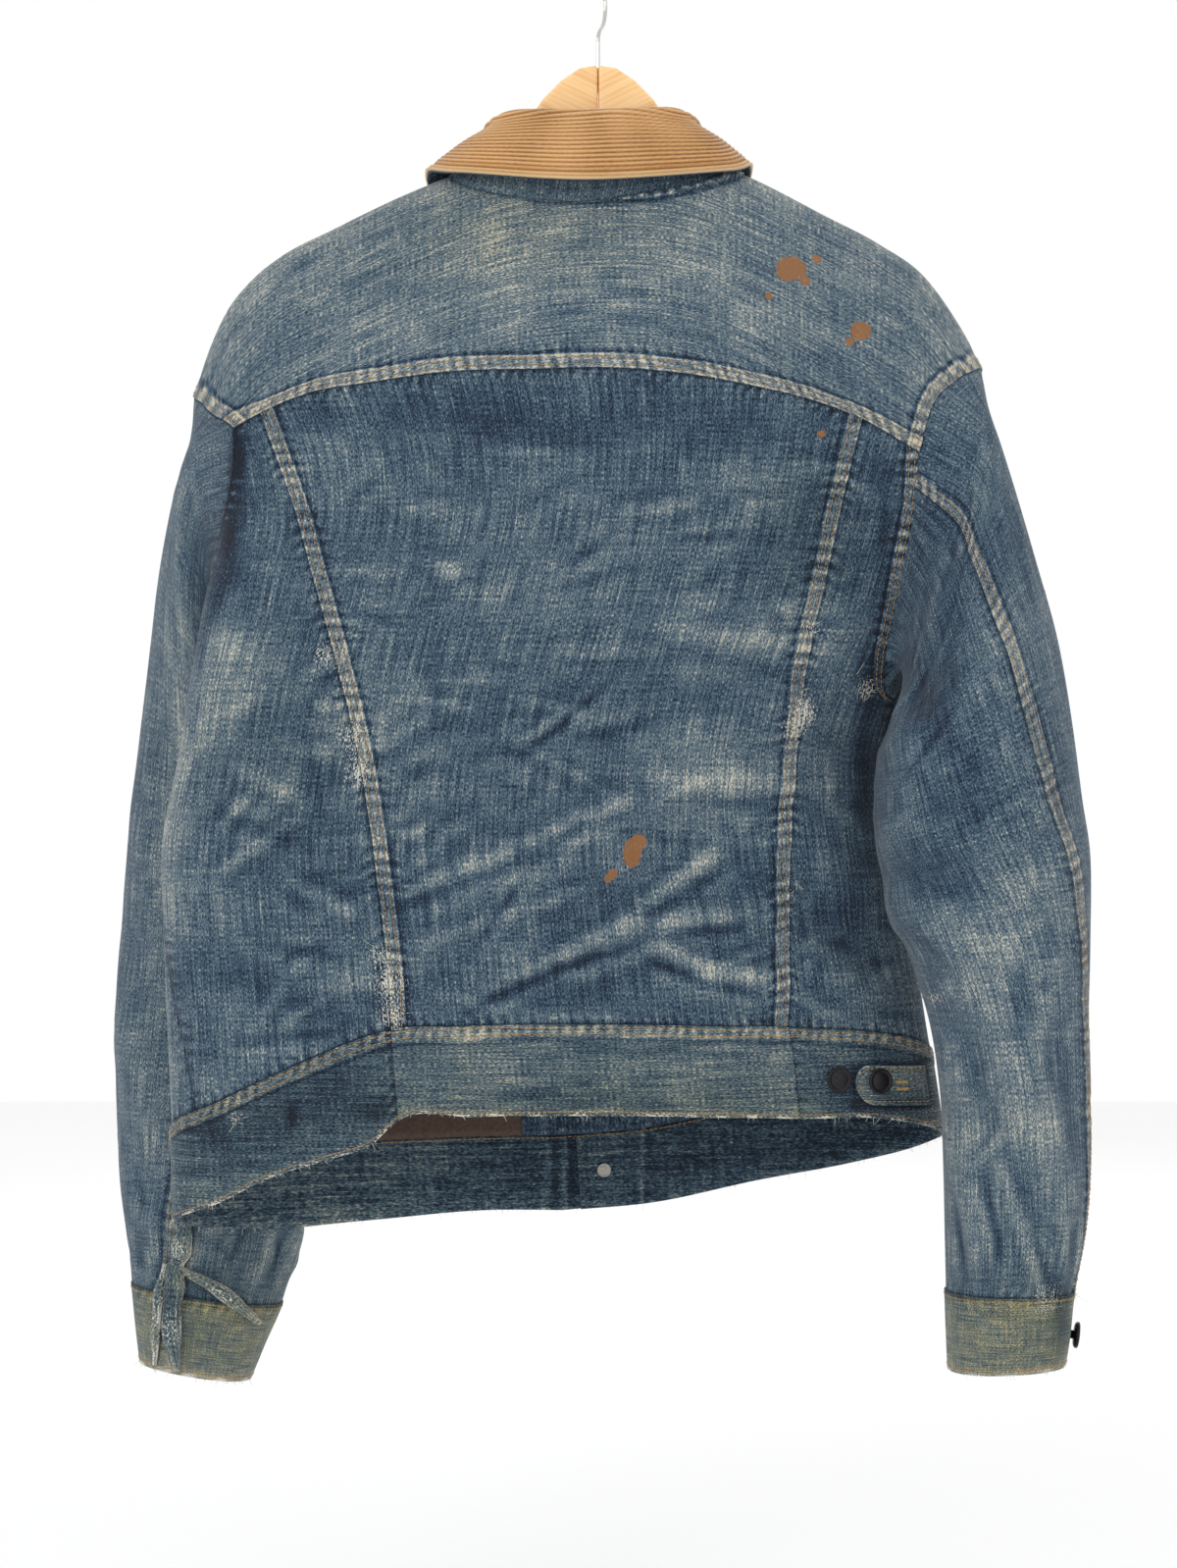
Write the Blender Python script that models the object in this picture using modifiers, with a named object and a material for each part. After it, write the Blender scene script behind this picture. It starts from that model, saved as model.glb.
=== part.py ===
"""Denim jacket hung on a wooden hanger, seen from the back at -Y.

Each piece of cloth is its own wall, cut and shaped on rings of the hung
jacket, 0.3 mm from its neighbours at the seams. Lengths in the tables are
millimetres, measured from a level HOOK_RISE above the garment's own zero.
"""

import math

import bmesh
import bpy
import numpy as np
from mathutils import Matrix, Vector

MM = 0.001
HOOK_RISE = 12.0

CLOTH = 1.4
BAND_CLOTH = 2.6
PLACKET_CLOTH = 2.0
CORDUROY_CLOTH = 2.0
SEAM_RELIEF = 1.2
SEAM_WIDTH = 9.0
SEAM_STEP = 1.0
HALF_GAP = 0.15
LAYER_GAP = 0.3
SQUARENESS = 2.4
RIDGE_SOFTNESS = 60.0
SHOULDER_SEAM = -0.37
LEAN_PIVOT = -20.0
HALF_GIRTH = 505.0
# How far up the back's slanted seams and the front edges the underarm lies.
BACK_UNDERARM = 0.55
FRONT_UNDERARM = 0.51

# Rings of the hung body: height, left edge, right edge, depth of the back and
# of the front half, and how far the ring leans back per millimetre of width.
BODY = np.array((
    (-100, -310, 300, 44, 46, 0.00),
    (-200, -300, 292, 47, 49, 0.00),
    (-250, -290, 285, 49, 50, 0.01),
    (-286, -268, 270, 51, 51, 0.02),
    (-306, -256, 260, 52, 52, 0.03),
    (-344, -246, 246, 54, 53, 0.05),
    (-408, -256, 226, 57, 54, 0.09),
    (-460, -264, 205, 59, 54, 0.12),
    (-498, -269, 194, 60, 53, 0.14),
    (-568, -281, 198, 60, 52, 0.14),
    (-606, -280, 205, 59, 51, 0.14),
    (-690, -277, 219, 57, 51, 0.13),
    (-750, -275, 228, 55, 51, 0.12),
    (-830, -273, 237, 54, 51, 0.12),
), float)

# The line of the shoulders, from left to right: across, height.
RIDGE = np.array((
    (-320, -372), (-290, -326), (-272, -290), (-264, -268), (-258, -248),
    (-245, -216), (-226, -191), (-210, -178), (-174, -159), (-112, -130),
    (-60, -112), (0, -104), (60, -109), (100, -125), (149, -150),
    (185, -169), (214, -190), (232, -214), (245, -236), (252, -252),
    (262, -280), (285, -322), (320, -372),
), float)

# Lower edge of the yoke on the back: across, height.
YOKE_SEAM = np.array((
    (-236, -291), (-212, -279), (-188, -270), (-145, -263), (-100, -257),
    (-39, -255), (0, -254), (50, -257), (98, -265), (147, -277), (171, -286),
    (208, -306),
), float)

# The two slanted seams of the back: height, left one, right one.
SLANT_SEAMS = np.array((
    (-690, -132, 123), (-681, -132, 123), (-574, -142, 124), (-498, -154, 129),
    (-435, -170, 137), (-372, -188, 151), (-347, -195, 156), (-281, -219, 172),
    (-270, -223, 175),
), float)

# Hem all round: share of the half girth from the centre back (+ right),
# height of the waistband's top and of its raw lower edge.
HEM = np.array((
    (-1.00, -759, -810), (-0.90, -759, -809), (-0.75, -761, -814),
    (-0.62, -764, -817), (-0.55, -758, -813), (-0.50, -748, -806),
    (-0.46, -736, -799), (-0.42, -728, -792), (-0.35, -711, -774),
    (-0.28, -695, -762), (-0.22, -683, -750), (-0.20, -680, -740),
    (-0.10, -677, -735), (0.00, -676, -735), (0.10, -677, -736),
    (0.20, -679, -738), (0.30, -681, -740), (0.38, -684, -741),
    (0.45, -691, -748), (0.50, -701, -756), (0.56, -716, -768),
    (0.64, -728, -779), (0.76, -740, -791), (0.90, -755, -806),
    (1.00, -759, -810),
), float)

# Side seams: height, share of the half girth for the left and right one.
SIDE_SEAMS = np.array((
    (-760, -0.435, 0.53), (-726, -0.440, 0.53), (-660, -0.464, 0.52),
    (-600, -0.496, 0.50), (-530, -0.550, 0.475), (-470, -0.597, 0.456),
    (-462, -0.600, 0.455),
), float)

# Armholes below the yoke, from the underarm up: share of the half girth, height.
ARM_LEFT_BACK = np.array((
    (-0.600, -462), (-0.580, -457), (-0.545, -438), (-0.512, -400),
    (-0.484, -360), (-0.452, -325), (-0.428, -291),
), float)
ARM_LEFT_FRONT = np.array((
    (-0.600, -462), (-0.609, -450), (-0.624, -430), (-0.642, -395),
    (-0.648, -350), (-0.632, -310),
), float)
ARM_RIGHT_BACK = np.array((
    (0.455, -468), (0.440, -464), (0.420, -446), (0.406, -409), (0.398, -375),
    (0.393, -345), (0.385, -306),
), float)
ARM_RIGHT_FRONT = np.array((
    (0.455, -468), (0.467, -458), (0.489, -436), (0.518, -395), (0.538, -350),
    (0.545, -310),
), float)

# Armholes over the shoulder: how far down the back (+) or front (-), across.
YOKE_LEFT_END = np.array((
    (-0.37, -262), (0.0, -264), (0.70, -257), (1.05, -246), (1.24, -236),
), float)
YOKE_RIGHT_END = np.array((
    (-0.37, 250), (0.0, 251.5), (0.47, 246), (0.85, 233), (1.15, 218),
    (1.42, 208),
), float)

# Neck seam: across and how far down the back; and across and height in front.
NECK_BACK = np.array((
    (-97.5, -0.37), (-98.5, 0.0), (-94, 0.30), (-78, 0.56), (-57, 0.70),
    (-11, 0.82), (32, 0.76), (60, 0.64), (78, 0.44), (85, 0.20), (87, 0.0),
    (86, -0.37),
), float)
NECK_FRONT_LEFT = np.array((
    (-97.5, -132), (-93, -141), (-74, -160), (-44, -180), (-18, -188),
), float)
NECK_FRONT_RIGHT = np.array((
    (86, -128), (84, -138), (72, -158), (55, -177), (38, -187),
), float)
PLACKET_LEFT_EDGE = -18.0
PLACKET_RIGHT_EDGE = 38.0
PLACKET_LAP = 8.0
PLACKET_FOOT_NECK = -190.0

# Collar along the neck from the left end to the right end: share of its length,
# then the fold line and the loose edge, each across, back to front, height.
COLLAR = np.array((
    (0.00, 4, 52, -176, -52, 55, -246),
    (0.08, -22, 51, -164, -70, 53, -226),
    (0.16, -46, 43, -142, -90, 46, -192),
    (0.24, -66, 26, -116, -104, 39, -150),
    (0.32, -72, 4, -98, -113, 7, -121),
    (0.40, -58, -18, -90, -95, -26, -125),
    (0.50, -4, -28, -91, -8, -43, -133),
    (0.60, 50, -18, -88, 86, -26, -124),
    (0.68, 64, 4, -95, 101, 7, -117),
    (0.76, 58, 26, -114, 93, 39, -147),
    (0.84, 42, 43, -140, 84, 47, -190),
    (0.92, 32, 51, -162, 72, 56, -224),
    (1.00, 16, 53, -174, 64, 58, -244),
), float)
COLLAR_ROLL = 4.2

# Sleeves: outer edge across and height, inner edge across and height, middle
# back to front and half depth, for each ring below the armhole.
SLEEVE_RIGHT = np.array((
    (256, -284, 195, -472, -14, 30),
    (268, -325, 192, -477, -22, 38),
    (283, -380, 187, -488, -28, 46),
    (296, -430, 182, -508, -32, 51),
    (305, -485, 180, -538, -35, 52),
    (311, -535, 182, -570, -37, 50),
    (316, -582, 190, -598, -38, 48),
    (316, -628, 203, -634, -38, 45),
    (315, -675, 216, -678, -38, 42),
    (316, -725, 223, -725, -37, 40),
    (316, -770, 225, -770, -35, 38),
    (313, -810, 226, -814, -34, 36),
    (306, -850, 227, -850, -33, 34),
    (303, -878, 228, -878, -33, 33),
    (300, -897, 229, -901, -33, 33),
), float)
SLEEVE_LEFT = np.array((
    (-271, -293, -241, -467, 27, 28),
    (-284, -335, -237, -474, 37, 35),
    (-295, -390, -226, -488, 45, 42),
    (-303, -450, -209, -512, 52, 45),
    (-310, -505, -196, -544, 56, 45),
    (-316, -560, -190, -580, 58, 44),
    (-321, -610, -190, -616, 58, 43),
    (-324, -655, -190, -658, 57, 42),
    (-324, -700, -190, -700, 56, 41),
    (-324, -745, -193, -745, 53, 40),
    (-321, -790, -197, -792, 50, 37),
    (-316, -825, -203, -830, 47, 35),
    (-311, -856, -214, -870, 41, 35),
    (-308, -884, -226, -898, 40, 33),
    (-305, -908, -235, -920, 39, 32),
), float)

# Turn of the two lengthwise seams at the rings, armhole first, in degrees
# from the outer edge round by the back: the felled one and the plain one.
SLEEVE_SEAMS_RIGHT = np.array((
    (0, 78, 266), (2, 76, 262), (4, 68, 258), (6, 54, 252), (8, 36, 246),
    (10, 28, 240), (12, 20, 235), (15, 18, 232),
), float)
SLEEVE_SEAMS_LEFT = np.array((
    (0, 66, 250), (2, 78, 250), (4, 90, 250), (6, 96, 247), (8, 92, 245),
    (10, 82, 240), (12, 72, 235), (15, 70, 232),
), float)

# Main folds of the back: start and end (across, height), width, height.
FOLDS_BACK = (
    (-132, -655, -60, -640, 16, -4.0), (-60, -640, 90, -590, 18, -3.5),
    (-95, -652, 10, -622, 17, 4.5), (10, -622, 70, -606, 15, 5.0),
    (70, -606, 122, -604, 15, 4.0), (-10, -655, 70, -635, 16, -4.5),
    (30, -640, 122, -655, 18, 3.5), (-125, -610, 10, -545, 22, 4.0),
    (0, -545, 70, -520, 20, 2.5), (-110, -580, 20, -520, 20, -3.0),
    (15, -590, 95, -540, 18, -3.5), (-145, -505, -60, -520, 20, 2.5),
    (40, -500, 118, -465, 20, 3.5), (55, -480, 118, -440, 16, -2.5),
    (-190, -640, -140, -655, 18, 4.0), (-230, -650, -150, -675, 18, -3.5),
    (-250, -590, -165, -620, 22, 3.5), (-240, -540, -170, -500, 24, 3.0),
    (-255, -470, -180, -440, 24, 3.5), (-235, -400, -190, -420, 20, -2.5),
    (130, -640, 200, -672, 18, 4.0), (135, -600, 195, -640, 18, -3.5),
    (128, -560, 180, -600, 18, 3.5), (140, -470, 180, -520, 18, -3.0),
    (150, -400, 178, -440, 16, 3.0), (-180, -320, -60, -330, 22, 2.5),
    (-190, -360, -120, -350, 20, -2.0), (60, -330, 150, -320, 22, 2.0),
    (-120, -400, 40, -420, 30, 2.0), (-60, -470, 60, -480, 30, -2.0),
    (-150, -230, 100, -225, 26, 1.8), (-180, -200, -60, -190, 22, -1.6),
    (40, -190, 160, -205, 22, 1.6),
)
FOLDS_FRONT = (
    (-220, -640, -60, -690, 22, 4.5), (-200, -690, -80, -720, 20, -4.0),
    (60, -700, 200, -660, 22, 4.5), (70, -660, 190, -620, 20, -4.0),
    (-200, -560, -60, -600, 26, 4.0), (60, -600, 170, -550, 26, 4.0),
    (-190, -470, -90, -520, 26, -3.5), (70, -520, 170, -470, 26, -3.5),
    (-180, -380, -70, -440, 26, 3.5), (70, -430, 190, -370, 26, 3.5),
    (-150, -300, -70, -350, 24, -2.5), (70, -340, 190, -290, 24, -2.5),
)
# Main folds of the sleeves: turn and distance from the armhole at both ends,
# width, height.
FOLDS_RIGHT_SLEEVE = (
    (100, 60, 150, 120, 18, 4.0), (150, 90, 120, 190, 18, -4.0),
    (160, 120, 120, 220, 18, 5.0), (60, 140, 110, 200, 20, 3.0),
    (150, 250, 60, 290, 18, 5.0), (165, 290, 80, 330, 18, -5.0),
    (160, 330, 70, 380, 18, 5.0), (120, 360, 60, 520, 16, 5.0),
    (145, 400, 90, 540, 16, -5.0), (160, 480, 120, 560, 16, 4.0),
    (60, 420, 40, 500, 16, -3.5), (20, 300, 330, 360, 22, 4.0),
    (330, 380, 280, 420, 22, -4.0), (300, 250, 260, 310, 22, 4.0),
    (250, 440, 330, 500, 22, 4.0), (300, 120, 250, 180, 24, 4.0),
)
FOLDS_LEFT_SLEEVE = (
    (40, 60, 80, 140, 20, 3.5), (30, 160, 70, 240, 20, -3.0),
    (20, 260, 70, 300, 20, 3.5), (20, 330, 70, 380, 20, -3.5),
    (10, 400, 60, 440, 18, 4.0), (20, 470, 60, 500, 18, -4.0),
    (80, 520, 40, 545, 16, 4.0), (130, 500, 180, 560, 18, 5.0),
    (160, 460, 200, 540, 18, -4.5), (300, 300, 250, 360, 22, 4.0),
    (330, 380, 280, 420, 22, -4.0), (250, 440, 320, 500, 22, 4.0),
    (310, 120, 260, 200, 24, 4.0), (280, 220, 330, 270, 22, -3.5),
)

COUNTS = {
    "side": 6, "centre": 10, "shoulder": 8, "neck": 10, "neck_front": 4,
    "yoke": 6, "arm_back": 7, "arm_front": 8, "seam": 11, "placket": 2,
    "band": 2, "sleeve": 17, "cuff": 2,
}

DENIM = (0.115, 0.21, 0.33)
DENIM_DARK = (0.05, 0.11, 0.21)
DENIM_LIGHT = (0.25, 0.34, 0.41)
CORDUROY = (0.52, 0.33, 0.16)
LINING = (0.09, 0.06, 0.045)
WOOD = (0.72, 0.46, 0.22)
STEEL = (0.62, 0.60, 0.56)
BUTTON = (0.035, 0.030, 0.028)
DENIM_ROUGHNESS = 0.85
CORDUROY_ROUGHNESS = 0.95
WOOD_ROUGHNESS = 0.5
STEEL_ROUGHNESS = 0.35
BUTTON_ROUGHNESS = 0.5
BUTTON_METAL = 0.6


def along(value, knots, heights):
    """Smooth curve through the knots, level outside them."""
    value = np.clip(np.asarray(value, float), knots[0], knots[-1])
    slope = np.gradient(heights, knots)
    low = np.clip(np.searchsorted(knots, value) - 1, 0, len(knots) - 2)
    span = knots[low + 1] - knots[low]
    t = (value - knots[low]) / span
    rise = 2 * t**3 - 3 * t**2 + 1
    start = (t**3 - 2 * t**2 + t) * span * slope[low]
    end = (t**3 - t**2) * span * slope[low + 1]
    return rise * heights[low] + start + (1 - rise) * heights[low + 1] + end


def unit(vectors):
    """Vectors scaled to length one."""
    return vectors / np.maximum(np.linalg.norm(vectors, axis=-1, keepdims=True), 1e-9)


def ridge(across):
    """Height of the shoulder line."""
    return along(across, RIDGE[:, 0], RIDGE[:, 1])


def arch(drop):
    """Share of the full depth reached this far below the shoulder line."""
    drop = np.maximum(drop, 0.0)
    return np.sqrt(drop / (drop + RIDGE_SOFTNESS))


def lean(across, height):
    """How far the ring leans toward the front."""
    return np.interp(height, BODY[:, 0][::-1], BODY[:, 5][::-1]) * (across - LEAN_PIVOT)


def ring_sizes(height):
    """Centre, half width, back depth and front depth of the ring."""
    heights = BODY[::-1, 0]
    left, right, back, front = (along(height, heights, BODY[::-1, k]) for k in (1, 2, 3, 4))
    return (left + right) / 2, (right - left) / 2, back, front


def ring_depth(across, height, back_side):
    """Half depth of the ring at this place, before the shoulder's arch."""
    centre, half, back, front = ring_sizes(height)
    share = np.clip(np.abs(across - centre) / half, 0.0, 1.0)
    depth = np.where(back_side, back, front)
    return depth * (1 - share**SQUARENESS) ** (1 / SQUARENESS)


GIRTH_HEIGHTS = np.arange(-840.0, -99.0, 10.0)
GIRTH_SHARES = np.linspace(-1.0, 1.0, 1201)


def girth_tables():
    """Across and depth of every ring at even shares of its girth."""
    turn = np.linspace(-math.pi, math.pi, 2881)
    middle = len(turn) // 2
    across_rows = []
    depth_rows = []
    for height in GIRTH_HEIGHTS:
        centre, half, back, front = ring_sizes(height)
        sine = np.sin(turn)
        cosine = np.cos(turn)
        across = centre + half * np.sign(sine) * np.abs(sine) ** (2 / SQUARENESS)
        depth = np.where(cosine > 0, back, front)
        depth = -depth * np.sign(cosine) * np.abs(cosine) ** (2 / SQUARENESS)
        steps = np.hypot(np.diff(across), np.diff(depth))
        length = np.concatenate([[0.0], np.cumsum(steps)])
        length -= length[middle]
        share = np.where(length < 0, -length / length[0], length / length[-1])
        across_rows.append(np.interp(GIRTH_SHARES, share, across))
        depth_rows.append(np.interp(GIRTH_SHARES, share, depth))
    return np.array(across_rows), np.array(depth_rows)


GIRTH_ACROSS, GIRTH_DEPTH = girth_tables()


def look_up(table, share, height):
    """Value of a girth table between its rows and columns."""
    row = np.clip((height - GIRTH_HEIGHTS[0]) / 10.0, 0, len(GIRTH_HEIGHTS) - 1.001)
    column = np.clip((share + 1.0) * 600.0, 0, 1199.999)
    i = row.astype(int)
    j = column.astype(int)
    a = row - i
    b = column - j
    lower = table[i, j] * (1 - b) + table[i, j + 1] * b
    upper = table[i + 1, j] * (1 - b) + table[i + 1, j + 1] * b
    return lower * (1 - a) + upper * a


def share_at(across, height, back_side):
    """Share of the girth at a place given across."""
    across, height = np.broadcast_arrays(np.atleast_1d(across), np.atleast_1d(height))
    found = []
    for x, z in zip(across, height):
        row = look_up(GIRTH_ACROSS, GIRTH_SHARES, np.full(len(GIRTH_SHARES), float(z)))
        low = int(np.argmin(row))
        high = int(np.argmax(row))
        if back_side:
            found.append(np.interp(x, row[low:high + 1], GIRTH_SHARES[low:high + 1]))
        elif x > row[-1]:
            found.append(np.interp(x, row[high:][::-1], GIRTH_SHARES[high:][::-1]))
        else:
            found.append(np.interp(x, row[:low + 1][::-1], GIRTH_SHARES[:low + 1][::-1]))
    return np.array(found)


def body_plain(share, height):
    """Point of the hung body before its folds."""
    across = look_up(GIRTH_ACROSS, share, height)
    depth = look_up(GIRTH_DEPTH, share, height) * arch(ridge(across) - height)
    return np.stack([across, depth + lean(across, height), height], axis=-1)


def shoulder_plain(across, down):
    """Point of the yoke before its folds: across and how far down from the ridge."""
    height = ridge(across) - RIDGE_SOFTNESS * down**2
    depth = down / np.sqrt(1 + down**2) * ring_depth(across, height, down > 0)
    return np.stack([across, lean(across, height) - depth, height], axis=-1)


def fold_height(first, second, folds):
    """Sum of soft ridges and troughs, each along a straight line."""
    total = np.zeros(np.shape(first))
    for x0, z0, x1, z1, width, height in folds:
        length_2 = (x1 - x0) ** 2 + (z1 - z0) ** 2
        t = np.clip(((first - x0) * (x1 - x0) + (second - z0) * (z1 - z0)) / length_2, 0, 1)
        away_2 = (first - x0 - t * (x1 - x0)) ** 2 + (second - z0 - t * (z1 - z0)) ** 2
        swell = 0.4 + 0.6 * np.sin(math.pi * t)
        total += height * swell * np.exp(-away_2 / width**2)
    return total


def normals_of(surface, first, second, step_1, step_2):
    """Outward normals of a surface by small steps along both of its directions."""
    along_1 = surface(first + step_1, second) - surface(first - step_1, second)
    along_2 = surface(first, second + step_2) - surface(first, second - step_2)
    return unit(np.cross(along_1, along_2))


def body_folds(points):
    """Height of the folds on the body at its plain points."""
    flat = points[..., 1] - lean(points[..., 0], points[..., 2])
    back = np.clip(-flat / 20.0, 0, 1)
    front = np.clip(flat / 20.0, 0, 1)
    first = points[..., 0]
    second = points[..., 2]
    behind = fold_height(first, second, FOLDS_BACK) * back**2
    ahead = fold_height(first, second, FOLDS_FRONT) * front**2
    return behind + ahead


def body(share, height):
    """Point of the body with its folds."""
    points = body_plain(share, height)
    normals = normals_of(body_plain, share, height, 0.002, 1.0)
    return points + normals * body_folds(points)[..., None]


def shoulder(across, down):
    """Point of the yoke with its folds."""
    points = shoulder_plain(across, down)
    normals = -normals_of(shoulder_plain, across, down, 1.0, 0.01)
    return points + normals * body_folds(points)[..., None]


def body_wall(share, height):
    """Points and outward normals on the body."""
    return body(share, height), normals_of(body, share, height, 0.004, 2.0)


def shoulder_wall(across, down):
    """Points and outward normals on the yoke."""
    return shoulder(across, down), -normals_of(shoulder, across, down, 2.0, 0.03)


DOWN_STEPS = np.linspace(-3.0, 3.0, 1201)
DOWN_SLOPE = np.hypot(50 / (1 + DOWN_STEPS**2) ** 1.5, 2 * RIDGE_SOFTNESS * DOWN_STEPS)
DOWN_LENGTH = np.concatenate([[0.0], np.cumsum((DOWN_SLOPE[1:] + DOWN_SLOPE[:-1]) / 2 * 0.005)])


def length_of(down):
    """Length along the cloth for a place down from the ridge."""
    return np.interp(down, DOWN_STEPS, DOWN_LENGTH)


def down_of(length):
    """Place down from the ridge for a length along the cloth."""
    return np.interp(length, DOWN_LENGTH, DOWN_STEPS)


def even(count):
    """Even shares from 0 to 1."""
    return np.linspace(0.0, 1.0, count + 1)


def two_runs(first, second, middle):
    """Shares from 0 to 1, even before and after the middle one."""
    return np.concatenate([even(first) * middle, middle + (1 - middle) * even(second)[1:]])


def seam_shares(count, length, at_start, at_end):
    """Shares of a length with two close rows where a seam's band ends."""
    band = SEAM_WIDTH / length
    step = (SEAM_WIDTH + SEAM_STEP) / length
    start = step if at_start else 0.0
    end = 1.0 - step if at_end else 1.0
    inner = start + (end - start) * even(count)
    before = [0.0, band] if at_start else []
    after = [1.0 - band, 1.0] if at_end else []
    return np.concatenate([before, inner, after])


def lengths_along(points):
    """Running length along a row of points."""
    steps = np.linalg.norm(np.diff(points, axis=0), axis=1)
    return np.concatenate([[0.0], np.cumsum(steps)])


def resample(points, shares, scale):
    """Points at shares of the smooth curve through the given ones."""
    length = lengths_along(points * scale)
    fine = np.linspace(0.0, length[-1], 400)
    curve = np.stack([along(fine, length, points[:, k]) for k in (0, 1)], axis=1)
    true = lengths_along(curve * scale)
    return np.stack([np.interp(shares * true[-1], true, curve[:, k]) for k in (0, 1)], axis=1)


def between(bottom, top, left, right, scale, keep=1.0):
    """Grid that fills four edges; rows run up, columns run right.

    A keep over 1 holds the bends of the top edge near the top.
    """
    shares = [lengths_along(edge * scale) for edge in (bottom, top, left, right)]
    shares = [length / length[-1] for length in shares]
    u = ((shares[0] + shares[1]) / 2)[None, :, None]
    v = (((shares[2] + shares[3]) / 2) ** keep)[:, None, None]
    sides = (1 - v) * bottom[None] + v * top[None] + (1 - u) * left[:, None] + u * right[:, None]
    corners = (1 - u) * (1 - v) * bottom[0] + u * (1 - v) * bottom[-1]
    return sides - corners - (1 - u) * v * top[0] - u * v * top[-1]


# Lengths that the close rows along seams are measured from.
YOKE_FOOT_LENGTH = 390.0
BACK_FOOT_LENGTH = 256.0
YOKE_SIDE_LENGTH = 150.0
# Keeps the threads of the fronts upright below the neck's bends.
FRONT_KEEP = 3.0
NEAR_SIDE = 1.35
# First guesses of the heights where the slanted seams meet band and yoke.
SLANT_FOOT = -681.0
SLANT_HEAD = -281.0
GIRTH_SCALE = np.array((HALF_GIRTH, 1.0))
PLAIN_SCALE = np.array((1.0, 1.0))


def hem_height(share, column):
    """Height of the waistband's top (1) or foot (2) at a share of the girth."""
    return along((share + 1.0) % 2.0 - 1.0, HEM[:, 0], HEM[:, column])


def hem_line(shares, column):
    """Edge along the waistband's top or foot."""
    return np.stack([shares, hem_height(shares, column)], axis=1)


def spread(start, end, shares):
    """Values from start to end at the shares."""
    return start + (end - start) * shares


def slant_line(column, shares):
    """Edge along a slanted back seam, from the waistband to the yoke."""
    foot = SLANT_FOOT
    head = SLANT_HEAD
    for _ in range(4):
        across = along(foot, SLANT_SEAMS[:, 0], SLANT_SEAMS[:, column])
        foot = float(hem_height(share_at(across, foot, True), 1)[0])
        across = along(head, SLANT_SEAMS[:, 0], SLANT_SEAMS[:, column])
        head = float(along(across, YOKE_SEAM[:, 0], YOKE_SEAM[:, 1]))
    height = spread(foot, head, shares)
    across = along(height, SLANT_SEAMS[:, 0], SLANT_SEAMS[:, column])
    return np.stack([share_at(across, height, True), height], axis=1), float(across[-1])


def yoke_line(start, end, shares):
    """Edge along the yoke's lower seam: across, height."""
    across = spread(start, end, shares)
    return np.stack([across, along(across, YOKE_SEAM[:, 0], YOKE_SEAM[:, 1])], axis=1)


def on_girth(line, back_side):
    """Edge given across and height, as shares of the girth."""
    return np.stack([share_at(line[:, 0], line[:, 1], back_side), line[:, 1]], axis=1)


def side_line(column, top, shares):
    """Edge along a side seam, from the waistband to the underarm."""
    share = SIDE_SEAMS[0, column]
    for _ in range(4):
        foot = hem_height(share, 1)
        share = along(foot, SIDE_SEAMS[:, 0], SIDE_SEAMS[:, column])
    height = spread(foot, top, shares)
    return np.stack([along(height, SIDE_SEAMS[:, 0], SIDE_SEAMS[:, column]), height], axis=1)


def left_of_middle(line):
    """Shares just past the centre front, counted on from the left half."""
    line = line.copy()
    line[:, 0] = np.where(line[:, 0] > 0, line[:, 0] - 2.0, line[:, 0])
    return line


def right_of_middle(line):
    """Shares just past the centre front, counted on from the right half."""
    line = line.copy()
    line[:, 0] = np.where(line[:, 0] < 0, line[:, 0] + 2.0, line[:, 0])
    return line


def seam_drop(across):
    """Height of the shoulder seam, a little to the front of the ridge."""
    return ridge(across) - RIDGE_SOFTNESS * SHOULDER_SEAM**2


def upright(across, top, shares, back_side):
    """Edge straight up the front from the waistband to the neck."""
    foot = -759.0
    for _ in range(4):
        foot = float(hem_height(share_at(across, foot, back_side), 1)[0])
    height = spread(foot, top, shares)
    return on_girth(np.stack([np.full(len(height), across), height], axis=1), back_side)


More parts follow.
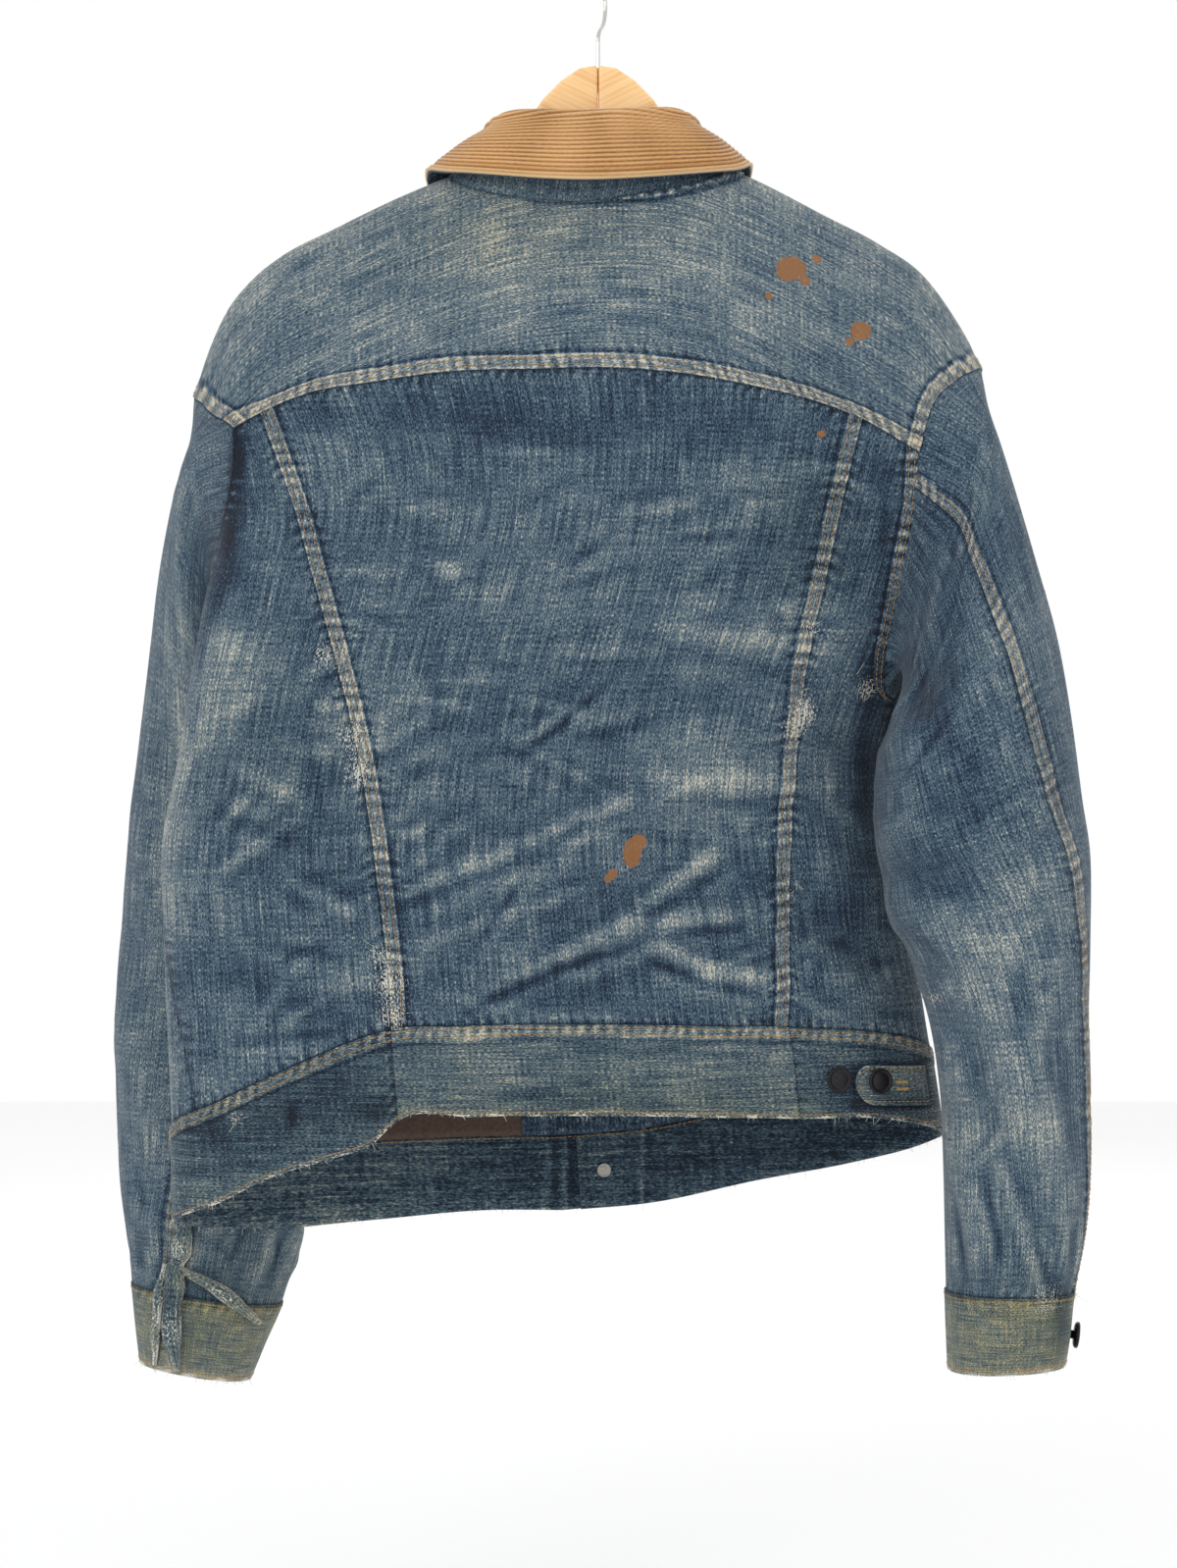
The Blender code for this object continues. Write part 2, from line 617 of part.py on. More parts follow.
def cloth_charts(count):
    """Every piece of the body as a grid in shares of the girth and heights."""
    charts = {}
    seam_rows = even(count["seam"])
    back_rows = two_runs(count["seam"], count["arm_back"], BACK_UNDERARM)
    front_rows = two_runs(count["seam"], count["arm_front"], FRONT_UNDERARM)
    sides = even(count["side"])

    slant_left, head_left = slant_line(1, back_rows)
    slant_right, head_right = slant_line(2, back_rows)
    centre = seam_shares(count["centre"], YOKE_FOOT_LENGTH, True, True)
    yoke_parts = (
        yoke_line(YOKE_SEAM[0, 0], head_left, sides),
        yoke_line(head_left, head_right, centre),
        yoke_line(head_right, YOKE_SEAM[-1, 0], sides),
    )
    yoke_girth = [on_girth(part, True) for part in yoke_parts]
    arm_back = even(count["arm_back"])
    arm_front = even(count["arm_front"])
    edges = {}
    for side, column, back, front in (
        ("left", 1, ARM_LEFT_BACK, ARM_LEFT_FRONT),
        ("right", 2, ARM_RIGHT_BACK, ARM_RIGHT_FRONT),
    ):
        low = side_line(column, back[0, 1], seam_rows)
        low[-1] = back[0]
        corner = yoke_girth[0][0] if side == "left" else yoke_girth[2][-1]
        back = np.concatenate([back[:-1], [corner]])
        end = YOKE_LEFT_END if side == "left" else YOKE_RIGHT_END
        tip = np.array(((end[0, 1], seam_drop(end[0, 1])),))
        front = np.concatenate([front, on_girth(tip, False)])
        arm = resample(back, arm_back, GIRTH_SCALE)
        edges[side, "back"] = np.concatenate([low, arm[1:]])
        arm = resample(front, arm_front, GIRTH_SCALE)
        edges[side, "front"] = np.concatenate([low, arm[1:]])

    middle = seam_shares(count["centre"], BACK_FOOT_LENGTH, True, True)
    foot_left = spread(edges["left", "back"][0, 0], slant_left[0, 0], sides)
    foot_middle = spread(slant_left[0, 0], slant_right[0, 0], middle)
    foot_right = spread(slant_right[0, 0], edges["right", "back"][0, 0], sides)
    charts["back_side_left"] = between(
        hem_line(foot_left, 1), yoke_girth[0], edges["left", "back"], slant_left, GIRTH_SCALE
    )
    charts["back_centre"] = between(
        hem_line(foot_middle, 1), yoke_girth[1], slant_left, slant_right, GIRTH_SCALE
    )
    charts["back_side_right"] = between(
        hem_line(foot_right, 1), yoke_girth[2], slant_right, edges["right", "back"], GIRTH_SCALE
    )

    shoulders = even(count["shoulder"])
    neck_front = even(count["neck_front"])
    across = spread(YOKE_LEFT_END[0, 1], NECK_BACK[0, 0], shoulders)
    shoulder_left = np.stack([across, seam_drop(across)], axis=1)
    across = spread(NECK_BACK[-1, 0], YOKE_RIGHT_END[0, 1], shoulders)
    shoulder_right = np.stack([across, seam_drop(across)], axis=1)
    curve = NECK_FRONT_LEFT.copy()
    curve[0] = shoulder_left[-1]
    neck_left = resample(curve, neck_front, PLAIN_SCALE)
    curve = NECK_FRONT_RIGHT.copy()
    curve[0] = shoulder_right[0]
    neck_right = resample(curve, neck_front, PLAIN_SCALE)

    inner = upright(PLACKET_LEFT_EDGE, NECK_FRONT_LEFT[-1, 1], front_rows, False)
    outer = upright(PLACKET_RIGHT_EDGE, NECK_FRONT_RIGHT[-1, 1], front_rows, False)
    lap = upright(PLACKET_LEFT_EDGE - PLACKET_LAP, NECK_FRONT_LEFT[-1, 1] + 1.5, front_rows, False)
    columns = even(count["shoulder"] + count["neck_front"])
    top = on_girth(np.concatenate([shoulder_left, neck_left[1:]])[::-1], False)
    near_side = 1.0 - (1.0 - columns) ** NEAR_SIDE
    foot_front_left = spread(left_of_middle(inner)[0, 0], edges["left", "front"][0, 0], near_side)
    charts["front_left"] = between(
        hem_line(foot_front_left, 1), left_of_middle(top), left_of_middle(inner),
        edges["left", "front"], GIRTH_SCALE, FRONT_KEEP,
    )
    top = on_girth(np.concatenate([shoulder_right[::-1], neck_right[1:]]), False)
    foot_front_right = spread(edges["right", "front"][0, 0], outer[0, 0], columns)
    charts["front_right"] = between(
        hem_line(foot_front_right, 1), top, edges["right", "front"], outer, GIRTH_SCALE,
        FRONT_KEEP,
    )
    parts = even(count["placket"])
    dip = 4 * parts * (1 - parts) * (PLACKET_FOOT_NECK - NECK_FRONT_RIGHT[-1, 1])
    for name, last in (("placket_right", inner), ("placket_left", lap)):
        last = right_of_middle(last)
        foot = spread(outer[0, 0], last[0, 0], parts)
        top = np.stack([spread(outer[-1, 0], last[-1, 0], parts), np.zeros(len(parts))], axis=1)
        top[:, 1] = spread(outer[-1, 1], last[-1, 1], parts) + dip
        charts[name] = between(hem_line(foot, 1), top, outer, last, GIRTH_SCALE)

    bands = even(count["band"])
    lap_shares = np.array((outer[0, 0] - 2.0, left_of_middle(inner)[0, 0] + 0.004))
    left_run = np.concatenate([
        spread(lap_shares[0], lap_shares[1], parts), [lap_shares[1] + 0.020],
        foot_front_left[2:], foot_left[1:],
    ])
    right_run = np.concatenate([
        foot_right, foot_front_right[1:],
        spread(outer[0, 0], inner[0, 0] - 0.006, parts)[1:],
    ])
    for name, run in (
        ("waistband_left", left_run), ("waistband_back", foot_middle),
        ("waistband_right", right_run),
    ):
        heights = spread(hem_height(run, 2)[None, :], hem_height(run, 1)[None, :], bands[:, None])
        charts[name] = np.stack([np.broadcast_to(run, heights.shape), heights], axis=-1)

    foot = np.concatenate([part if k == 0 else part[1:] for k, part in enumerate(yoke_parts)])
    down = np.sqrt((ridge(foot[:, 0]) - foot[:, 1]) / RIDGE_SOFTNESS)
    foot = np.stack([foot[:, 0], -length_of(down)], axis=1)
    seam_length = -float(length_of(SHOULDER_SEAM))
    neck = np.stack([NECK_BACK[:, 0], -length_of(NECK_BACK[:, 1])], axis=1)
    neck = resample(neck, even(count["neck"]), PLAIN_SCALE)
    top = np.concatenate([
        np.stack([shoulder_left[:, 0], np.full(len(shoulders), seam_length)], axis=1),
        neck[1:-1],
        np.stack([shoulder_right[:, 0], np.full(len(shoulders), seam_length)], axis=1),
    ])
    rows = seam_shares(count["yoke"], YOKE_SIDE_LENGTH, True, False)
    ends = []
    for table, corner in ((YOKE_LEFT_END, foot[0]), (YOKE_RIGHT_END, foot[-1])):
        line = np.stack([table[:, 1], -length_of(table[:, 0])], axis=1)[::-1]
        line[0] = corner
        ends.append(resample(line, rows, PLAIN_SCALE))
    charts["yoke_back"] = between(foot, top, ends[0], ends[1], PLAIN_SCALE)
    return charts


def cloth_walls(count):
    """Points and normals of every piece of the body, as grids."""
    walls = {}
    for name, chart in cloth_charts(count).items():
        if name == "yoke_back":
            walls[name] = shoulder_wall(chart[..., 0], down_of(-chart[..., 1]))
        else:
            share = (chart[..., 0] + 1.0) % 2.0 - 1.0
            walls[name] = body_wall(share, chart[..., 1])
    return walls


def join_edges(walls, count):
    """Gives pieces that meet the same points and normals along their seam."""
    yoke_points, yoke_normals = walls["yoke_back"]
    start = 0
    for name in ("back_side_left", "back_centre", "back_side_right"):
        points, normals = walls[name]
        end = start + points.shape[1]
        yoke_points[0, start:end] = points[-1]
        yoke_normals[0, start:end] = normals[-1]
        start = end - 1
    shoulder_count = count["shoulder"]
    points, normals = walls["front_left"]
    points[-1, -shoulder_count - 1:] = yoke_points[-1, :shoulder_count + 1][::-1]
    normals[-1, -shoulder_count - 1:] = yoke_normals[-1, :shoulder_count + 1][::-1]
    points, normals = walls["front_right"]
    points[-1, :shoulder_count + 1] = yoke_points[-1, -shoulder_count - 1:][::-1]
    normals[-1, :shoulder_count + 1] = yoke_normals[-1, -shoulder_count - 1:][::-1]


def armhole_loop(walls, side, count):
    """Loop round an armhole from the shoulder seam, down the back and up the front.

    Gives its points, its normals and the direction into the body's cloth.
    """
    last, next_in = (0, 1) if side == "left" else (-1, -2)
    front_last, front_next = (-1, -2) if side == "left" else (0, 1)
    seam = count["seam"]
    arm = count["arm_back"]
    yoke = slice(None, None, -1)
    rows = []
    for part in (0, 1):
        rows.append(np.concatenate([
            walls["yoke_back"][part][yoke, last],
            walls["back_side_" + side][part][yoke, last][1:arm + 1],
            walls["front_" + side][part][seam + 1:, front_last],
        ]))
    inner = np.concatenate([
        walls["yoke_back"][0][yoke, next_in],
        walls["back_side_" + side][0][yoke, next_in][1:arm + 1],
        walls["front_" + side][0][seam + 1:, front_next],
    ])
    underarm = len(walls["yoke_back"][0]) + arm - 1
    inner[underarm] = walls["back_side_" + side][0][seam - 1, last]
    return rows[0], rows[1], unit(inner - rows[0])


def square_to(ways, run):
    """Unit ways with what runs along the seam taken out."""
    return unit(ways - np.sum(ways * run, axis=-1, keepdims=True) * run)


def mitre(normals_1, normals_2, away_1, away_2, seam):
    """Normals half way between two walls that meet, given the ways into each."""
    run = unit(np.gradient(seam, axis=0))
    away_1 = square_to(away_1, run)
    away_2 = square_to(away_2, run)
    inward = np.sign(np.sum(normals_1 * away_2 + normals_2 * away_1, axis=-1, keepdims=True))
    return unit(normals_1 + normals_2 + inward * (away_1 + away_2))


def curve_through(knots, values, places):
    """Smooth curves through rows of values at the knots."""
    slope = np.gradient(values, knots, axis=0)
    low = np.clip(np.searchsorted(knots, places) - 1, 0, len(knots) - 2)
    span = (knots[low + 1] - knots[low])[:, None, None]
    t = (places - knots[low])[:, None, None] / span
    rise = 2 * t**3 - 3 * t**2 + 1
    start = (t**3 - 2 * t**2 + t) * span * slope[low]
    end = (t**3 - t**2) * span * slope[low + 1]
    return rise * values[low] + start + (1 - rise) * values[low + 1] + end


# Rows below the armhole where the sleeve's twisted seams stand wider apart.
UNDERARM_ROWS = 6
UNDERARM_GAPS = 5.0
SLEEVE_ROUND = 2.15
TIP_TURN = 12.0
KNOT_LENGTH = 46.0
# How far the under sleeve's lengthwise threads slide round below the armhole.
UNDERARM_SKEW = 0.3
UNDERARM_TURN = 182.0
RELAX_ROUNDS = 80
# The loosened cloth: how far down and round it reaches, and how much a round gives.
RELAX_END = 3.6
RELAX_FADE = 1.6
RELAX_REACH = 100.0
RELAX_SIDES = 40.0
RELAX_GIVE = 0.8
# Steps of the sleeve's table, in degrees and in places.
TABLE_TURN = 9.0
TABLE_PLACE = 0.25
# Places where the sleeve's folds begin and end.
FOLDS_IN = 1.2
FOLDS_END = 13.2
FOLDS_OUT = 0.8


class Sleeve:
    """A sleeve hung from its armhole loop through the rings of its table."""

    def __init__(self, side, loop):
        self.rings = SLEEVE_LEFT if side == "left" else SLEEVE_RIGHT
        self.folds = FOLDS_LEFT_SLEEVE if side == "left" else FOLDS_RIGHT_SLEEVE
        self.skew = -UNDERARM_SKEW if side == "left" else UNDERARM_SKEW
        self.loop = loop
        length = lengths_along(loop)
        self.turns = 360.0 * length / length[-1] - TIP_TURN
        table = SLEEVE_SEAMS_LEFT if side == "left" else SLEEVE_SEAMS_RIGHT
        self.felled = self.nearest(table[0, 1])
        self.plain = self.nearest(table[0, 2])
        knots = np.arange(1.0, len(self.rings) + 1)
        self.felled_turns = along(knots, table[:, 0], table[:, 1])
        self.plain_turns = along(knots, table[:, 0], table[:, 2])
        self.knots = np.concatenate([[0.0], knots])
        self.table_turns, self.table_places, self.table = self.relaxed()

    def nearest(self, turn):
        """Place in the loop nearest to a turn."""
        return int(np.argmin(np.abs(self.turns - turn)))

    def turned(self, turns):
        """Turns at every ring of lines that start at these turns of the armhole."""
        start = np.array((self.turns[self.felled], self.turns[self.plain]))
        anchors = np.concatenate([start - 360, start, start + 360, start + 720])
        share = np.clip(((turns - start[0]) % 360.0) / (start[1] - start[0]), 0, 1)
        slide = self.skew * (start[1] - start[0]) * share * (1 - share)
        turns = turns + slide
        rows = []
        for felled, plain in zip(self.felled_turns, self.plain_turns):
            here = np.array((felled, plain))
            ends = np.concatenate([here - 360, here, here + 360, here + 720])
            rows.append(np.interp(turns, anchors, ends))
        return np.array(rows)

    def drawn(self, turns, places):
        """Points on curves from the armhole through the rings, at turns within one round."""
        start = np.stack([np.interp(turns, self.turns, self.loop[:, k]) for k in range(3)], axis=-1)
        angles = np.radians(self.turned(turns))
        outer_x, outer_z, inner_x, inner_z, middle_y, half = (
            self.rings[:, k][:, None] for k in range(6)
        )
        power = 2 / SLEEVE_ROUND
        cosine = np.sign(np.cos(angles)) * np.abs(np.cos(angles)) ** power
        sine = np.sign(np.sin(angles)) * np.abs(np.sin(angles)) ** power
        x = (outer_x + inner_x) / 2 + (outer_x - inner_x) / 2 * cosine
        z = (outer_z + inner_z) / 2 + (outer_z - inner_z) / 2 * cosine
        rings = np.stack([x, middle_y - half * sine, z], axis=-1)
        return curve_through(self.knots, np.concatenate([start[None], rings]), places)

    def relaxed(self):
        """Table of points with the cloth below the underarm let out of its folds."""
        steps = np.diff(self.turns)
        wide = steps > TABLE_TURN
        halves = self.turns[:-1][wide] + steps[wide] / 2
        turns = np.sort(np.concatenate([self.turns[:-1], halves]))
        places = np.arange(0.0, self.knots[-1] + TABLE_PLACE / 2, TABLE_PLACE)
        table = self.drawn(turns, places)
        before = (turns - np.roll(turns, 1)) % 360.0
        after = (np.roll(turns, -1) - turns) % 360.0
        lean_back = (after / (before + after))[None, :, None]
        low = np.clip((RELAX_END - places) / RELAX_FADE, 0, 1)[:, None]
        away = np.abs(turns - UNDERARM_TURN)
        under = np.clip((RELAX_REACH - away) / RELAX_SIDES, 0, 1)[None, :]
        weight = (low * under)[1:-1, :, None]
        for _ in range(RELAX_ROUNDS):
            beside = np.roll(table, 1, axis=1) * lean_back + np.roll(table, -1, axis=1) * (1 - lean_back)
            mean = beside[1:-1] * 0.5 + (table[2:] + table[:-2]) * 0.25
            table[1:-1] += weight * RELAX_GIVE * (mean - table[1:-1])
        turns = np.concatenate([turns[-3:] - 360, turns, turns[:4] + 360])
        return turns, places, np.concatenate([table[:, -3:], table, table[:, :4]], axis=1)

    def plain_points(self, turns, places):
        """Points of the sleeve before its folds, a row for each place down it."""
        wrapped = (turns + TIP_TURN) % 360.0 - TIP_TURN
        rows = curve_through(self.table_places, self.table, places)
        return curve_through(self.table_turns, rows.transpose(1, 0, 2), wrapped).transpose(1, 0, 2)

    def plain_normals(self, turns, places, turn_step, place_step):
        """Outward normals before the folds."""
        ahead = np.minimum(places + place_step, self.knots[-1])
        behind = np.maximum(places - place_step, 0.0)
        round_it = self.plain_points(turns + turn_step, places)
        round_it = round_it - self.plain_points(turns - turn_step, places)
        down_it = self.plain_points(turns, ahead) - self.plain_points(turns, behind)
        normals = unit(np.cross(round_it, down_it))
        return normals if self.rings[0, 0] > 0 else -normals

    def points(self, turns, places):
        """Points of the sleeve with its folds."""
        points = self.plain_points(turns, places)
        normals = self.plain_normals(turns, places, 4.0, 0.1)
        angles = self.turned(turns)
        knots = np.concatenate([[0.0], np.arange(1.0, len(angles) + 1)])
        angles = np.concatenate([angles[:1], angles])
        low = np.clip(places.astype(int), 0, len(knots) - 2)
        part = (places - low)[:, None]
        here = (angles[low] * (1 - part) + angles[low + 1] * part) % 360.0
        away = np.broadcast_to((places * KNOT_LENGTH)[:, None], here.shape)
        fade = np.clip(places / FOLDS_IN, 0, 1) * np.clip((FOLDS_END - places) / FOLDS_OUT, 0, 1)
        height = fold_height(here, away, self.folds) * fade[:, None]
        return points + normals * height[..., None]

    def wall(self, turns, places):
        """Points and outward normals with the folds."""
        round_it = self.points(turns + 5.0, places) - self.points(turns - 5.0, places)
        ahead = np.minimum(places + 0.15, self.knots[-1])
        behind = np.maximum(places - 0.15, 0.0)
        down_it = self.points(turns, ahead) - self.points(turns, behind)
        normals = unit(np.cross(round_it, down_it))
        return self.points(turns, places), normals if self.rings[0, 0] > 0 else -normals


CUFF_PLACE = 13.0
FOOT_PLACE = 15.0
BAND_TURN = 9.5
BAND_TURN_END = 10.6


def sleeve_walls(walls, side, count):
    """The two pieces and the cuff of a sleeve; also sets the armhole's normals."""
    loop, loop_normals, away = armhole_loop(walls, side, count)
    sleeve = Sleeve(side, loop)
    under = sleeve.turns[sleeve.felled:sleeve.plain + 1]
    over = np.concatenate([
        sleeve.turns[sleeve.plain:-1], sleeve.turns[:sleeve.felled] + 360.0,
    ])
    seam = sleeve.turns[sleeve.felled] + 360.0
    over = over[over < seam - BAND_TURN_END - 5.0]
    over = np.concatenate([over, [seam - BAND_TURN_END, seam - BAND_TURN, seam]])
    places = np.linspace(0.0, CUFF_PLACE, count["sleeve"] + 1)
    first = sleeve.wall(sleeve.turns, np.array((0.0, places[1])))
    mixed = mitre(loop_normals, first[1][0], away, first[0][1] - first[0][0], loop)
    mixed[0] = unit(mixed[0] + mixed[-1])
    mixed[-1] = mixed[0]
    beside = np.roll(mixed[:-1], 1, axis=0) + np.roll(mixed[:-1], -1, axis=0)
    mixed[:-1] = unit(6 * mixed[:-1] + beside)
    mixed[-1] = mixed[0]
    pieces = {}
    for name, turns in (("sleeve_under_", under), ("sleeve_top_", over)):
        points, normals = sleeve.wall(turns, places)
        wrapped = (turns + TIP_TURN) % 360.0 - TIP_TURN
        for k in range(3):
            points[0, :, k] = np.interp(wrapped, sleeve.turns, loop[:, k])
            normals[0, :, k] = np.interp(wrapped, sleeve.turns, mixed[:, k])
        pieces[name + side] = (points, normals)
    below = pieces["sleeve_under_" + side]
    above = pieces["sleeve_top_" + side]
    for first, first_in, second, second_in in ((-1, -2, 0, 1), (0, 1, -1, -2)):
        seam_line = below[0][:, first]
        shared = mitre(
            below[1][:, first], above[1][:, second], below[0][:, first_in] - seam_line,
            above[0][:, second_in] - seam_line, seam_line,
        )
        below[1][1:, first] = shared[1:]
        above[1][1:, second] = shared[1:]
    cuff_turns = np.concatenate([under, over[1:]])
    cuff_places = np.linspace(CUFF_PLACE, FOOT_PLACE, count["cuff"] + 1)
    pieces["cuff_" + side] = sleeve.wall(cuff_turns, cuff_places)

    yoke = len(walls["yoke_back"][0])
    arm = count["arm_back"]
    column = 0 if side == "left" else -1
    front_column = -1 if side == "left" else 0
    seam_count = count["seam"]
    walls["yoke_back"][1][::-1, column] = mixed[:yoke]
    walls["back_side_" + side][1][seam_count:, column] = mixed[yoke - 1:yoke + arm][::-1]
    walls["front_" + side][1][seam_count:, front_column] = mixed[yoke + arm - 1:]
    return pieces, sleeve


def collar_walls(walls, count):
    """Path of the collar's cloth over its fold; also sets the neck's normals."""
    neck = count["neck_front"]
    shoulders = count["shoulder"]
    left_points, left_normals = (part[-1, :neck + 1] for part in walls["front_left"])
    right_points, right_normals = (part[-1, -neck - 1:] for part in walls["front_right"])
    back_points, back_normals = (part[-1, shoulders:-shoulders] for part in walls["yoke_back"])
    top_points, top_normals = (part[-1] for part in walls["placket_right"])
    left_end = top_points[-1] * 0.58 + top_points[-2] * 0.42
    right_end = top_points[0] * 0.58 + top_points[1] * 0.42
    if count["placket"] > 2:
        middle = len(top_points) // 2
        left_end = top_points[middle + 1]
        right_end = top_points[middle - 1]
    base = np.concatenate([
        [left_end], left_points, back_points[1:-1], right_points, [right_end],
    ])
    normals = np.concatenate([
        [top_normals[-1]], left_normals, back_normals[1:-1], right_normals, [top_normals[0]],
    ])
    length = lengths_along(base)
    share = length / length[-1]
    fold = np.stack([along(share, COLLAR[:, 0], COLLAR[:, k]) for k in (1, 2, 3)], axis=1)
    edge = np.stack([along(share, COLLAR[:, 0], COLLAR[:, k]) for k in (4, 5, 6)], axis=1)
    run = np.gradient(fold, axis=0)
    out = unit(np.stack([run[:, 1], -run[:, 0], np.zeros(len(run))], axis=1))
    if out[len(out) // 2, 1] > 0:
        out = -out
    up = np.array((0.0, 0.0, 1.0))
    path = [
        base + up * 0.35,
        base * 0.5 + (fold - out * COLLAR_ROLL) * 0.5,
        fold - out * COLLAR_ROLL - up * 1.5,
        fold - out * COLLAR_ROLL * 0.72 + up * COLLAR_ROLL * 0.62,
        fold + up * COLLAR_ROLL * 0.95,
        fold + out * COLLAR_ROLL * 0.72 + up * COLLAR_ROLL * 0.62,
        fold + out * COLLAR_ROLL - up * 1.5,
        (fold + out * COLLAR_ROLL) * 0.64 + edge * 0.36 + out * 1.5,
        (fold + out * COLLAR_ROLL) * 0.32 + edge * 0.68 + out * 1.2,
        edge,
    ]
    path = np.array(path)
    round_it = np.gradient(path, axis=1)
    over_it = np.gradient(path, axis=0)
    turned = unit(np.cross(round_it, over_it))
    if turned[4, len(base) // 2, 2] < 0:
        turned = -turned
    away = np.concatenate([
        [walls["placket_right"][0][-2, -1] - top_points[-1]],
        walls["front_left"][0][-2, :neck + 1] - left_points,
        (walls["yoke_back"][0][-2, shoulders:-shoulders] - back_points)[1:-1],
        walls["front_right"][0][-2, -neck - 1:] - right_points,
        [walls["placket_right"][0][-2, 0] - top_points[0]],
    ])
    mixed = mitre(normals, -turned[0], away, path[1] - path[0], base)
    turned[0] = -mixed
    walls["front_left"][1][-1, :neck + 1] = mixed[1:neck + 2]
    walls["front_right"][1][-1, -neck - 1:] = mixed[-neck - 2:-1]
    walls["yoke_back"][1][-1, shoulders:-shoulders] = mixed[neck + 1:-neck - 1]
    walls["placket_right"][1][-1] = unit(mixed[0] + mixed[-1])
    return path, turned


def wall(name, points, normals, thick, colour, edges=(1, 1, 1, 1), roughness=DENIM_ROUGHNESS):
    """A closed wall of cloth: an inner grid, and outer points along the normals."""
    points = points.copy()
    rows, columns = points.shape[:2]
    moved = points.copy()
    for pull, first, second in (
        (edges[0], (0, slice(None)), (1, slice(None))),
        (edges[1], (-1, slice(None)), (-2, slice(None))),
        (edges[2], (slice(None), 0), (slice(None), 1)),
        (edges[3], (slice(None), -1), (slice(None), -2)),
    ):
        pull = np.asarray(pull, float)
        pull = pull[:, None] if pull.ndim else pull
        run = unit(np.gradient(points[first], axis=0))
        moved[first] += square_to(points[second] - points[first], run) * HALF_GAP * pull
    points = moved
    thick = np.broadcast_to(np.asarray(thick, float), (rows, columns))
    outer = points + normals * thick[..., None]
    mesh = bpy.data.meshes.new(name)
    grid = bmesh.new()
    bmesh.ops.create_grid(grid, x_segments=columns - 1, y_segments=rows - 1, size=1)
    grid.verts.ensure_lookup_table()
    grown = bmesh.ops.extrude_face_region(grid, geom=grid.faces[:])
    for vertex in [item for item in grown["geom"] if isinstance(item, bmesh.types.BMVert)]:
        i = round((vertex.co.y + 1) / 2 * (rows - 1))
        j = round((vertex.co.x + 1) / 2 * (columns - 1))
        vertex.co = placed(outer[i, j])
    for index in range(rows * columns):
        grid.verts.ensure_lookup_table()
        grid.verts[index].co = placed(points[index // columns, index % columns])
    bmesh.ops.recalc_face_normals(grid, faces=grid.faces[:])
    if grid.calc_volume(signed=True) < 0:
        bmesh.ops.reverse_faces(grid, faces=grid.faces[:])
    grid.to_mesh(mesh)
    grid.free()
    return add_object(name, mesh, colour, roughness, 0.0)


def placed(point):
    """A table point in metres, in the frame of the hook."""
    return (point[0] * MM, point[1] * MM, (point[2] - HOOK_RISE) * MM)


PARTS = bpy.data.collections.new("denim_jacket")


def add_object(name, mesh, colour, roughness, metallic):
    """An object of the jacket with its own material."""
    item = bpy.data.objects.new(name, mesh)
    material = bpy.data.materials.new(name)
    material.use_nodes = True
    shader = material.node_tree.nodes["Principled BSDF"]
    shader.inputs["Base Color"].default_value = (*colour, 1.0)
    shader.inputs["Roughness"].default_value = roughness
    shader.inputs["Metallic"].default_value = metallic
    item.data.materials.append(material)
    PARTS.objects.link(item)
    return item


def clear_scene():
    """Empties the scene."""
    for item in list(bpy.data.objects):
        bpy.data.objects.remove(item, do_unlink=True)


ARMHOLE_RELIEF = 0.8 * SEAM_RELIEF
# Gaps between a sleeve's two pieces and a cuff's two ends, open and buttoned.
SLIT_OPEN = 40.0
SLIT_CLOSED = 6.0
SLIT_ROWS = 3.0
CUFF_OPEN = 42.0
CUFF_CLOSED = 8.0


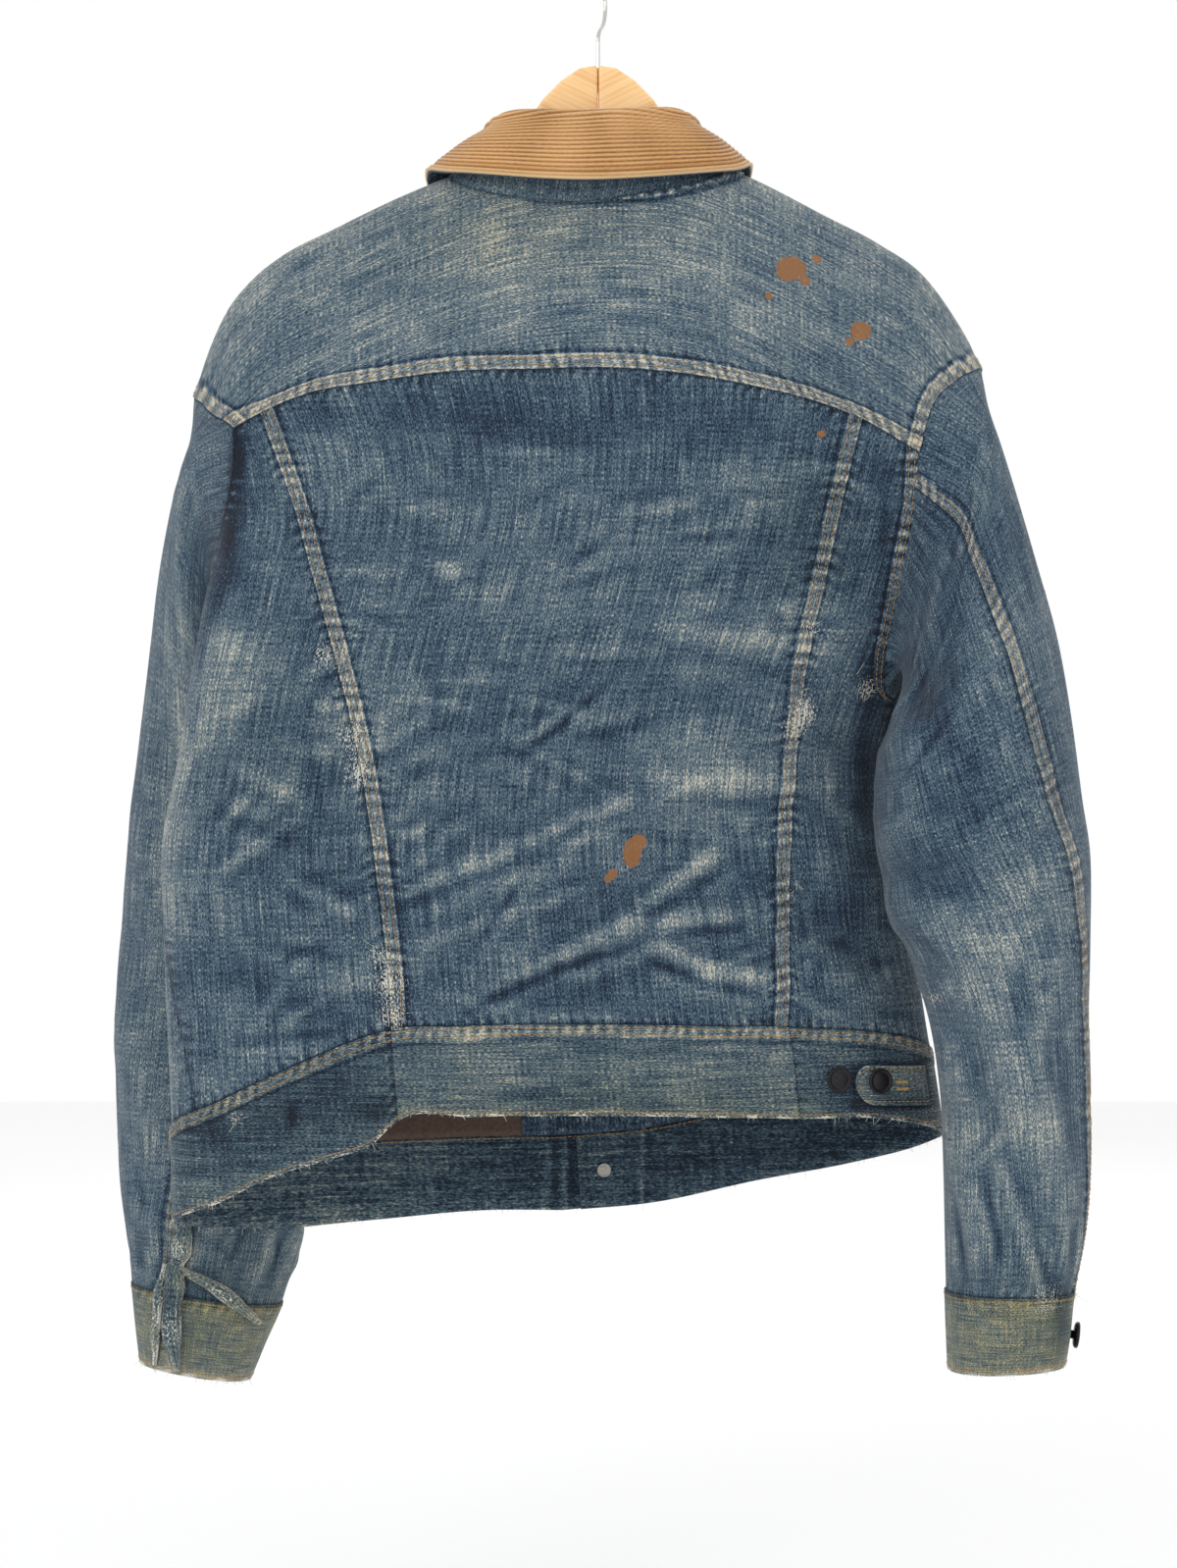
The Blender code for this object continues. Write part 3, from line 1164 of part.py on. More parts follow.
def build_cloth():
    """All of the cloth."""
    walls = cloth_walls(COUNTS)
    join_edges(walls, COUNTS)
    path, turned = collar_walls(walls, COUNTS)
    pieces = {}
    sleeves = {}
    for side in ("left", "right"):
        found, sleeves[side] = sleeve_walls(walls, side, COUNTS)
        pieces.update(found)
    seam = COUNTS["seam"]
    for name, (points, normals) in walls.items():
        thick = np.full(points.shape[:2], CLOTH)
        lift = 0.0
        colour = DENIM
        edges = [1, 1, 1, 1]
        if name == "back_centre":
            thick[:, :2] += SEAM_RELIEF
            thick[:, -2:] += SEAM_RELIEF
        elif name == "yoke_back":
            thick[:2] += SEAM_RELIEF
            thick[:, 0] += ARMHOLE_RELIEF
            thick[:, -1] += ARMHOLE_RELIEF
        elif name == "back_side_left":
            thick[seam:, 0] += ARMHOLE_RELIEF
        elif name == "back_side_right":
            thick[seam:, -1] += ARMHOLE_RELIEF
        elif name.startswith("waistband"):
            thick[:] = BAND_CLOTH
            colour = DENIM_DARK if name == "waistband_left" else DENIM_LIGHT
            edges = [1, 2, 1, 1]
            if name == "waistband_left":
                parts = COUNTS["placket"] + 1
                lift = np.zeros(points.shape[:2])
                lift[:, :parts] = BAND_CLOTH + LAYER_GAP * 2
        elif name == "placket_left":
            lift = CLOTH + LAYER_GAP * 2
            thick[:] = PLACKET_CLOTH
        lift = np.broadcast_to(np.asarray(lift, float), points.shape[:2])[..., None]
        wall(name, points + normals * lift, normals, thick, colour, edges)
    for name, (points, normals) in pieces.items():
        thick = np.full(points.shape[:2], CLOTH)
        edges = [1, 1, 1, 1]
        colour = DENIM
        if name.startswith("sleeve_top"):
            thick[:, -2:] += SEAM_RELIEF
        if name.startswith("cuff"):
            thick[:] = BAND_CLOTH
            colour = DENIM_LIGHT
            opening = CUFF_OPEN if name.endswith("left") else CUFF_CLOSED
            edges = [2, 1, opening, opening]
        else:
            opening = SLIT_OPEN if name.endswith("left") else SLIT_CLOSED
            count = points.shape[0]
            past = (np.arange(count) - (count - 1 - SLIT_ROWS)) / SLIT_ROWS
            split = np.clip(past, 0, 1) * opening + 1.0
            whole = np.ones(count)
            split[1:UNDERARM_ROWS] = UNDERARM_GAPS
            whole[1:UNDERARM_ROWS] = UNDERARM_GAPS
            edges = [2, 1, split, whole] if "under" in name else [2, 1, whole, split]
        wall(name, points, normals, thick, colour, edges)
    wall("collar_under", path, -turned, CLOTH, DENIM, (0, 0, 0, 0))
    wall(
        "collar_top", path + turned * LAYER_GAP, turned, CORDUROY_CLOTH, CORDUROY,
        (0, 0, 0, 0), CORDUROY_ROUGHNESS,
    )
    return walls, sleeves


# Half of the hanger's outline near the hook: across, height above and below.
HANGER_TOP = ((0.15, -50), (12, -52), (24, -60), (36, -72), (47, -88), (51, -104), (55, -118),
              (65, -122), (72, -126), (88, -127), (98, -132))
# Where the cloth rests: across, how far below the ridge on the left and right arm.
HANGER_SEATS = np.array((
    (112, 4.6, 5.6), (126, 4.6, 5.6), (140, 4.6, 5.6), (157, 4.6, 5.7), (174, 4.6, 5.8),
    (190, 5.0, 5.9), (202, 5.8, 6.5),
))
HANGER_FOOT = ((206, -194), (190, -191), (165, -181), (140, -170), (115, -160), (90, -150),
               (66, -139), (42, -124), (22, -106), (0.15, -98))
HANGER_THICK = 13.0
HANGER_BEVEL = 2.5
HOLE_FOOT = -80.0
HOLE_DEEP = 30.0
HOLE_SIDES = 16
BEVEL_TURN = 50.0


def hanger_half(name, side, cutter):
    """One arm of the hanger, its upper edge under the ridge of the shoulders."""
    seats = [(x, float(ridge(side * x)) - (left if side < 0 else right))
             for x, left, right in HANGER_SEATS]
    outline = [*HANGER_TOP, *seats, *HANGER_FOOT]
    curve = bpy.data.curves.new(name + "_outline", "CURVE")
    curve.dimensions = "2D"
    curve.fill_mode = "BOTH"
    curve.extrude = HANGER_THICK / 2 * MM
    spline = curve.splines.new("POLY")
    spline.points.add(len(outline) - 1)
    for point, (across, height) in zip(spline.points, outline):
        point.co = (side * across * MM, (height - HOOK_RISE) * MM, 0.0, 1.0)
    spline.use_cyclic_u = True
    helper = bpy.data.objects.new(name + "_outline", curve)
    mesh = bpy.data.meshes.new_from_object(helper)
    bpy.data.objects.remove(helper)
    grid = bmesh.new()
    grid.from_mesh(mesh)
    bmesh.ops.remove_doubles(grid, verts=grid.verts[:], dist=MERGE)
    bmesh.ops.rotate(grid, verts=grid.verts[:], matrix=Matrix.Rotation(math.pi / 2, 3, "X"))
    bmesh.ops.dissolve_limit(
        grid, angle_limit=0.001, verts=grid.verts[:], edges=grid.edges[:],
    )
    bmesh.ops.recalc_face_normals(grid, faces=grid.faces[:])
    grid.to_mesh(mesh)
    grid.free()
    half = add_object(name, mesh, WOOD, WOOD_ROUGHNESS, 0.0)
    bevel = half.modifiers.new("rounded", "BEVEL")
    bevel.width = HANGER_BEVEL * MM
    bevel.segments = 2
    bevel.limit_method = "ANGLE"
    bevel.angle_limit = math.radians(BEVEL_TURN)
    hole = half.modifiers.new("hole", "BOOLEAN")
    hole.operation = "DIFFERENCE"
    hole.solver = "EXACT"
    hole.object = cutter


def hole_cutter():
    """Cylinder that makes the hole for the hook."""
    cutters = bpy.data.collections.new("cutters")
    bpy.context.scene.collection.children.link(cutters)
    cutters.hide_render = True
    mesh = bpy.data.meshes.new("hook_hole")
    grid = bmesh.new()
    bmesh.ops.create_cone(
        grid, cap_ends=True, segments=HOLE_SIDES, radius1=(WIRE + LAYER_GAP) * MM,
        radius2=(WIRE + LAYER_GAP) * MM, depth=HOLE_DEEP * MM,
        matrix=Matrix.Translation((0.0, 0.0, (HOLE_FOOT + HOLE_DEEP / 2) * MM)),
    )
    grid.to_mesh(mesh)
    grid.free()
    cutter = bpy.data.objects.new("hook_hole", mesh)
    cutter.hide_render = True
    cutter.display_type = "WIRE"
    cutters.objects.link(cutter)
    return cutter


WIRE = 1.3
HOOK_RADIUS = 19.0
HOOK_CENTRE = -17.7
HOOK_TURN = 75.0
HOOK_START = -50.0
HOOK_END = 190.0
# Bends of the hook between its shank and its round: along the hook, height.
HOOK_NECK = ((0.0, -46.0), (0.0, -38.0), (6.0, -37.4))
HOOK_FOOT = -79.6
HOOK_SHANK = -62.0
BEND_STEPS = 9
ROUND_STEPS = 25


def hook():
    """The wire hook, its inside top at the origin."""
    start = math.radians(HOOK_START)
    first = (HOOK_RADIUS * math.cos(start), HOOK_CENTRE + HOOK_RADIUS * math.sin(start))
    p0, p1, p2 = (np.array(point) for point in HOOK_NECK)
    path = [(0.0, HOOK_FOOT), (0.0, HOOK_SHANK)]
    for t in np.linspace(0.0, 1.0, BEND_STEPS):
        part = (1 - t) ** 3 * p0 + 3 * (1 - t) ** 2 * t * p1 + 3 * (1 - t) * t**2 * p2
        path.append(tuple(part + t**3 * np.array(first)))
    for turn in np.radians(np.linspace(HOOK_START, HOOK_END, ROUND_STEPS)[1:]):
        path.append((HOOK_RADIUS * math.cos(turn), HOOK_CENTRE + HOOK_RADIUS * math.sin(turn)))
    curve = bpy.data.curves.new("hanger_hook", "CURVE")
    curve.dimensions = "3D"
    curve.bevel_depth = WIRE * MM
    curve.bevel_resolution = 2
    curve.use_fill_caps = True
    spline = curve.splines.new("POLY")
    spline.points.add(len(path) - 1)
    face = math.radians(HOOK_TURN)
    for point, (out, height) in zip(spline.points, path):
        point.co = (out * math.cos(face) * MM, out * math.sin(face) * MM, height * MM, 1.0)
    add_object("hanger_hook", curve, STEEL, STEEL_ROUGHNESS, 1.0)


MERGE = 0.01 * MM
# Profile of a button: share of its radius, share of its height.
BUTTON_PROFILE = ((0.0, 1.0), (0.70, 1.0), (1.0, 0.78), (0.94, 0.42), (0.32, 0.40), (0.32, 0.0),
                  (0.0, 0.0))
BUTTON_STEPS = 16


def button(name, point, normal, radius, height):
    """A round metal button standing on its shank."""
    mesh = bpy.data.meshes.new(name)
    profile = [(r * radius * MM, 0.0, z * height * MM) for r, z in BUTTON_PROFILE]
    mesh.from_pydata(profile, [(k, k + 1) for k in range(len(profile) - 1)], [])
    item = add_object(name, mesh, BUTTON, BUTTON_ROUGHNESS, BUTTON_METAL)
    turn = item.modifiers.new("turned", "SCREW")
    turn.steps = BUTTON_STEPS
    turn.render_steps = BUTTON_STEPS
    turn.use_merge_vertices = True
    turn.merge_threshold = MERGE
    item.location = placed(point)
    item.rotation_euler = Vector(normal).to_track_quat("Z", "Y").to_euler()


def on_body(across, height, back_side, lift):
    """Point and normal at this lift over the body's inner face."""
    share = share_at(across, height, back_side)
    points, normals = body_wall(share, np.full(1, float(height)))
    return points[0] + normals[0] * lift, normals[0]


BUTTON_RADIUS = 8.5
BUTTON_HEIGHT = 5.0
TAB_BUTTON = (181.0, -717.0)
BARE_BUTTON = (155.0, -715.0)
FRONT_BUTTONS = (-240.0, -375.0, -510.0, -645.0)
FRONT_BUTTON_ACROSS = 10.0
BAND_BUTTON = -784.0
SNAP = (4.0, -783.0)
SNAP_RADIUS = 4.75
SNAP_HEIGHT = 2.4
CUFF_BUTTON_TURN = 17.0
CUFF_BUTTON_PLACE = 14.0
TAB_START = 167.0
TAB_END = 214.0
TAB_MIDDLE = -719.0
TAB_HALF = 13.0
TAB_ROUND = 0.22
TAB_CLOTH = 2.0
TAB_DROP = 3.0
TAB_COLUMNS = 9
TAB_ROWS = 4
LINING_ROWS = slice(0, 3)
LINING_COLUMNS = slice(1, 7)
LINING_CLOTH = 1.2


def tab():
    """The waist tab: its left end round, laid over the waistband."""
    u, v = np.meshgrid(even(TAB_COLUMNS), np.linspace(-1.0, 1.0, TAB_ROWS))
    rounded = np.clip((TAB_ROUND - u) / TAB_ROUND, 0.0, 0.97)
    half = TAB_HALF * np.sqrt(1 - rounded**2)
    height = TAB_MIDDLE - TAB_DROP * u + v * half
    ends = share_at(np.array((TAB_START, TAB_END)), TAB_MIDDLE, True)
    points, normals = body_wall(spread(ends[0], ends[1], u), height)
    lifted = points + normals * (BAND_CLOTH + LAYER_GAP)
    wall("tab_right", lifted, normals, TAB_CLOTH, DENIM_LIGHT, (0, 0, 0, 0))


def lining(front_points, front_normals):
    """Strip of lining inside the left front, over the waistband."""
    points = front_points[LINING_ROWS, LINING_COLUMNS]
    normals = front_normals[LINING_ROWS, LINING_COLUMNS]
    inside = points - normals * (LAYER_GAP + LINING_CLOTH)
    wall("lining_left", inside, normals, LINING_CLOTH, LINING)


def build_trim(walls, sleeves):
    """Tab, lining and buttons."""
    tab()
    lining(*walls["front_left"])
    on_band = BAND_CLOTH + LAYER_GAP
    tab_top = on_band + TAB_CLOTH + LAYER_GAP
    point, normal = on_body(*TAB_BUTTON, True, tab_top)
    button("tab_button_a", point, normal, BUTTON_RADIUS, BUTTON_HEIGHT)
    point, normal = on_body(*BARE_BUTTON, True, on_band)
    button("tab_button_b", point, normal, BUTTON_RADIUS, BUTTON_HEIGHT)
    point, normal = on_body(*SNAP, False, -LAYER_GAP)
    button("waist_snap", point, -normal, SNAP_RADIUS, SNAP_HEIGHT)
    on_placket = CLOTH + LAYER_GAP * 2 + PLACKET_CLOTH + LAYER_GAP
    for number, height in enumerate(FRONT_BUTTONS, 1):
        point, normal = on_body(FRONT_BUTTON_ACROSS, height, False, on_placket)
        button(f"front_button_{number}", point, normal, BUTTON_RADIUS, BUTTON_HEIGHT)
    on_lap = 2 * BAND_CLOTH + LAYER_GAP * 3
    point, normal = on_body(FRONT_BUTTON_ACROSS, BAND_BUTTON, False, on_lap)
    button("front_button_5", point, normal, BUTTON_RADIUS, BUTTON_HEIGHT)
    sleeve = sleeves["right"]
    turn = np.array((sleeve.turns[sleeve.felled] - CUFF_BUTTON_TURN,))
    points, normals = sleeve.wall(turn, np.array((CUFF_BUTTON_PLACE,)))
    button(
        "cuff_button_right", points[0, 0] + normals[0, 0] * on_band, normals[0, 0],
        BUTTON_RADIUS, BUTTON_HEIGHT,
    )


def build_hanger():
    """The two arms of wood and the hook of wire."""
    cutter = hole_cutter()
    hanger_half("hanger_left", -1, cutter)
    hanger_half("hanger_right", 1, cutter)
    hook()


def main():
    """The whole jacket on its hanger."""
    clear_scene()
    bpy.context.scene.collection.children.link(PARTS)
    walls, sleeves = build_cloth()
    build_trim(walls, sleeves)
    build_hanger()


main()
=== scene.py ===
"""Faded denim jacket with a corduroy collar, seen from the back on its hanger."""

import math

import bpy
import numpy as np
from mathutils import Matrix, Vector


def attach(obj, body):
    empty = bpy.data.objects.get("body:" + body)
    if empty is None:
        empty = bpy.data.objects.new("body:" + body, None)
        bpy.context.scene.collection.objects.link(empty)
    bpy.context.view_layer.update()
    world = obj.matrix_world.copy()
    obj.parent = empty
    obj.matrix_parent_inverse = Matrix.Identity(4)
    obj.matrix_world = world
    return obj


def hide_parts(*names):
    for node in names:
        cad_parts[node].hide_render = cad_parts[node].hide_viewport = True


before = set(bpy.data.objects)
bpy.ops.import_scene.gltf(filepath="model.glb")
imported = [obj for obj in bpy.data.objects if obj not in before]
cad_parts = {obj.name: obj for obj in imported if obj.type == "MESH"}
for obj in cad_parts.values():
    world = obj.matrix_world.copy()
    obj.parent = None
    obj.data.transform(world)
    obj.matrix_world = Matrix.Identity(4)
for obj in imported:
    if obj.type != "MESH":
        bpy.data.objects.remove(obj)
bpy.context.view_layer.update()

MM = 0.001
# The tables' heights are in millimetres from this far above the frame's origin.
HOOK_RISE = 12.0

# Thickness of the cloths, seams' bands and the gap between layers, in millimetres.
CLOTH = 1.4
BAND_CLOTH = 2.6
PLACKET_CLOTH = 2.0
CORDUROY_CLOTH = 2.0
SEAM_RELIEF = 1.2
SEAM_WIDTH = 9.0
# Clear of the band's last row before the even rows begin.
SEAM_STEP = 1.0
LAYER_GAP = 0.3
# Form of the hung body: its rings' roundness, the ridge's, the shoulder seam's
# place over the ridge, where it leans about, and half its girth.
SQUARENESS = 2.4
RIDGE_SOFTNESS = 60.0
SHOULDER_SEAM = -0.37
LEAN_PIVOT = -20.0
HALF_GIRTH = 505.0
# How far up the back's slanted seams and the front edges the underarm lies.
BACK_UNDERARM = 0.55
FRONT_UNDERARM = 0.51

# Rings of the hung body: height, left edge, right edge, depth of the back and
# of the front half, and how far the ring leans back per millimetre of width.
BODY = np.array((
    (-100, -310, 300, 44, 46, 0.00),
    (-200, -300, 292, 47, 49, 0.00),
    (-250, -290, 285, 49, 50, 0.01),
    (-286, -268, 270, 51, 51, 0.02),
    (-306, -256, 260, 52, 52, 0.03),
    (-344, -246, 246, 54, 53, 0.05),
    (-408, -256, 226, 57, 54, 0.09),
    (-460, -264, 205, 59, 54, 0.12),
    (-498, -269, 194, 60, 53, 0.14),
    (-568, -281, 198, 60, 52, 0.14),
    (-606, -280, 205, 59, 51, 0.14),
    (-690, -277, 219, 57, 51, 0.13),
    (-750, -275, 228, 55, 51, 0.12),
    (-830, -273, 237, 54, 51, 0.12),
), float)

# The line of the shoulders, from left to right: across, height.
RIDGE = np.array((
    (-320, -372), (-290, -326), (-272, -290), (-264, -268), (-258, -248),
    (-245, -216), (-226, -191), (-210, -178), (-174, -159), (-112, -130),
    (-60, -112), (0, -104), (60, -109), (100, -125), (149, -150),
    (185, -169), (214, -190), (232, -214), (245, -236), (252, -252),
    (262, -280), (285, -322), (320, -372),
), float)

# Lower edge of the yoke on the back: across, height.
YOKE_SEAM = np.array((
    (-236, -291), (-212, -279), (-188, -270), (-145, -263), (-100, -257),
    (-39, -255), (0, -254), (50, -257), (98, -265), (147, -277), (171, -286),
    (208, -306),
), float)

# The two slanted seams of the back: height, left one, right one.
SLANT_SEAMS = np.array((
    (-690, -132, 123), (-681, -132, 123), (-574, -142, 124), (-498, -154, 129),
    (-435, -170, 137), (-372, -188, 151), (-347, -195, 156), (-281, -219, 172),
    (-270, -223, 175),
), float)

# Hem all round: share of the half girth from the centre back (+ right),
# height of the waistband's top and of its raw lower edge.
HEM = np.array((
    (-1.00, -759, -810), (-0.90, -759, -809), (-0.75, -761, -814),
    (-0.62, -764, -817), (-0.55, -758, -813), (-0.50, -748, -806),
    (-0.46, -736, -799), (-0.42, -728, -792), (-0.35, -711, -774),
    (-0.28, -695, -762), (-0.22, -683, -750), (-0.20, -680, -740),
    (-0.10, -677, -735), (0.00, -676, -735), (0.10, -677, -736),
    (0.20, -679, -738), (0.30, -681, -740), (0.38, -684, -741),
    (0.45, -691, -748), (0.50, -701, -756), (0.56, -716, -768),
    (0.64, -728, -779), (0.76, -740, -791), (0.90, -755, -806),
    (1.00, -759, -810),
), float)

# Side seams: height, share of the half girth for the left and right one.
SIDE_SEAMS = np.array((
    (-760, -0.435, 0.53), (-726, -0.440, 0.53), (-660, -0.464, 0.52),
    (-600, -0.496, 0.50), (-530, -0.550, 0.475), (-470, -0.597, 0.456),
    (-462, -0.600, 0.455),
), float)

# Armholes below the yoke, from the underarm up: share of the half girth, height.
ARM_LEFT_BACK = np.array((
    (-0.600, -462), (-0.580, -457), (-0.545, -438), (-0.512, -400),
    (-0.484, -360), (-0.452, -325), (-0.428, -291),
), float)
ARM_LEFT_FRONT = np.array((
    (-0.600, -462), (-0.609, -450), (-0.624, -430), (-0.642, -395),
    (-0.648, -350), (-0.632, -310),
), float)
ARM_RIGHT_BACK = np.array((
    (0.455, -468), (0.440, -464), (0.420, -446), (0.406, -409), (0.398, -375),
    (0.393, -345), (0.385, -306),
), float)
ARM_RIGHT_FRONT = np.array((
    (0.455, -468), (0.467, -458), (0.489, -436), (0.518, -395), (0.538, -350),
    (0.545, -310),
), float)

# Armholes over the shoulder: how far down the back (+) or front (-), across.
YOKE_LEFT_END = np.array((
    (-0.37, -262), (0.0, -264), (0.70, -257), (1.05, -246), (1.24, -236),
), float)
YOKE_RIGHT_END = np.array((
    (-0.37, 250), (0.0, 251.5), (0.47, 246), (0.85, 233), (1.15, 218),
    (1.42, 208),
), float)

# Neck seam: across and how far down the back; and across and height in front.
NECK_BACK = np.array((
    (-97.5, -0.37), (-98.5, 0.0), (-94, 0.30), (-78, 0.56), (-57, 0.70),
    (-11, 0.82), (32, 0.76), (60, 0.64), (78, 0.44), (85, 0.20), (87, 0.0),
    (86, -0.37),
), float)
NECK_FRONT_LEFT = np.array((
    (-97.5, -132), (-93, -141), (-74, -160), (-44, -180), (-18, -188),
), float)
NECK_FRONT_RIGHT = np.array((
    (86, -128), (84, -138), (72, -158), (55, -177), (38, -187),
), float)
PLACKET_LEFT_EDGE = -18.0
PLACKET_RIGHT_EDGE = 38.0
PLACKET_LAP = 8.0
PLACKET_FOOT_NECK = -190.0

# Collar along the neck from the left end to the right end: share of its length,
# then the fold line and the loose edge, each across, back to front, height.
COLLAR = np.array((
    (0.00, 4, 52, -176, -52, 55, -246),
    (0.08, -22, 51, -164, -70, 53, -226),
    (0.16, -46, 43, -142, -90, 46, -192),
    (0.24, -66, 26, -116, -104, 39, -150),
    (0.32, -72, 4, -98, -113, 7, -121),
    (0.40, -58, -18, -90, -95, -26, -125),
    (0.50, -4, -28, -91, -8, -43, -133),
    (0.60, 50, -18, -88, 86, -26, -124),
    (0.68, 64, 4, -95, 101, 7, -117),
    (0.76, 58, 26, -114, 93, 39, -147),
    (0.84, 42, 43, -140, 84, 47, -190),
    (0.92, 32, 51, -162, 72, 56, -224),
    (1.00, 16, 53, -174, 64, 58, -244),
), float)
COLLAR_ROLL = 4.2

# Sleeves: outer edge across and height, inner edge across and height, middle
# back to front and half depth, for each ring below the armhole.
SLEEVE_RIGHT = np.array((
    (256, -284, 195, -472, -14, 30),
    (268, -325, 192, -477, -22, 38),
    (283, -380, 187, -488, -28, 46),
    (296, -430, 182, -508, -32, 51),
    (305, -485, 180, -538, -35, 52),
    (311, -535, 182, -570, -37, 50),
    (316, -582, 190, -598, -38, 48),
    (316, -628, 203, -634, -38, 45),
    (315, -675, 216, -678, -38, 42),
    (316, -725, 223, -725, -37, 40),
    (316, -770, 225, -770, -35, 38),
    (313, -810, 226, -814, -34, 36),
    (306, -850, 227, -850, -33, 34),
    (303, -878, 228, -878, -33, 33),
    (300, -897, 229, -901, -33, 33),
), float)
SLEEVE_LEFT = np.array((
    (-271, -293, -241, -467, 27, 28),
    (-284, -335, -237, -474, 37, 35),
    (-295, -390, -226, -488, 45, 42),
    (-303, -450, -209, -512, 52, 45),
    (-310, -505, -196, -544, 56, 45),
    (-316, -560, -190, -580, 58, 44),
    (-321, -610, -190, -616, 58, 43),
    (-324, -655, -190, -658, 57, 42),
    (-324, -700, -190, -700, 56, 41),
    (-324, -745, -193, -745, 53, 40),
    (-321, -790, -197, -792, 50, 37),
    (-316, -825, -203, -830, 47, 35),
    (-311, -856, -214, -870, 41, 35),
    (-308, -884, -226, -898, 40, 33),
    (-305, -908, -235, -920, 39, 32),
), float)

# Turn of the two lengthwise seams at the rings, armhole first, in degrees
# from the outer edge round by the back: the felled one and the plain one.
SLEEVE_SEAMS_RIGHT = np.array((
    (0, 78, 266), (2, 76, 262), (4, 68, 258), (6, 54, 252), (8, 36, 246),
    (10, 28, 240), (12, 20, 235), (15, 18, 232),
), float)
SLEEVE_SEAMS_LEFT = np.array((
    (0, 66, 250), (2, 78, 250), (4, 90, 250), (6, 96, 247), (8, 92, 245),
    (10, 82, 240), (12, 72, 235), (15, 70, 232),
), float)

# Main folds of the back: start and end (across, height), width, height.
FOLDS_BACK = (
    (-132, -655, -60, -640, 16, -4.0), (-60, -640, 90, -590, 18, -3.5),
    (-95, -652, 10, -622, 17, 4.5), (10, -622, 70, -606, 15, 5.0),
    (70, -606, 122, -604, 15, 4.0), (-10, -655, 70, -635, 16, -4.5),
    (30, -640, 122, -655, 18, 3.5), (-125, -610, 10, -545, 22, 4.0),
    (0, -545, 70, -520, 20, 2.5), (-110, -580, 20, -520, 20, -3.0),
    (15, -590, 95, -540, 18, -3.5), (-145, -505, -60, -520, 20, 2.5),
    (40, -500, 118, -465, 20, 3.5), (55, -480, 118, -440, 16, -2.5),
    (-190, -640, -140, -655, 18, 4.0), (-230, -650, -150, -675, 18, -3.5),
    (-250, -590, -165, -620, 22, 3.5), (-240, -540, -170, -500, 24, 3.0),
    (-255, -470, -180, -440, 24, 3.5), (-235, -400, -190, -420, 20, -2.5),
    (130, -640, 200, -672, 18, 4.0), (135, -600, 195, -640, 18, -3.5),
    (128, -560, 180, -600, 18, 3.5), (140, -470, 180, -520, 18, -3.0),
    (150, -400, 178, -440, 16, 3.0), (-180, -320, -60, -330, 22, 2.5),
    (-190, -360, -120, -350, 20, -2.0), (60, -330, 150, -320, 22, 2.0),
    (-120, -400, 40, -420, 30, 2.0), (-60, -470, 60, -480, 30, -2.0),
    (-150, -230, 100, -225, 26, 1.8), (-180, -200, -60, -190, 22, -1.6),
    (40, -190, 160, -205, 22, 1.6),
)
FOLDS_FRONT = (
    (-220, -640, -60, -690, 22, 4.5), (-200, -690, -80, -720, 20, -4.0),
    (60, -700, 200, -660, 22, 4.5), (70, -660, 190, -620, 20, -4.0),
    (-200, -560, -60, -600, 26, 4.0), (60, -600, 170, -550, 26, 4.0),
    (-190, -470, -90, -520, 26, -3.5), (70, -520, 170, -470, 26, -3.5),
    (-180, -380, -70, -440, 26, 3.5), (70, -430, 190, -370, 26, 3.5),
    (-150, -300, -70, -350, 24, -2.5), (70, -340, 190, -290, 24, -2.5),
)
# Main folds of the sleeves: turn and distance from the armhole at both ends,
# width, height.
FOLDS_RIGHT_SLEEVE = (
    (100, 60, 150, 120, 18, 4.0), (150, 90, 120, 190, 18, -4.0),
    (160, 120, 120, 220, 18, 5.0), (60, 140, 110, 200, 20, 3.0),
    (150, 250, 60, 290, 18, 5.0), (165, 290, 80, 330, 18, -5.0),
    (160, 330, 70, 380, 18, 5.0), (120, 360, 60, 520, 16, 5.0),
    (145, 400, 90, 540, 16, -5.0), (160, 480, 120, 560, 16, 4.0),
    (60, 420, 40, 500, 16, -3.5), (20, 300, 330, 360, 22, 4.0),
    (330, 380, 280, 420, 22, -4.0), (300, 250, 260, 310, 22, 4.0),
    (250, 440, 330, 500, 22, 4.0), (300, 120, 250, 180, 24, 4.0),
)
FOLDS_LEFT_SLEEVE = (
    (40, 60, 80, 140, 20, 3.5), (30, 160, 70, 240, 20, -3.0),
    (20, 260, 70, 300, 20, 3.5), (20, 330, 70, 380, 20, -3.5),
    (10, 400, 60, 440, 18, 4.0), (20, 470, 60, 500, 18, -4.0),
    (80, 520, 40, 545, 16, 4.0), (130, 500, 180, 560, 18, 5.0),
    (160, 460, 200, 540, 18, -4.5), (300, 300, 250, 360, 22, 4.0),
    (330, 380, 280, 420, 22, -4.0), (250, 440, 320, 500, 22, 4.0),
    (310, 120, 260, 200, 24, 4.0), (280, 220, 330, 270, 22, -3.5),
)

# Steps of the pieces' grids: the coarse ones that the sleeves hang from, as in
# the solids, and the fine ones. Band rows are distances from a seam.
COUNTS = {
    "side": 6, "centre": 10, "shoulder": 8, "neck": 10, "neck_front": 4,
    "yoke": 6, "arm_back": 7, "arm_front": 8, "seam": 11, "placket": 2,
    "band": 2, "band_rows": (0.0, SEAM_WIDTH),
}
FINE = {
    "side": 28, "centre": 64, "shoulder": 37, "neck": 60, "neck_front": 24,
    "yoke": 36, "arm_back": 38, "arm_front": 40, "seam": 62, "placket": 14,
    "band": 16, "sleeve": 130, "cuff": 12,
    "band_rows": (0.0, 0.8, 2.4, 4.5, 6.6, 8.2, SEAM_WIDTH),
}


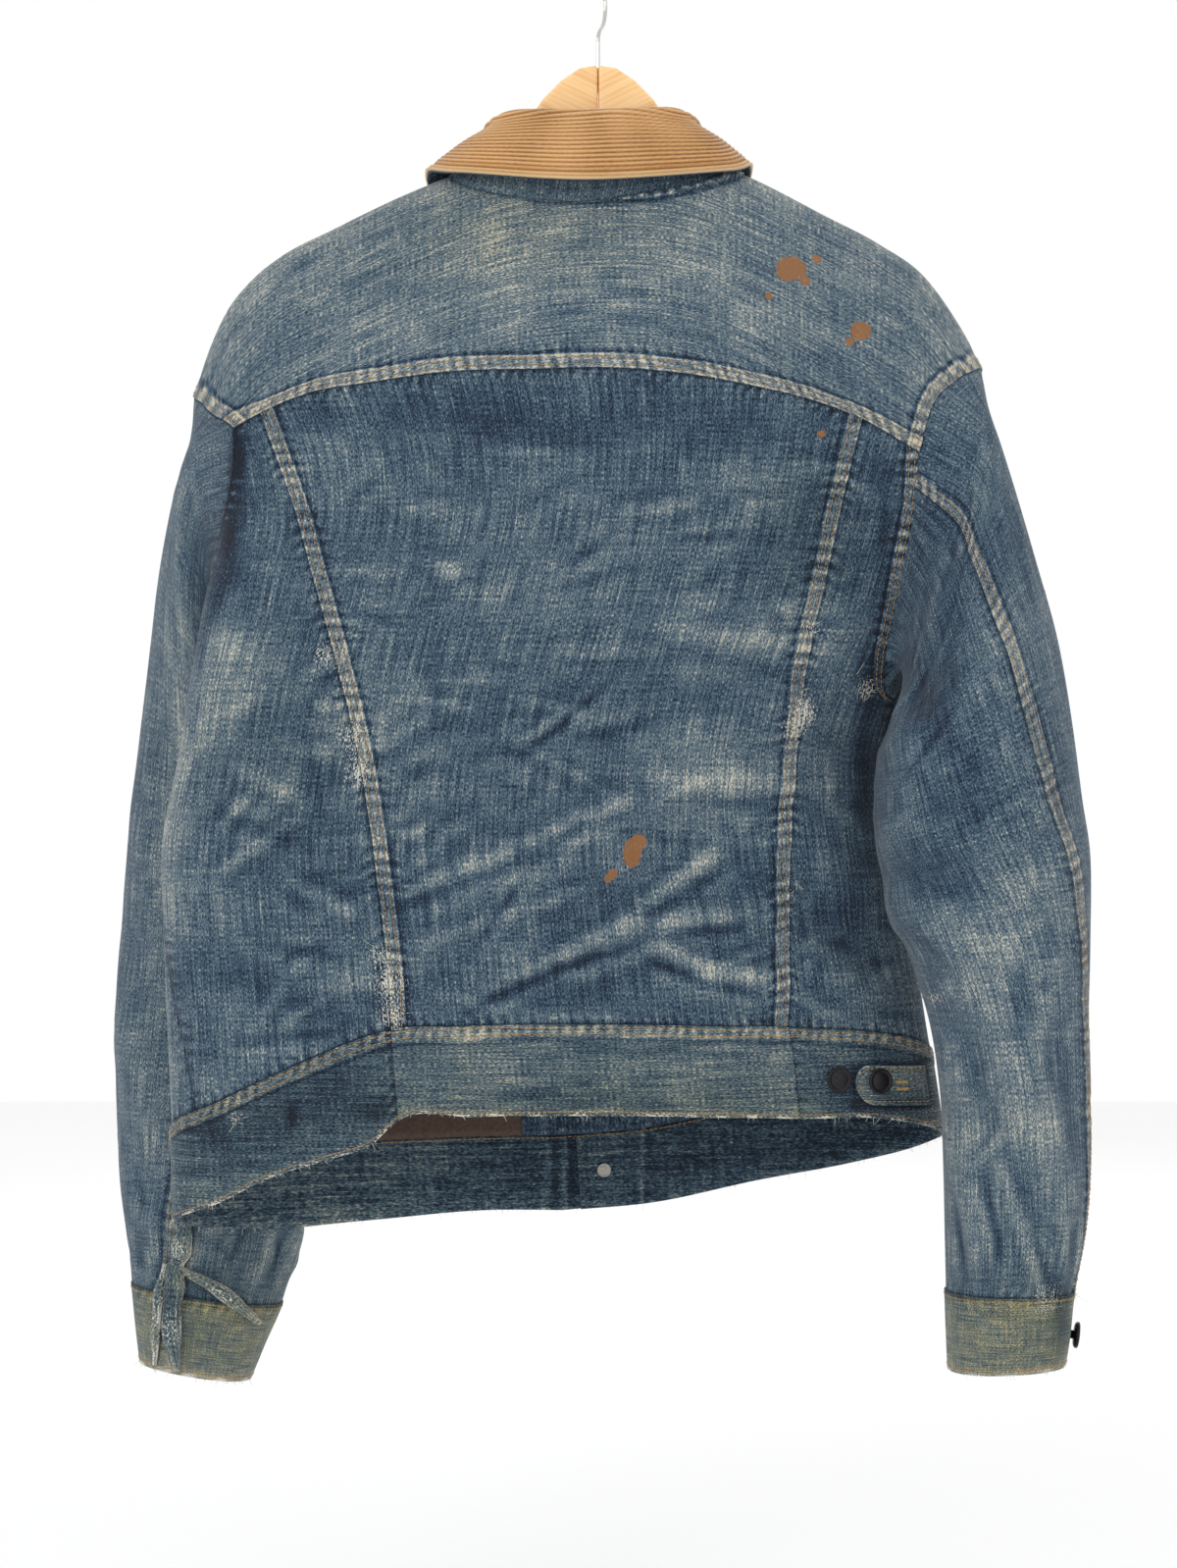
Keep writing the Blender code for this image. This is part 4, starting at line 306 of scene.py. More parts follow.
def hermite(knots, values, places, shape=()):
    """Smooth curve through the values at the knots."""
    slope = np.gradient(values, knots, axis=0)
    low = np.clip(np.searchsorted(knots, places) - 1, 0, len(knots) - 2)
    span = (knots[low + 1] - knots[low])[shape]
    t = (places - knots[low])[shape] / span
    rise = 2 * t**3 - 3 * t**2 + 1
    start = (t**3 - 2 * t**2 + t) * span * slope[low]
    end = (t**3 - t**2) * span * slope[low + 1]
    return rise * values[low] + start + (1 - rise) * values[low + 1] + end


def along(value, knots, heights):
    """Smooth curve through the knots, level outside them."""
    value = np.clip(np.asarray(value, float), knots[0], knots[-1])
    return hermite(knots, heights, value)


def table_at(table, value, column=1):
    """A table's column read along its first one."""
    return along(value, table[:, 0], table[:, column])


def rows_at(places, run, rows):
    """Rows of values read at places along their run."""
    return np.stack(
        [np.interp(places, run, rows[:, k]) for k in range(rows.shape[1])], axis=-1
    )


def hump(value, reach, centre=0.0):
    """Smooth hump of height one."""
    return np.exp(-((value - centre) / reach) ** 2)


def within(value, end, soft):
    """One before the end, falling to zero at it over a soft stretch."""
    return np.clip((end - value) / soft, 0, 1)


def unit(vectors):
    """Vectors scaled to length one."""
    return vectors / np.maximum(np.linalg.norm(vectors, axis=-1, keepdims=True), 1e-9)


def ridge(across):
    """Height of the shoulder line."""
    return table_at(RIDGE, across)


def arch(drop):
    """Share of the full depth reached this far below the shoulder line."""
    drop = np.maximum(drop, 0.0)
    return np.sqrt(drop / (drop + RIDGE_SOFTNESS))


def lean(across, height):
    """How far the ring leans toward the front."""
    return np.interp(height, BODY[:, 0][::-1], BODY[:, 5][::-1]) * (across - LEAN_PIVOT)


def ring_sizes(height):
    """Centre, half width, back depth and front depth of the ring."""
    left, right, back, front = (table_at(BODY[::-1], height, k) for k in (1, 2, 3, 4))
    return (left + right) / 2, (right - left) / 2, back, front


def ring_depth(across, height, back_side):
    """Half depth of the ring at this place, before the shoulder's arch."""
    centre, half, back, front = ring_sizes(height)
    share = np.clip(np.abs(across - centre) / half, 0.0, 1.0)
    depth = np.where(back_side, back, front)
    return depth * (1 - share**SQUARENESS) ** (1 / SQUARENESS)


GIRTH_STEP = 10.0
GIRTH_CELLS = 1200
GIRTH_HEIGHTS = np.arange(-840.0, -99.0, GIRTH_STEP)
GIRTH_SHARES = np.linspace(-1.0, 1.0, GIRTH_CELLS + 1)
RING_TURNS = np.linspace(-math.pi, math.pi, 2881)
# Small steps along both directions that normals are measured over.
BODY_STEPS = (0.002, 1.0)
BODY_WALL_STEPS = (0.004, 2.0)
SHOULDER_STEPS = (1.0, 0.01)
SHOULDER_WALL_STEPS = (2.0, 0.03)
# Depth off the middle plane over which the folds of the back or front fade in.
FOLD_FADE = 20.0


def girth_tables():
    """Across and depth of every ring at even shares of its girth."""
    middle = len(RING_TURNS) // 2
    sine = np.sin(RING_TURNS)
    cosine = np.cos(RING_TURNS)
    across_rows = []
    depth_rows = []
    for height in GIRTH_HEIGHTS:
        centre, half, back, front = ring_sizes(height)
        across = centre + half * np.sign(sine) * np.abs(sine) ** (2 / SQUARENESS)
        depth = np.where(cosine > 0, back, front)
        depth = -depth * np.sign(cosine) * np.abs(cosine) ** (2 / SQUARENESS)
        steps = np.hypot(np.diff(across), np.diff(depth))
        length = np.concatenate([[0.0], np.cumsum(steps)])
        length -= length[middle]
        share = np.where(length < 0, -length / length[0], length / length[-1])
        across_rows.append(np.interp(GIRTH_SHARES, share, across))
        depth_rows.append(np.interp(GIRTH_SHARES, share, depth))
    return np.array(across_rows), np.array(depth_rows)


GIRTH_ACROSS, GIRTH_DEPTH = girth_tables()


def look_up(table, share, height):
    """Value of a girth table between its rows and columns."""
    row = np.clip((height - GIRTH_HEIGHTS[0]) / GIRTH_STEP, 0, len(GIRTH_HEIGHTS) - 1.001)
    column = np.clip((share + 1.0) * GIRTH_CELLS / 2, 0, GIRTH_CELLS - 0.001)
    i = row.astype(int)
    j = column.astype(int)
    a = row - i
    b = column - j
    lower = table[i, j] * (1 - b) + table[i, j + 1] * b
    upper = table[i + 1, j] * (1 - b) + table[i + 1, j + 1] * b
    return lower * (1 - a) + upper * a


def share_at(across, height, back_side):
    """Share of the girth at a place given across."""
    across, height = np.broadcast_arrays(np.atleast_1d(across), np.atleast_1d(height))
    found = []
    for x, z in zip(across, height):
        row = look_up(GIRTH_ACROSS, GIRTH_SHARES, np.full(len(GIRTH_SHARES), float(z)))
        low = int(np.argmin(row))
        high = int(np.argmax(row))
        if back_side:
            found.append(np.interp(x, row[low:high + 1], GIRTH_SHARES[low:high + 1]))
        elif x > row[-1]:
            found.append(np.interp(x, row[high:][::-1], GIRTH_SHARES[high:][::-1]))
        else:
            found.append(np.interp(x, row[:low + 1][::-1], GIRTH_SHARES[:low + 1][::-1]))
    return np.array(found)


def body_plain(share, height):
    """Point of the hung body before its folds."""
    across = look_up(GIRTH_ACROSS, share, height)
    depth = look_up(GIRTH_DEPTH, share, height) * arch(ridge(across) - height)
    return np.stack([across, depth + lean(across, height), height], axis=-1)


def shoulder_plain(across, down):
    """Point of the yoke before its folds: across and how far down from the ridge."""
    height = ridge(across) - RIDGE_SOFTNESS * down**2
    depth = down / np.sqrt(1 + down**2) * ring_depth(across, height, down > 0)
    return np.stack([across, lean(across, height) - depth, height], axis=-1)


def fold_height(first, second, folds):
    """Sum of soft ridges and troughs, each along a straight line."""
    total = np.zeros(np.shape(first))
    for x0, z0, x1, z1, width, height in folds:
        length_2 = (x1 - x0) ** 2 + (z1 - z0) ** 2
        t = np.clip(((first - x0) * (x1 - x0) + (second - z0) * (z1 - z0)) / length_2, 0, 1)
        away_2 = (first - x0 - t * (x1 - x0)) ** 2 + (second - z0 - t * (z1 - z0)) ** 2
        swell = 0.4 + 0.6 * np.sin(math.pi * t)
        total += height * swell * np.exp(-away_2 / width**2)
    return total


def normals_of(surface, first, second, step_1, step_2):
    """Outward normals of a surface by small steps along both of its directions."""
    along_1 = surface(first + step_1, second) - surface(first - step_1, second)
    along_2 = surface(first, second + step_2) - surface(first, second - step_2)
    return unit(np.cross(along_1, along_2))


def body_folds(points):
    """Height of the folds on the body at its plain points."""
    flat = points[..., 1] - lean(points[..., 0], points[..., 2])
    back = np.clip(-flat / FOLD_FADE, 0, 1)
    front = np.clip(flat / FOLD_FADE, 0, 1)
    first = points[..., 0]
    second = points[..., 2]
    behind = fold_height(first, second, FOLDS_BACK) * back**2
    ahead = fold_height(first, second, FOLDS_FRONT) * front**2
    return behind + ahead


def body(share, height):
    """Point of the body with its folds."""
    points = body_plain(share, height)
    normals = normals_of(body_plain, share, height, *BODY_STEPS)
    return points + normals * body_folds(points)[..., None]


def shoulder(across, down):
    """Point of the yoke with its folds."""
    points = shoulder_plain(across, down)
    normals = -normals_of(shoulder_plain, across, down, *SHOULDER_STEPS)
    return points + normals * body_folds(points)[..., None]


def body_wall(share, height):
    """Points and outward normals on the body."""
    return body(share, height), normals_of(body, share, height, *BODY_WALL_STEPS)


def shoulder_wall(across, down):
    """Points and outward normals on the yoke."""
    normals = -normals_of(shoulder, across, down, *SHOULDER_WALL_STEPS)
    return shoulder(across, down), normals


# Length of cloth from far down the front, over the ridge, to far down the back.
SHOULDER_DEPTH = 50
DOWN_STEP = 0.005
DOWN_STEPS = np.linspace(-3.0, 3.0, 1201)
DOWN_SLOPE = np.hypot(
    SHOULDER_DEPTH / (1 + DOWN_STEPS**2) ** 1.5, 2 * RIDGE_SOFTNESS * DOWN_STEPS
)
DOWN_LENGTH = np.concatenate([
    [0.0], np.cumsum((DOWN_SLOPE[1:] + DOWN_SLOPE[:-1]) / 2 * DOWN_STEP),
])
CURVE_POINTS = 400


def length_of(down):
    """Length along the cloth for a place down from the ridge."""
    return np.interp(down, DOWN_STEPS, DOWN_LENGTH)


def down_of(length):
    """Place down from the ridge for a length along the cloth."""
    return np.interp(length, DOWN_LENGTH, DOWN_STEPS)


def even(count):
    """Even shares from 0 to 1."""
    return np.linspace(0.0, 1.0, count + 1)


def two_runs(first, second, middle):
    """Shares from 0 to 1, even before and after the middle one."""
    return np.concatenate([even(first) * middle, middle + (1 - middle) * even(second)[1:]])


def seam_shares(count, part, length, at_start, at_end):
    """Shares of a length with close rows over a seam's band."""
    band = np.array(count["band_rows"]) / length
    step = (SEAM_WIDTH + SEAM_STEP) / length
    start = step if at_start else 0.0
    end = 1.0 - step if at_end else 1.0
    inner = start + (end - start) * even(count[part])
    before = band if at_start else []
    after = 1.0 - band[::-1] if at_end else []
    return np.concatenate([before, inner, after])


def lengths_along(points):
    """Running length along a row of points."""
    steps = np.linalg.norm(np.diff(points, axis=0), axis=1)
    return np.concatenate([[0.0], np.cumsum(steps)])


def resample(points, shares, scale):
    """Points at shares of the smooth curve through the given ones."""
    length = lengths_along(points * scale)
    fine = np.linspace(0.0, length[-1], CURVE_POINTS)
    curve = np.stack([along(fine, length, points[:, k]) for k in (0, 1)], axis=1)
    true = lengths_along(curve * scale)
    return rows_at(shares * true[-1], true, curve)


def between(bottom, top, left, right, scale, keep=1.0):
    """Grid that fills four edges; rows run up, columns run right.

    A keep over 1 holds the bends of the top edge near the top.
    """
    shares = [lengths_along(edge * scale) for edge in (bottom, top, left, right)]
    shares = [length / length[-1] for length in shares]
    u = ((shares[0] + shares[1]) / 2)[None, :, None]
    v = (((shares[2] + shares[3]) / 2) ** keep)[:, None, None]
    sides = (1 - v) * bottom[None] + v * top[None] + (1 - u) * left[:, None] + u * right[:, None]
    corners = (1 - u) * (1 - v) * bottom[0] + u * (1 - v) * bottom[-1]
    return sides - corners - (1 - u) * v * top[0] - u * v * top[-1]


# Lengths that the close rows along seams are measured from.
YOKE_FOOT_LENGTH = 390.0
BACK_FOOT_LENGTH = 256.0
YOKE_SIDE_LENGTH = 150.0
# Keeps the threads of the fronts upright below the neck's bends.
FRONT_KEEP = 3.0
NEAR_SIDE = 1.35
# First guesses of the heights where the slanted seams meet band and yoke.
SLANT_FOOT = -681.0
SLANT_HEAD = -281.0
FRONT_FOOT = -759.0
# Rounds in which such a guess settles.
MEET_ROUNDS = 4
# The left waistband's lap over the right one: rise at its neck, steps of the
# girth's share over which it comes down, and how far the right one runs under.
LAP_RISE = 1.5
LAP_STEP = 0.004
LAP_UNDER = 0.006
GIRTH_SCALE = np.array((HALF_GIRTH, 1.0))
PLAIN_SCALE = np.array((1.0, 1.0))


def wrapped_share(share):
    """The same share of the girth between -1 and 1."""
    return (share + 1.0) % 2.0 - 1.0


def hem_height(share, column):
    """Height of the waistband's top (1) or foot (2) at a share of the girth."""
    return table_at(HEM, wrapped_share(share), column)


def hem_line(shares, column):
    """Edge along the waistband's top or foot."""
    return np.stack([shares, hem_height(shares, column)], axis=1)


def spread(start, end, shares):
    """Values from start to end at the shares."""
    return start + (end - start) * shares


def slant_line(column, shares):
    """Edge along a slanted back seam, from the waistband to the yoke."""
    foot = SLANT_FOOT
    head = SLANT_HEAD
    for _ in range(MEET_ROUNDS):
        across = table_at(SLANT_SEAMS, foot, column)
        foot = float(hem_height(share_at(across, foot, True), 1)[0])
        across = table_at(SLANT_SEAMS, head, column)
        head = float(table_at(YOKE_SEAM, across))
    height = spread(foot, head, shares)
    across = table_at(SLANT_SEAMS, height, column)
    return np.stack([share_at(across, height, True), height], axis=1), float(across[-1])


def yoke_line(start, end, shares):
    """Edge along the yoke's lower seam: across, height."""
    across = spread(start, end, shares)
    return np.stack([across, table_at(YOKE_SEAM, across)], axis=1)


def on_girth(line, back_side):
    """Edge given across and height, as shares of the girth."""
    return np.stack([share_at(line[:, 0], line[:, 1], back_side), line[:, 1]], axis=1)


def side_line(column, top, shares):
    """Edge along a side seam, from the waistband to the underarm."""
    share = SIDE_SEAMS[0, column]
    for _ in range(MEET_ROUNDS):
        foot = hem_height(share, 1)
        share = table_at(SIDE_SEAMS, foot, column)
    height = spread(foot, top, shares)
    return np.stack([table_at(SIDE_SEAMS, height, column), height], axis=1)


def past_middle(line, side):
    """Shares just past the centre front, counted on from the left (-1) or right (1) half."""
    line = line.copy()
    line[:, 0] = np.where(line[:, 0] * side < 0, line[:, 0] + 2.0 * side, line[:, 0])
    return line


def seam_drop(across):
    """Height of the shoulder seam, a little to the front of the ridge."""
    return ridge(across) - RIDGE_SOFTNESS * SHOULDER_SEAM**2


def upright(across, top, shares, back_side):
    """Edge straight up the front from the waistband to the neck."""
    foot = FRONT_FOOT
    for _ in range(MEET_ROUNDS):
        foot = float(hem_height(share_at(across, foot, back_side), 1)[0])
    height = spread(foot, top, shares)
    return on_girth(np.stack([np.full(len(height), across), height], axis=1), back_side)


def cloth_charts(count):
    """Every piece of the body as a grid in shares of the girth and heights."""
    charts = {}
    seam_rows = even(count["seam"])
    back_rows = two_runs(count["seam"], count["arm_back"], BACK_UNDERARM)
    front_rows = two_runs(count["seam"], count["arm_front"], FRONT_UNDERARM)
    sides = even(count["side"])

    slant_left, head_left = slant_line(1, back_rows)
    slant_right, head_right = slant_line(2, back_rows)
    centre = seam_shares(count, "centre", YOKE_FOOT_LENGTH, True, True)
    yoke_parts = (
        yoke_line(YOKE_SEAM[0, 0], head_left, sides),
        yoke_line(head_left, head_right, centre),
        yoke_line(head_right, YOKE_SEAM[-1, 0], sides),
    )
    yoke_girth = [on_girth(part, True) for part in yoke_parts]
    arm_back = even(count["arm_back"])
    arm_front = even(count["arm_front"])
    edges = {}
    for side, column, back, front in (
        ("left", 1, ARM_LEFT_BACK, ARM_LEFT_FRONT),
        ("right", 2, ARM_RIGHT_BACK, ARM_RIGHT_FRONT),
    ):
        low = side_line(column, back[0, 1], seam_rows)
        low[-1] = back[0]
        corner = yoke_girth[0][0] if side == "left" else yoke_girth[2][-1]
        back = np.concatenate([back[:-1], [corner]])
        end = YOKE_LEFT_END if side == "left" else YOKE_RIGHT_END
        tip = np.array(((end[0, 1], seam_drop(end[0, 1])),))
        front = np.concatenate([front, on_girth(tip, False)])
        arm = resample(back, arm_back, GIRTH_SCALE)
        edges[side, "back"] = np.concatenate([low, arm[1:]])
        arm = resample(front, arm_front, GIRTH_SCALE)
        edges[side, "front"] = np.concatenate([low, arm[1:]])

    middle = seam_shares(count, "centre", BACK_FOOT_LENGTH, True, True)
    foot_left = spread(edges["left", "back"][0, 0], slant_left[0, 0], sides)
    foot_middle = spread(slant_left[0, 0], slant_right[0, 0], middle)
    foot_right = spread(slant_right[0, 0], edges["right", "back"][0, 0], sides)
    charts["back_side_left"] = between(
        hem_line(foot_left, 1), yoke_girth[0], edges["left", "back"], slant_left, GIRTH_SCALE
    )
    charts["back_centre"] = between(
        hem_line(foot_middle, 1), yoke_girth[1], slant_left, slant_right, GIRTH_SCALE
    )
    charts["back_side_right"] = between(
        hem_line(foot_right, 1), yoke_girth[2], slant_right, edges["right", "back"], GIRTH_SCALE
    )

    shoulders = even(count["shoulder"])
    neck_front = even(count["neck_front"])
    across = spread(YOKE_LEFT_END[0, 1], NECK_BACK[0, 0], shoulders)
    shoulder_left = np.stack([across, seam_drop(across)], axis=1)
    across = spread(NECK_BACK[-1, 0], YOKE_RIGHT_END[0, 1], shoulders)
    shoulder_right = np.stack([across, seam_drop(across)], axis=1)
    curve = NECK_FRONT_LEFT.copy()
    curve[0] = shoulder_left[-1]
    neck_left = resample(curve, neck_front, PLAIN_SCALE)
    curve = NECK_FRONT_RIGHT.copy()
    curve[0] = shoulder_right[0]
    neck_right = resample(curve, neck_front, PLAIN_SCALE)

    inner = upright(PLACKET_LEFT_EDGE, NECK_FRONT_LEFT[-1, 1], front_rows, False)
    outer = upright(PLACKET_RIGHT_EDGE, NECK_FRONT_RIGHT[-1, 1], front_rows, False)
    lap_top = NECK_FRONT_LEFT[-1, 1] + LAP_RISE
    lap = upright(PLACKET_LEFT_EDGE - PLACKET_LAP, lap_top, front_rows, False)
    columns = even(count["shoulder"] + count["neck_front"])
    top = on_girth(np.concatenate([shoulder_left, neck_left[1:]])[::-1], False)
    near_side = 1.0 - (1.0 - columns) ** NEAR_SIDE
    foot_front_left = spread(past_middle(inner, -1)[0, 0], edges["left", "front"][0, 0], near_side)
    charts["front_left"] = between(
        hem_line(foot_front_left, 1), past_middle(top, -1), past_middle(inner, -1),
        edges["left", "front"], GIRTH_SCALE, FRONT_KEEP,
    )
    top = on_girth(np.concatenate([shoulder_right[::-1], neck_right[1:]]), False)
    foot_front_right = spread(edges["right", "front"][0, 0], outer[0, 0], columns)
    charts["front_right"] = between(
        hem_line(foot_front_right, 1), top, edges["right", "front"], outer, GIRTH_SCALE,
        FRONT_KEEP,
    )
    parts = even(count["placket"])
    dip = 4 * parts * (1 - parts) * (PLACKET_FOOT_NECK - NECK_FRONT_RIGHT[-1, 1])
    for name, last in (("placket_right", inner), ("placket_left", lap)):
        last = past_middle(last, 1)
        foot = spread(outer[0, 0], last[0, 0], parts)
        top = np.stack([spread(outer[-1, 0], last[-1, 0], parts), np.zeros(len(parts))], axis=1)
        top[:, 1] = spread(outer[-1, 1], last[-1, 1], parts) + dip
        charts[name] = between(hem_line(foot, 1), top, outer, last, GIRTH_SCALE)

    bands = even(count["band"])
    lap_shares = np.array((outer[0, 0] - 2.0, past_middle(inner, -1)[0, 0] + LAP_STEP))
    left_run = np.concatenate([
        spread(lap_shares[0], lap_shares[1], parts), [lap_shares[1] + 2 * LAP_STEP],
        foot_front_left[foot_front_left > lap_shares[1] + 3 * LAP_STEP], foot_left[1:],
    ])
    right_run = np.concatenate([
        foot_right, foot_front_right[1:],
        spread(outer[0, 0], inner[0, 0] - LAP_UNDER, parts)[1:],
    ])
    for name, run in (
        ("waistband_left", left_run), ("waistband_back", foot_middle),
        ("waistband_right", right_run),
    ):
        heights = spread(hem_height(run, 2)[None, :], hem_height(run, 1)[None, :], bands[:, None])
        charts[name] = np.stack([np.broadcast_to(run, heights.shape), heights], axis=-1)

    foot = np.concatenate([part if k == 0 else part[1:] for k, part in enumerate(yoke_parts)])
    down = np.sqrt((ridge(foot[:, 0]) - foot[:, 1]) / RIDGE_SOFTNESS)
    foot = np.stack([foot[:, 0], -length_of(down)], axis=1)
    seam_length = -float(length_of(SHOULDER_SEAM))
    neck = np.stack([NECK_BACK[:, 0], -length_of(NECK_BACK[:, 1])], axis=1)
    neck = resample(neck, even(count["neck"]), PLAIN_SCALE)
    top = np.concatenate([
        np.stack([shoulder_left[:, 0], np.full(len(shoulders), seam_length)], axis=1),
        neck[1:-1],
        np.stack([shoulder_right[:, 0], np.full(len(shoulders), seam_length)], axis=1),
    ])
    rows = seam_shares(count, "yoke", YOKE_SIDE_LENGTH, True, False)
    ends = []
    for table, corner in ((YOKE_LEFT_END, foot[0]), (YOKE_RIGHT_END, foot[-1])):
        line = np.stack([table[:, 1], -length_of(table[:, 0])], axis=1)[::-1]
        line[0] = corner
        ends.append(resample(line, rows, PLAIN_SCALE))
    charts["yoke_back"] = between(foot, top, ends[0], ends[1], PLAIN_SCALE)
    return charts


def cloth_walls(count):
    """Points and normals of every piece of the body, as grids."""
    walls = {}
    for name, chart in cloth_charts(count).items():
        if name == "yoke_back":
            walls[name] = shoulder_wall(chart[..., 0], down_of(-chart[..., 1]))
        else:
            walls[name] = body_wall(wrapped_share(chart[..., 0]), chart[..., 1])
    return walls


def join_edges(walls, count):
    """Gives pieces that meet the same points and normals along their seam."""
    yoke_points, yoke_normals = walls["yoke_back"]
    start = 0
    for name in ("back_side_left", "back_centre", "back_side_right"):
        points, normals = walls[name]
        end = start + points.shape[1]
        yoke_points[0, start:end] = points[-1]
        yoke_normals[0, start:end] = normals[-1]
        start = end - 1
    shoulder_count = count["shoulder"]
    points, normals = walls["front_left"]
    points[-1, -shoulder_count - 1:] = yoke_points[-1, :shoulder_count + 1][::-1]
    normals[-1, -shoulder_count - 1:] = yoke_normals[-1, :shoulder_count + 1][::-1]
    points, normals = walls["front_right"]
    points[-1, :shoulder_count + 1] = yoke_points[-1, -shoulder_count - 1:][::-1]
    normals[-1, :shoulder_count + 1] = yoke_normals[-1, -shoulder_count - 1:][::-1]


def armhole_loop(walls, side, count):
    """Loop round an armhole from the shoulder seam, down the back and up the front."""
    column, front_column = (0, -1) if side == "left" else (-1, 0)
    return np.concatenate([
        walls["yoke_back"][0][::-1, column],
        walls["back_side_" + side][0][::-1, column][1:count["arm_back"] + 1],
        walls["front_" + side][0][count["seam"] + 1:, front_column],
    ])


def square_to(ways, run):
    """Unit ways with what runs along the seam taken out."""
    return unit(ways - np.sum(ways * run, axis=-1, keepdims=True) * run)


def mitre(normals_1, normals_2, away_1, away_2, seam):
    """Normals half way between two walls that meet, given the ways into each."""
    run = unit(np.gradient(seam, axis=0))
    away_1 = square_to(away_1, run)
    away_2 = square_to(away_2, run)
    inward = np.sign(np.sum(normals_1 * away_2 + normals_2 * away_1, axis=-1, keepdims=True))
    return unit(normals_1 + normals_2 + inward * (away_1 + away_2))


def curve_through(knots, values, places):
    """Smooth curves through rows of values at the knots."""
    return hermite(knots, values, places, (slice(None), None, None))


# Roundness of the sleeve's rings, turn of the shoulder seam before the loop's
# start, and length of sleeve from one ring to the next.
SLEEVE_ROUND = 2.15
TIP_TURN = 12.0
KNOT_LENGTH = 46.0
# How far the under sleeve's lengthwise threads slide round below the armhole.
UNDERARM_SKEW = 0.3
UNDERARM_TURN = 182.0
RELAX_ROUNDS = 80
# The loosened cloth: how far down and round it reaches, and how much a round gives.
RELAX_END = 3.6
RELAX_FADE = 1.6
RELAX_REACH = 100.0
RELAX_SIDES = 40.0
RELAX_GIVE = 0.8
# Steps of the sleeve's table, in degrees and in places.
TABLE_TURN = 9.0
TABLE_PLACE = 0.25
# Steps that the normals are measured over, before and with the folds.
PLAIN_TURN = 4.0
PLAIN_PLACE = 0.1
WALL_TURN = 5.0
WALL_PLACE = 0.15
# Places where the sleeve's folds begin and end.
FOLDS_IN = 1.2
FOLDS_END = 13.2
FOLDS_OUT = 0.8


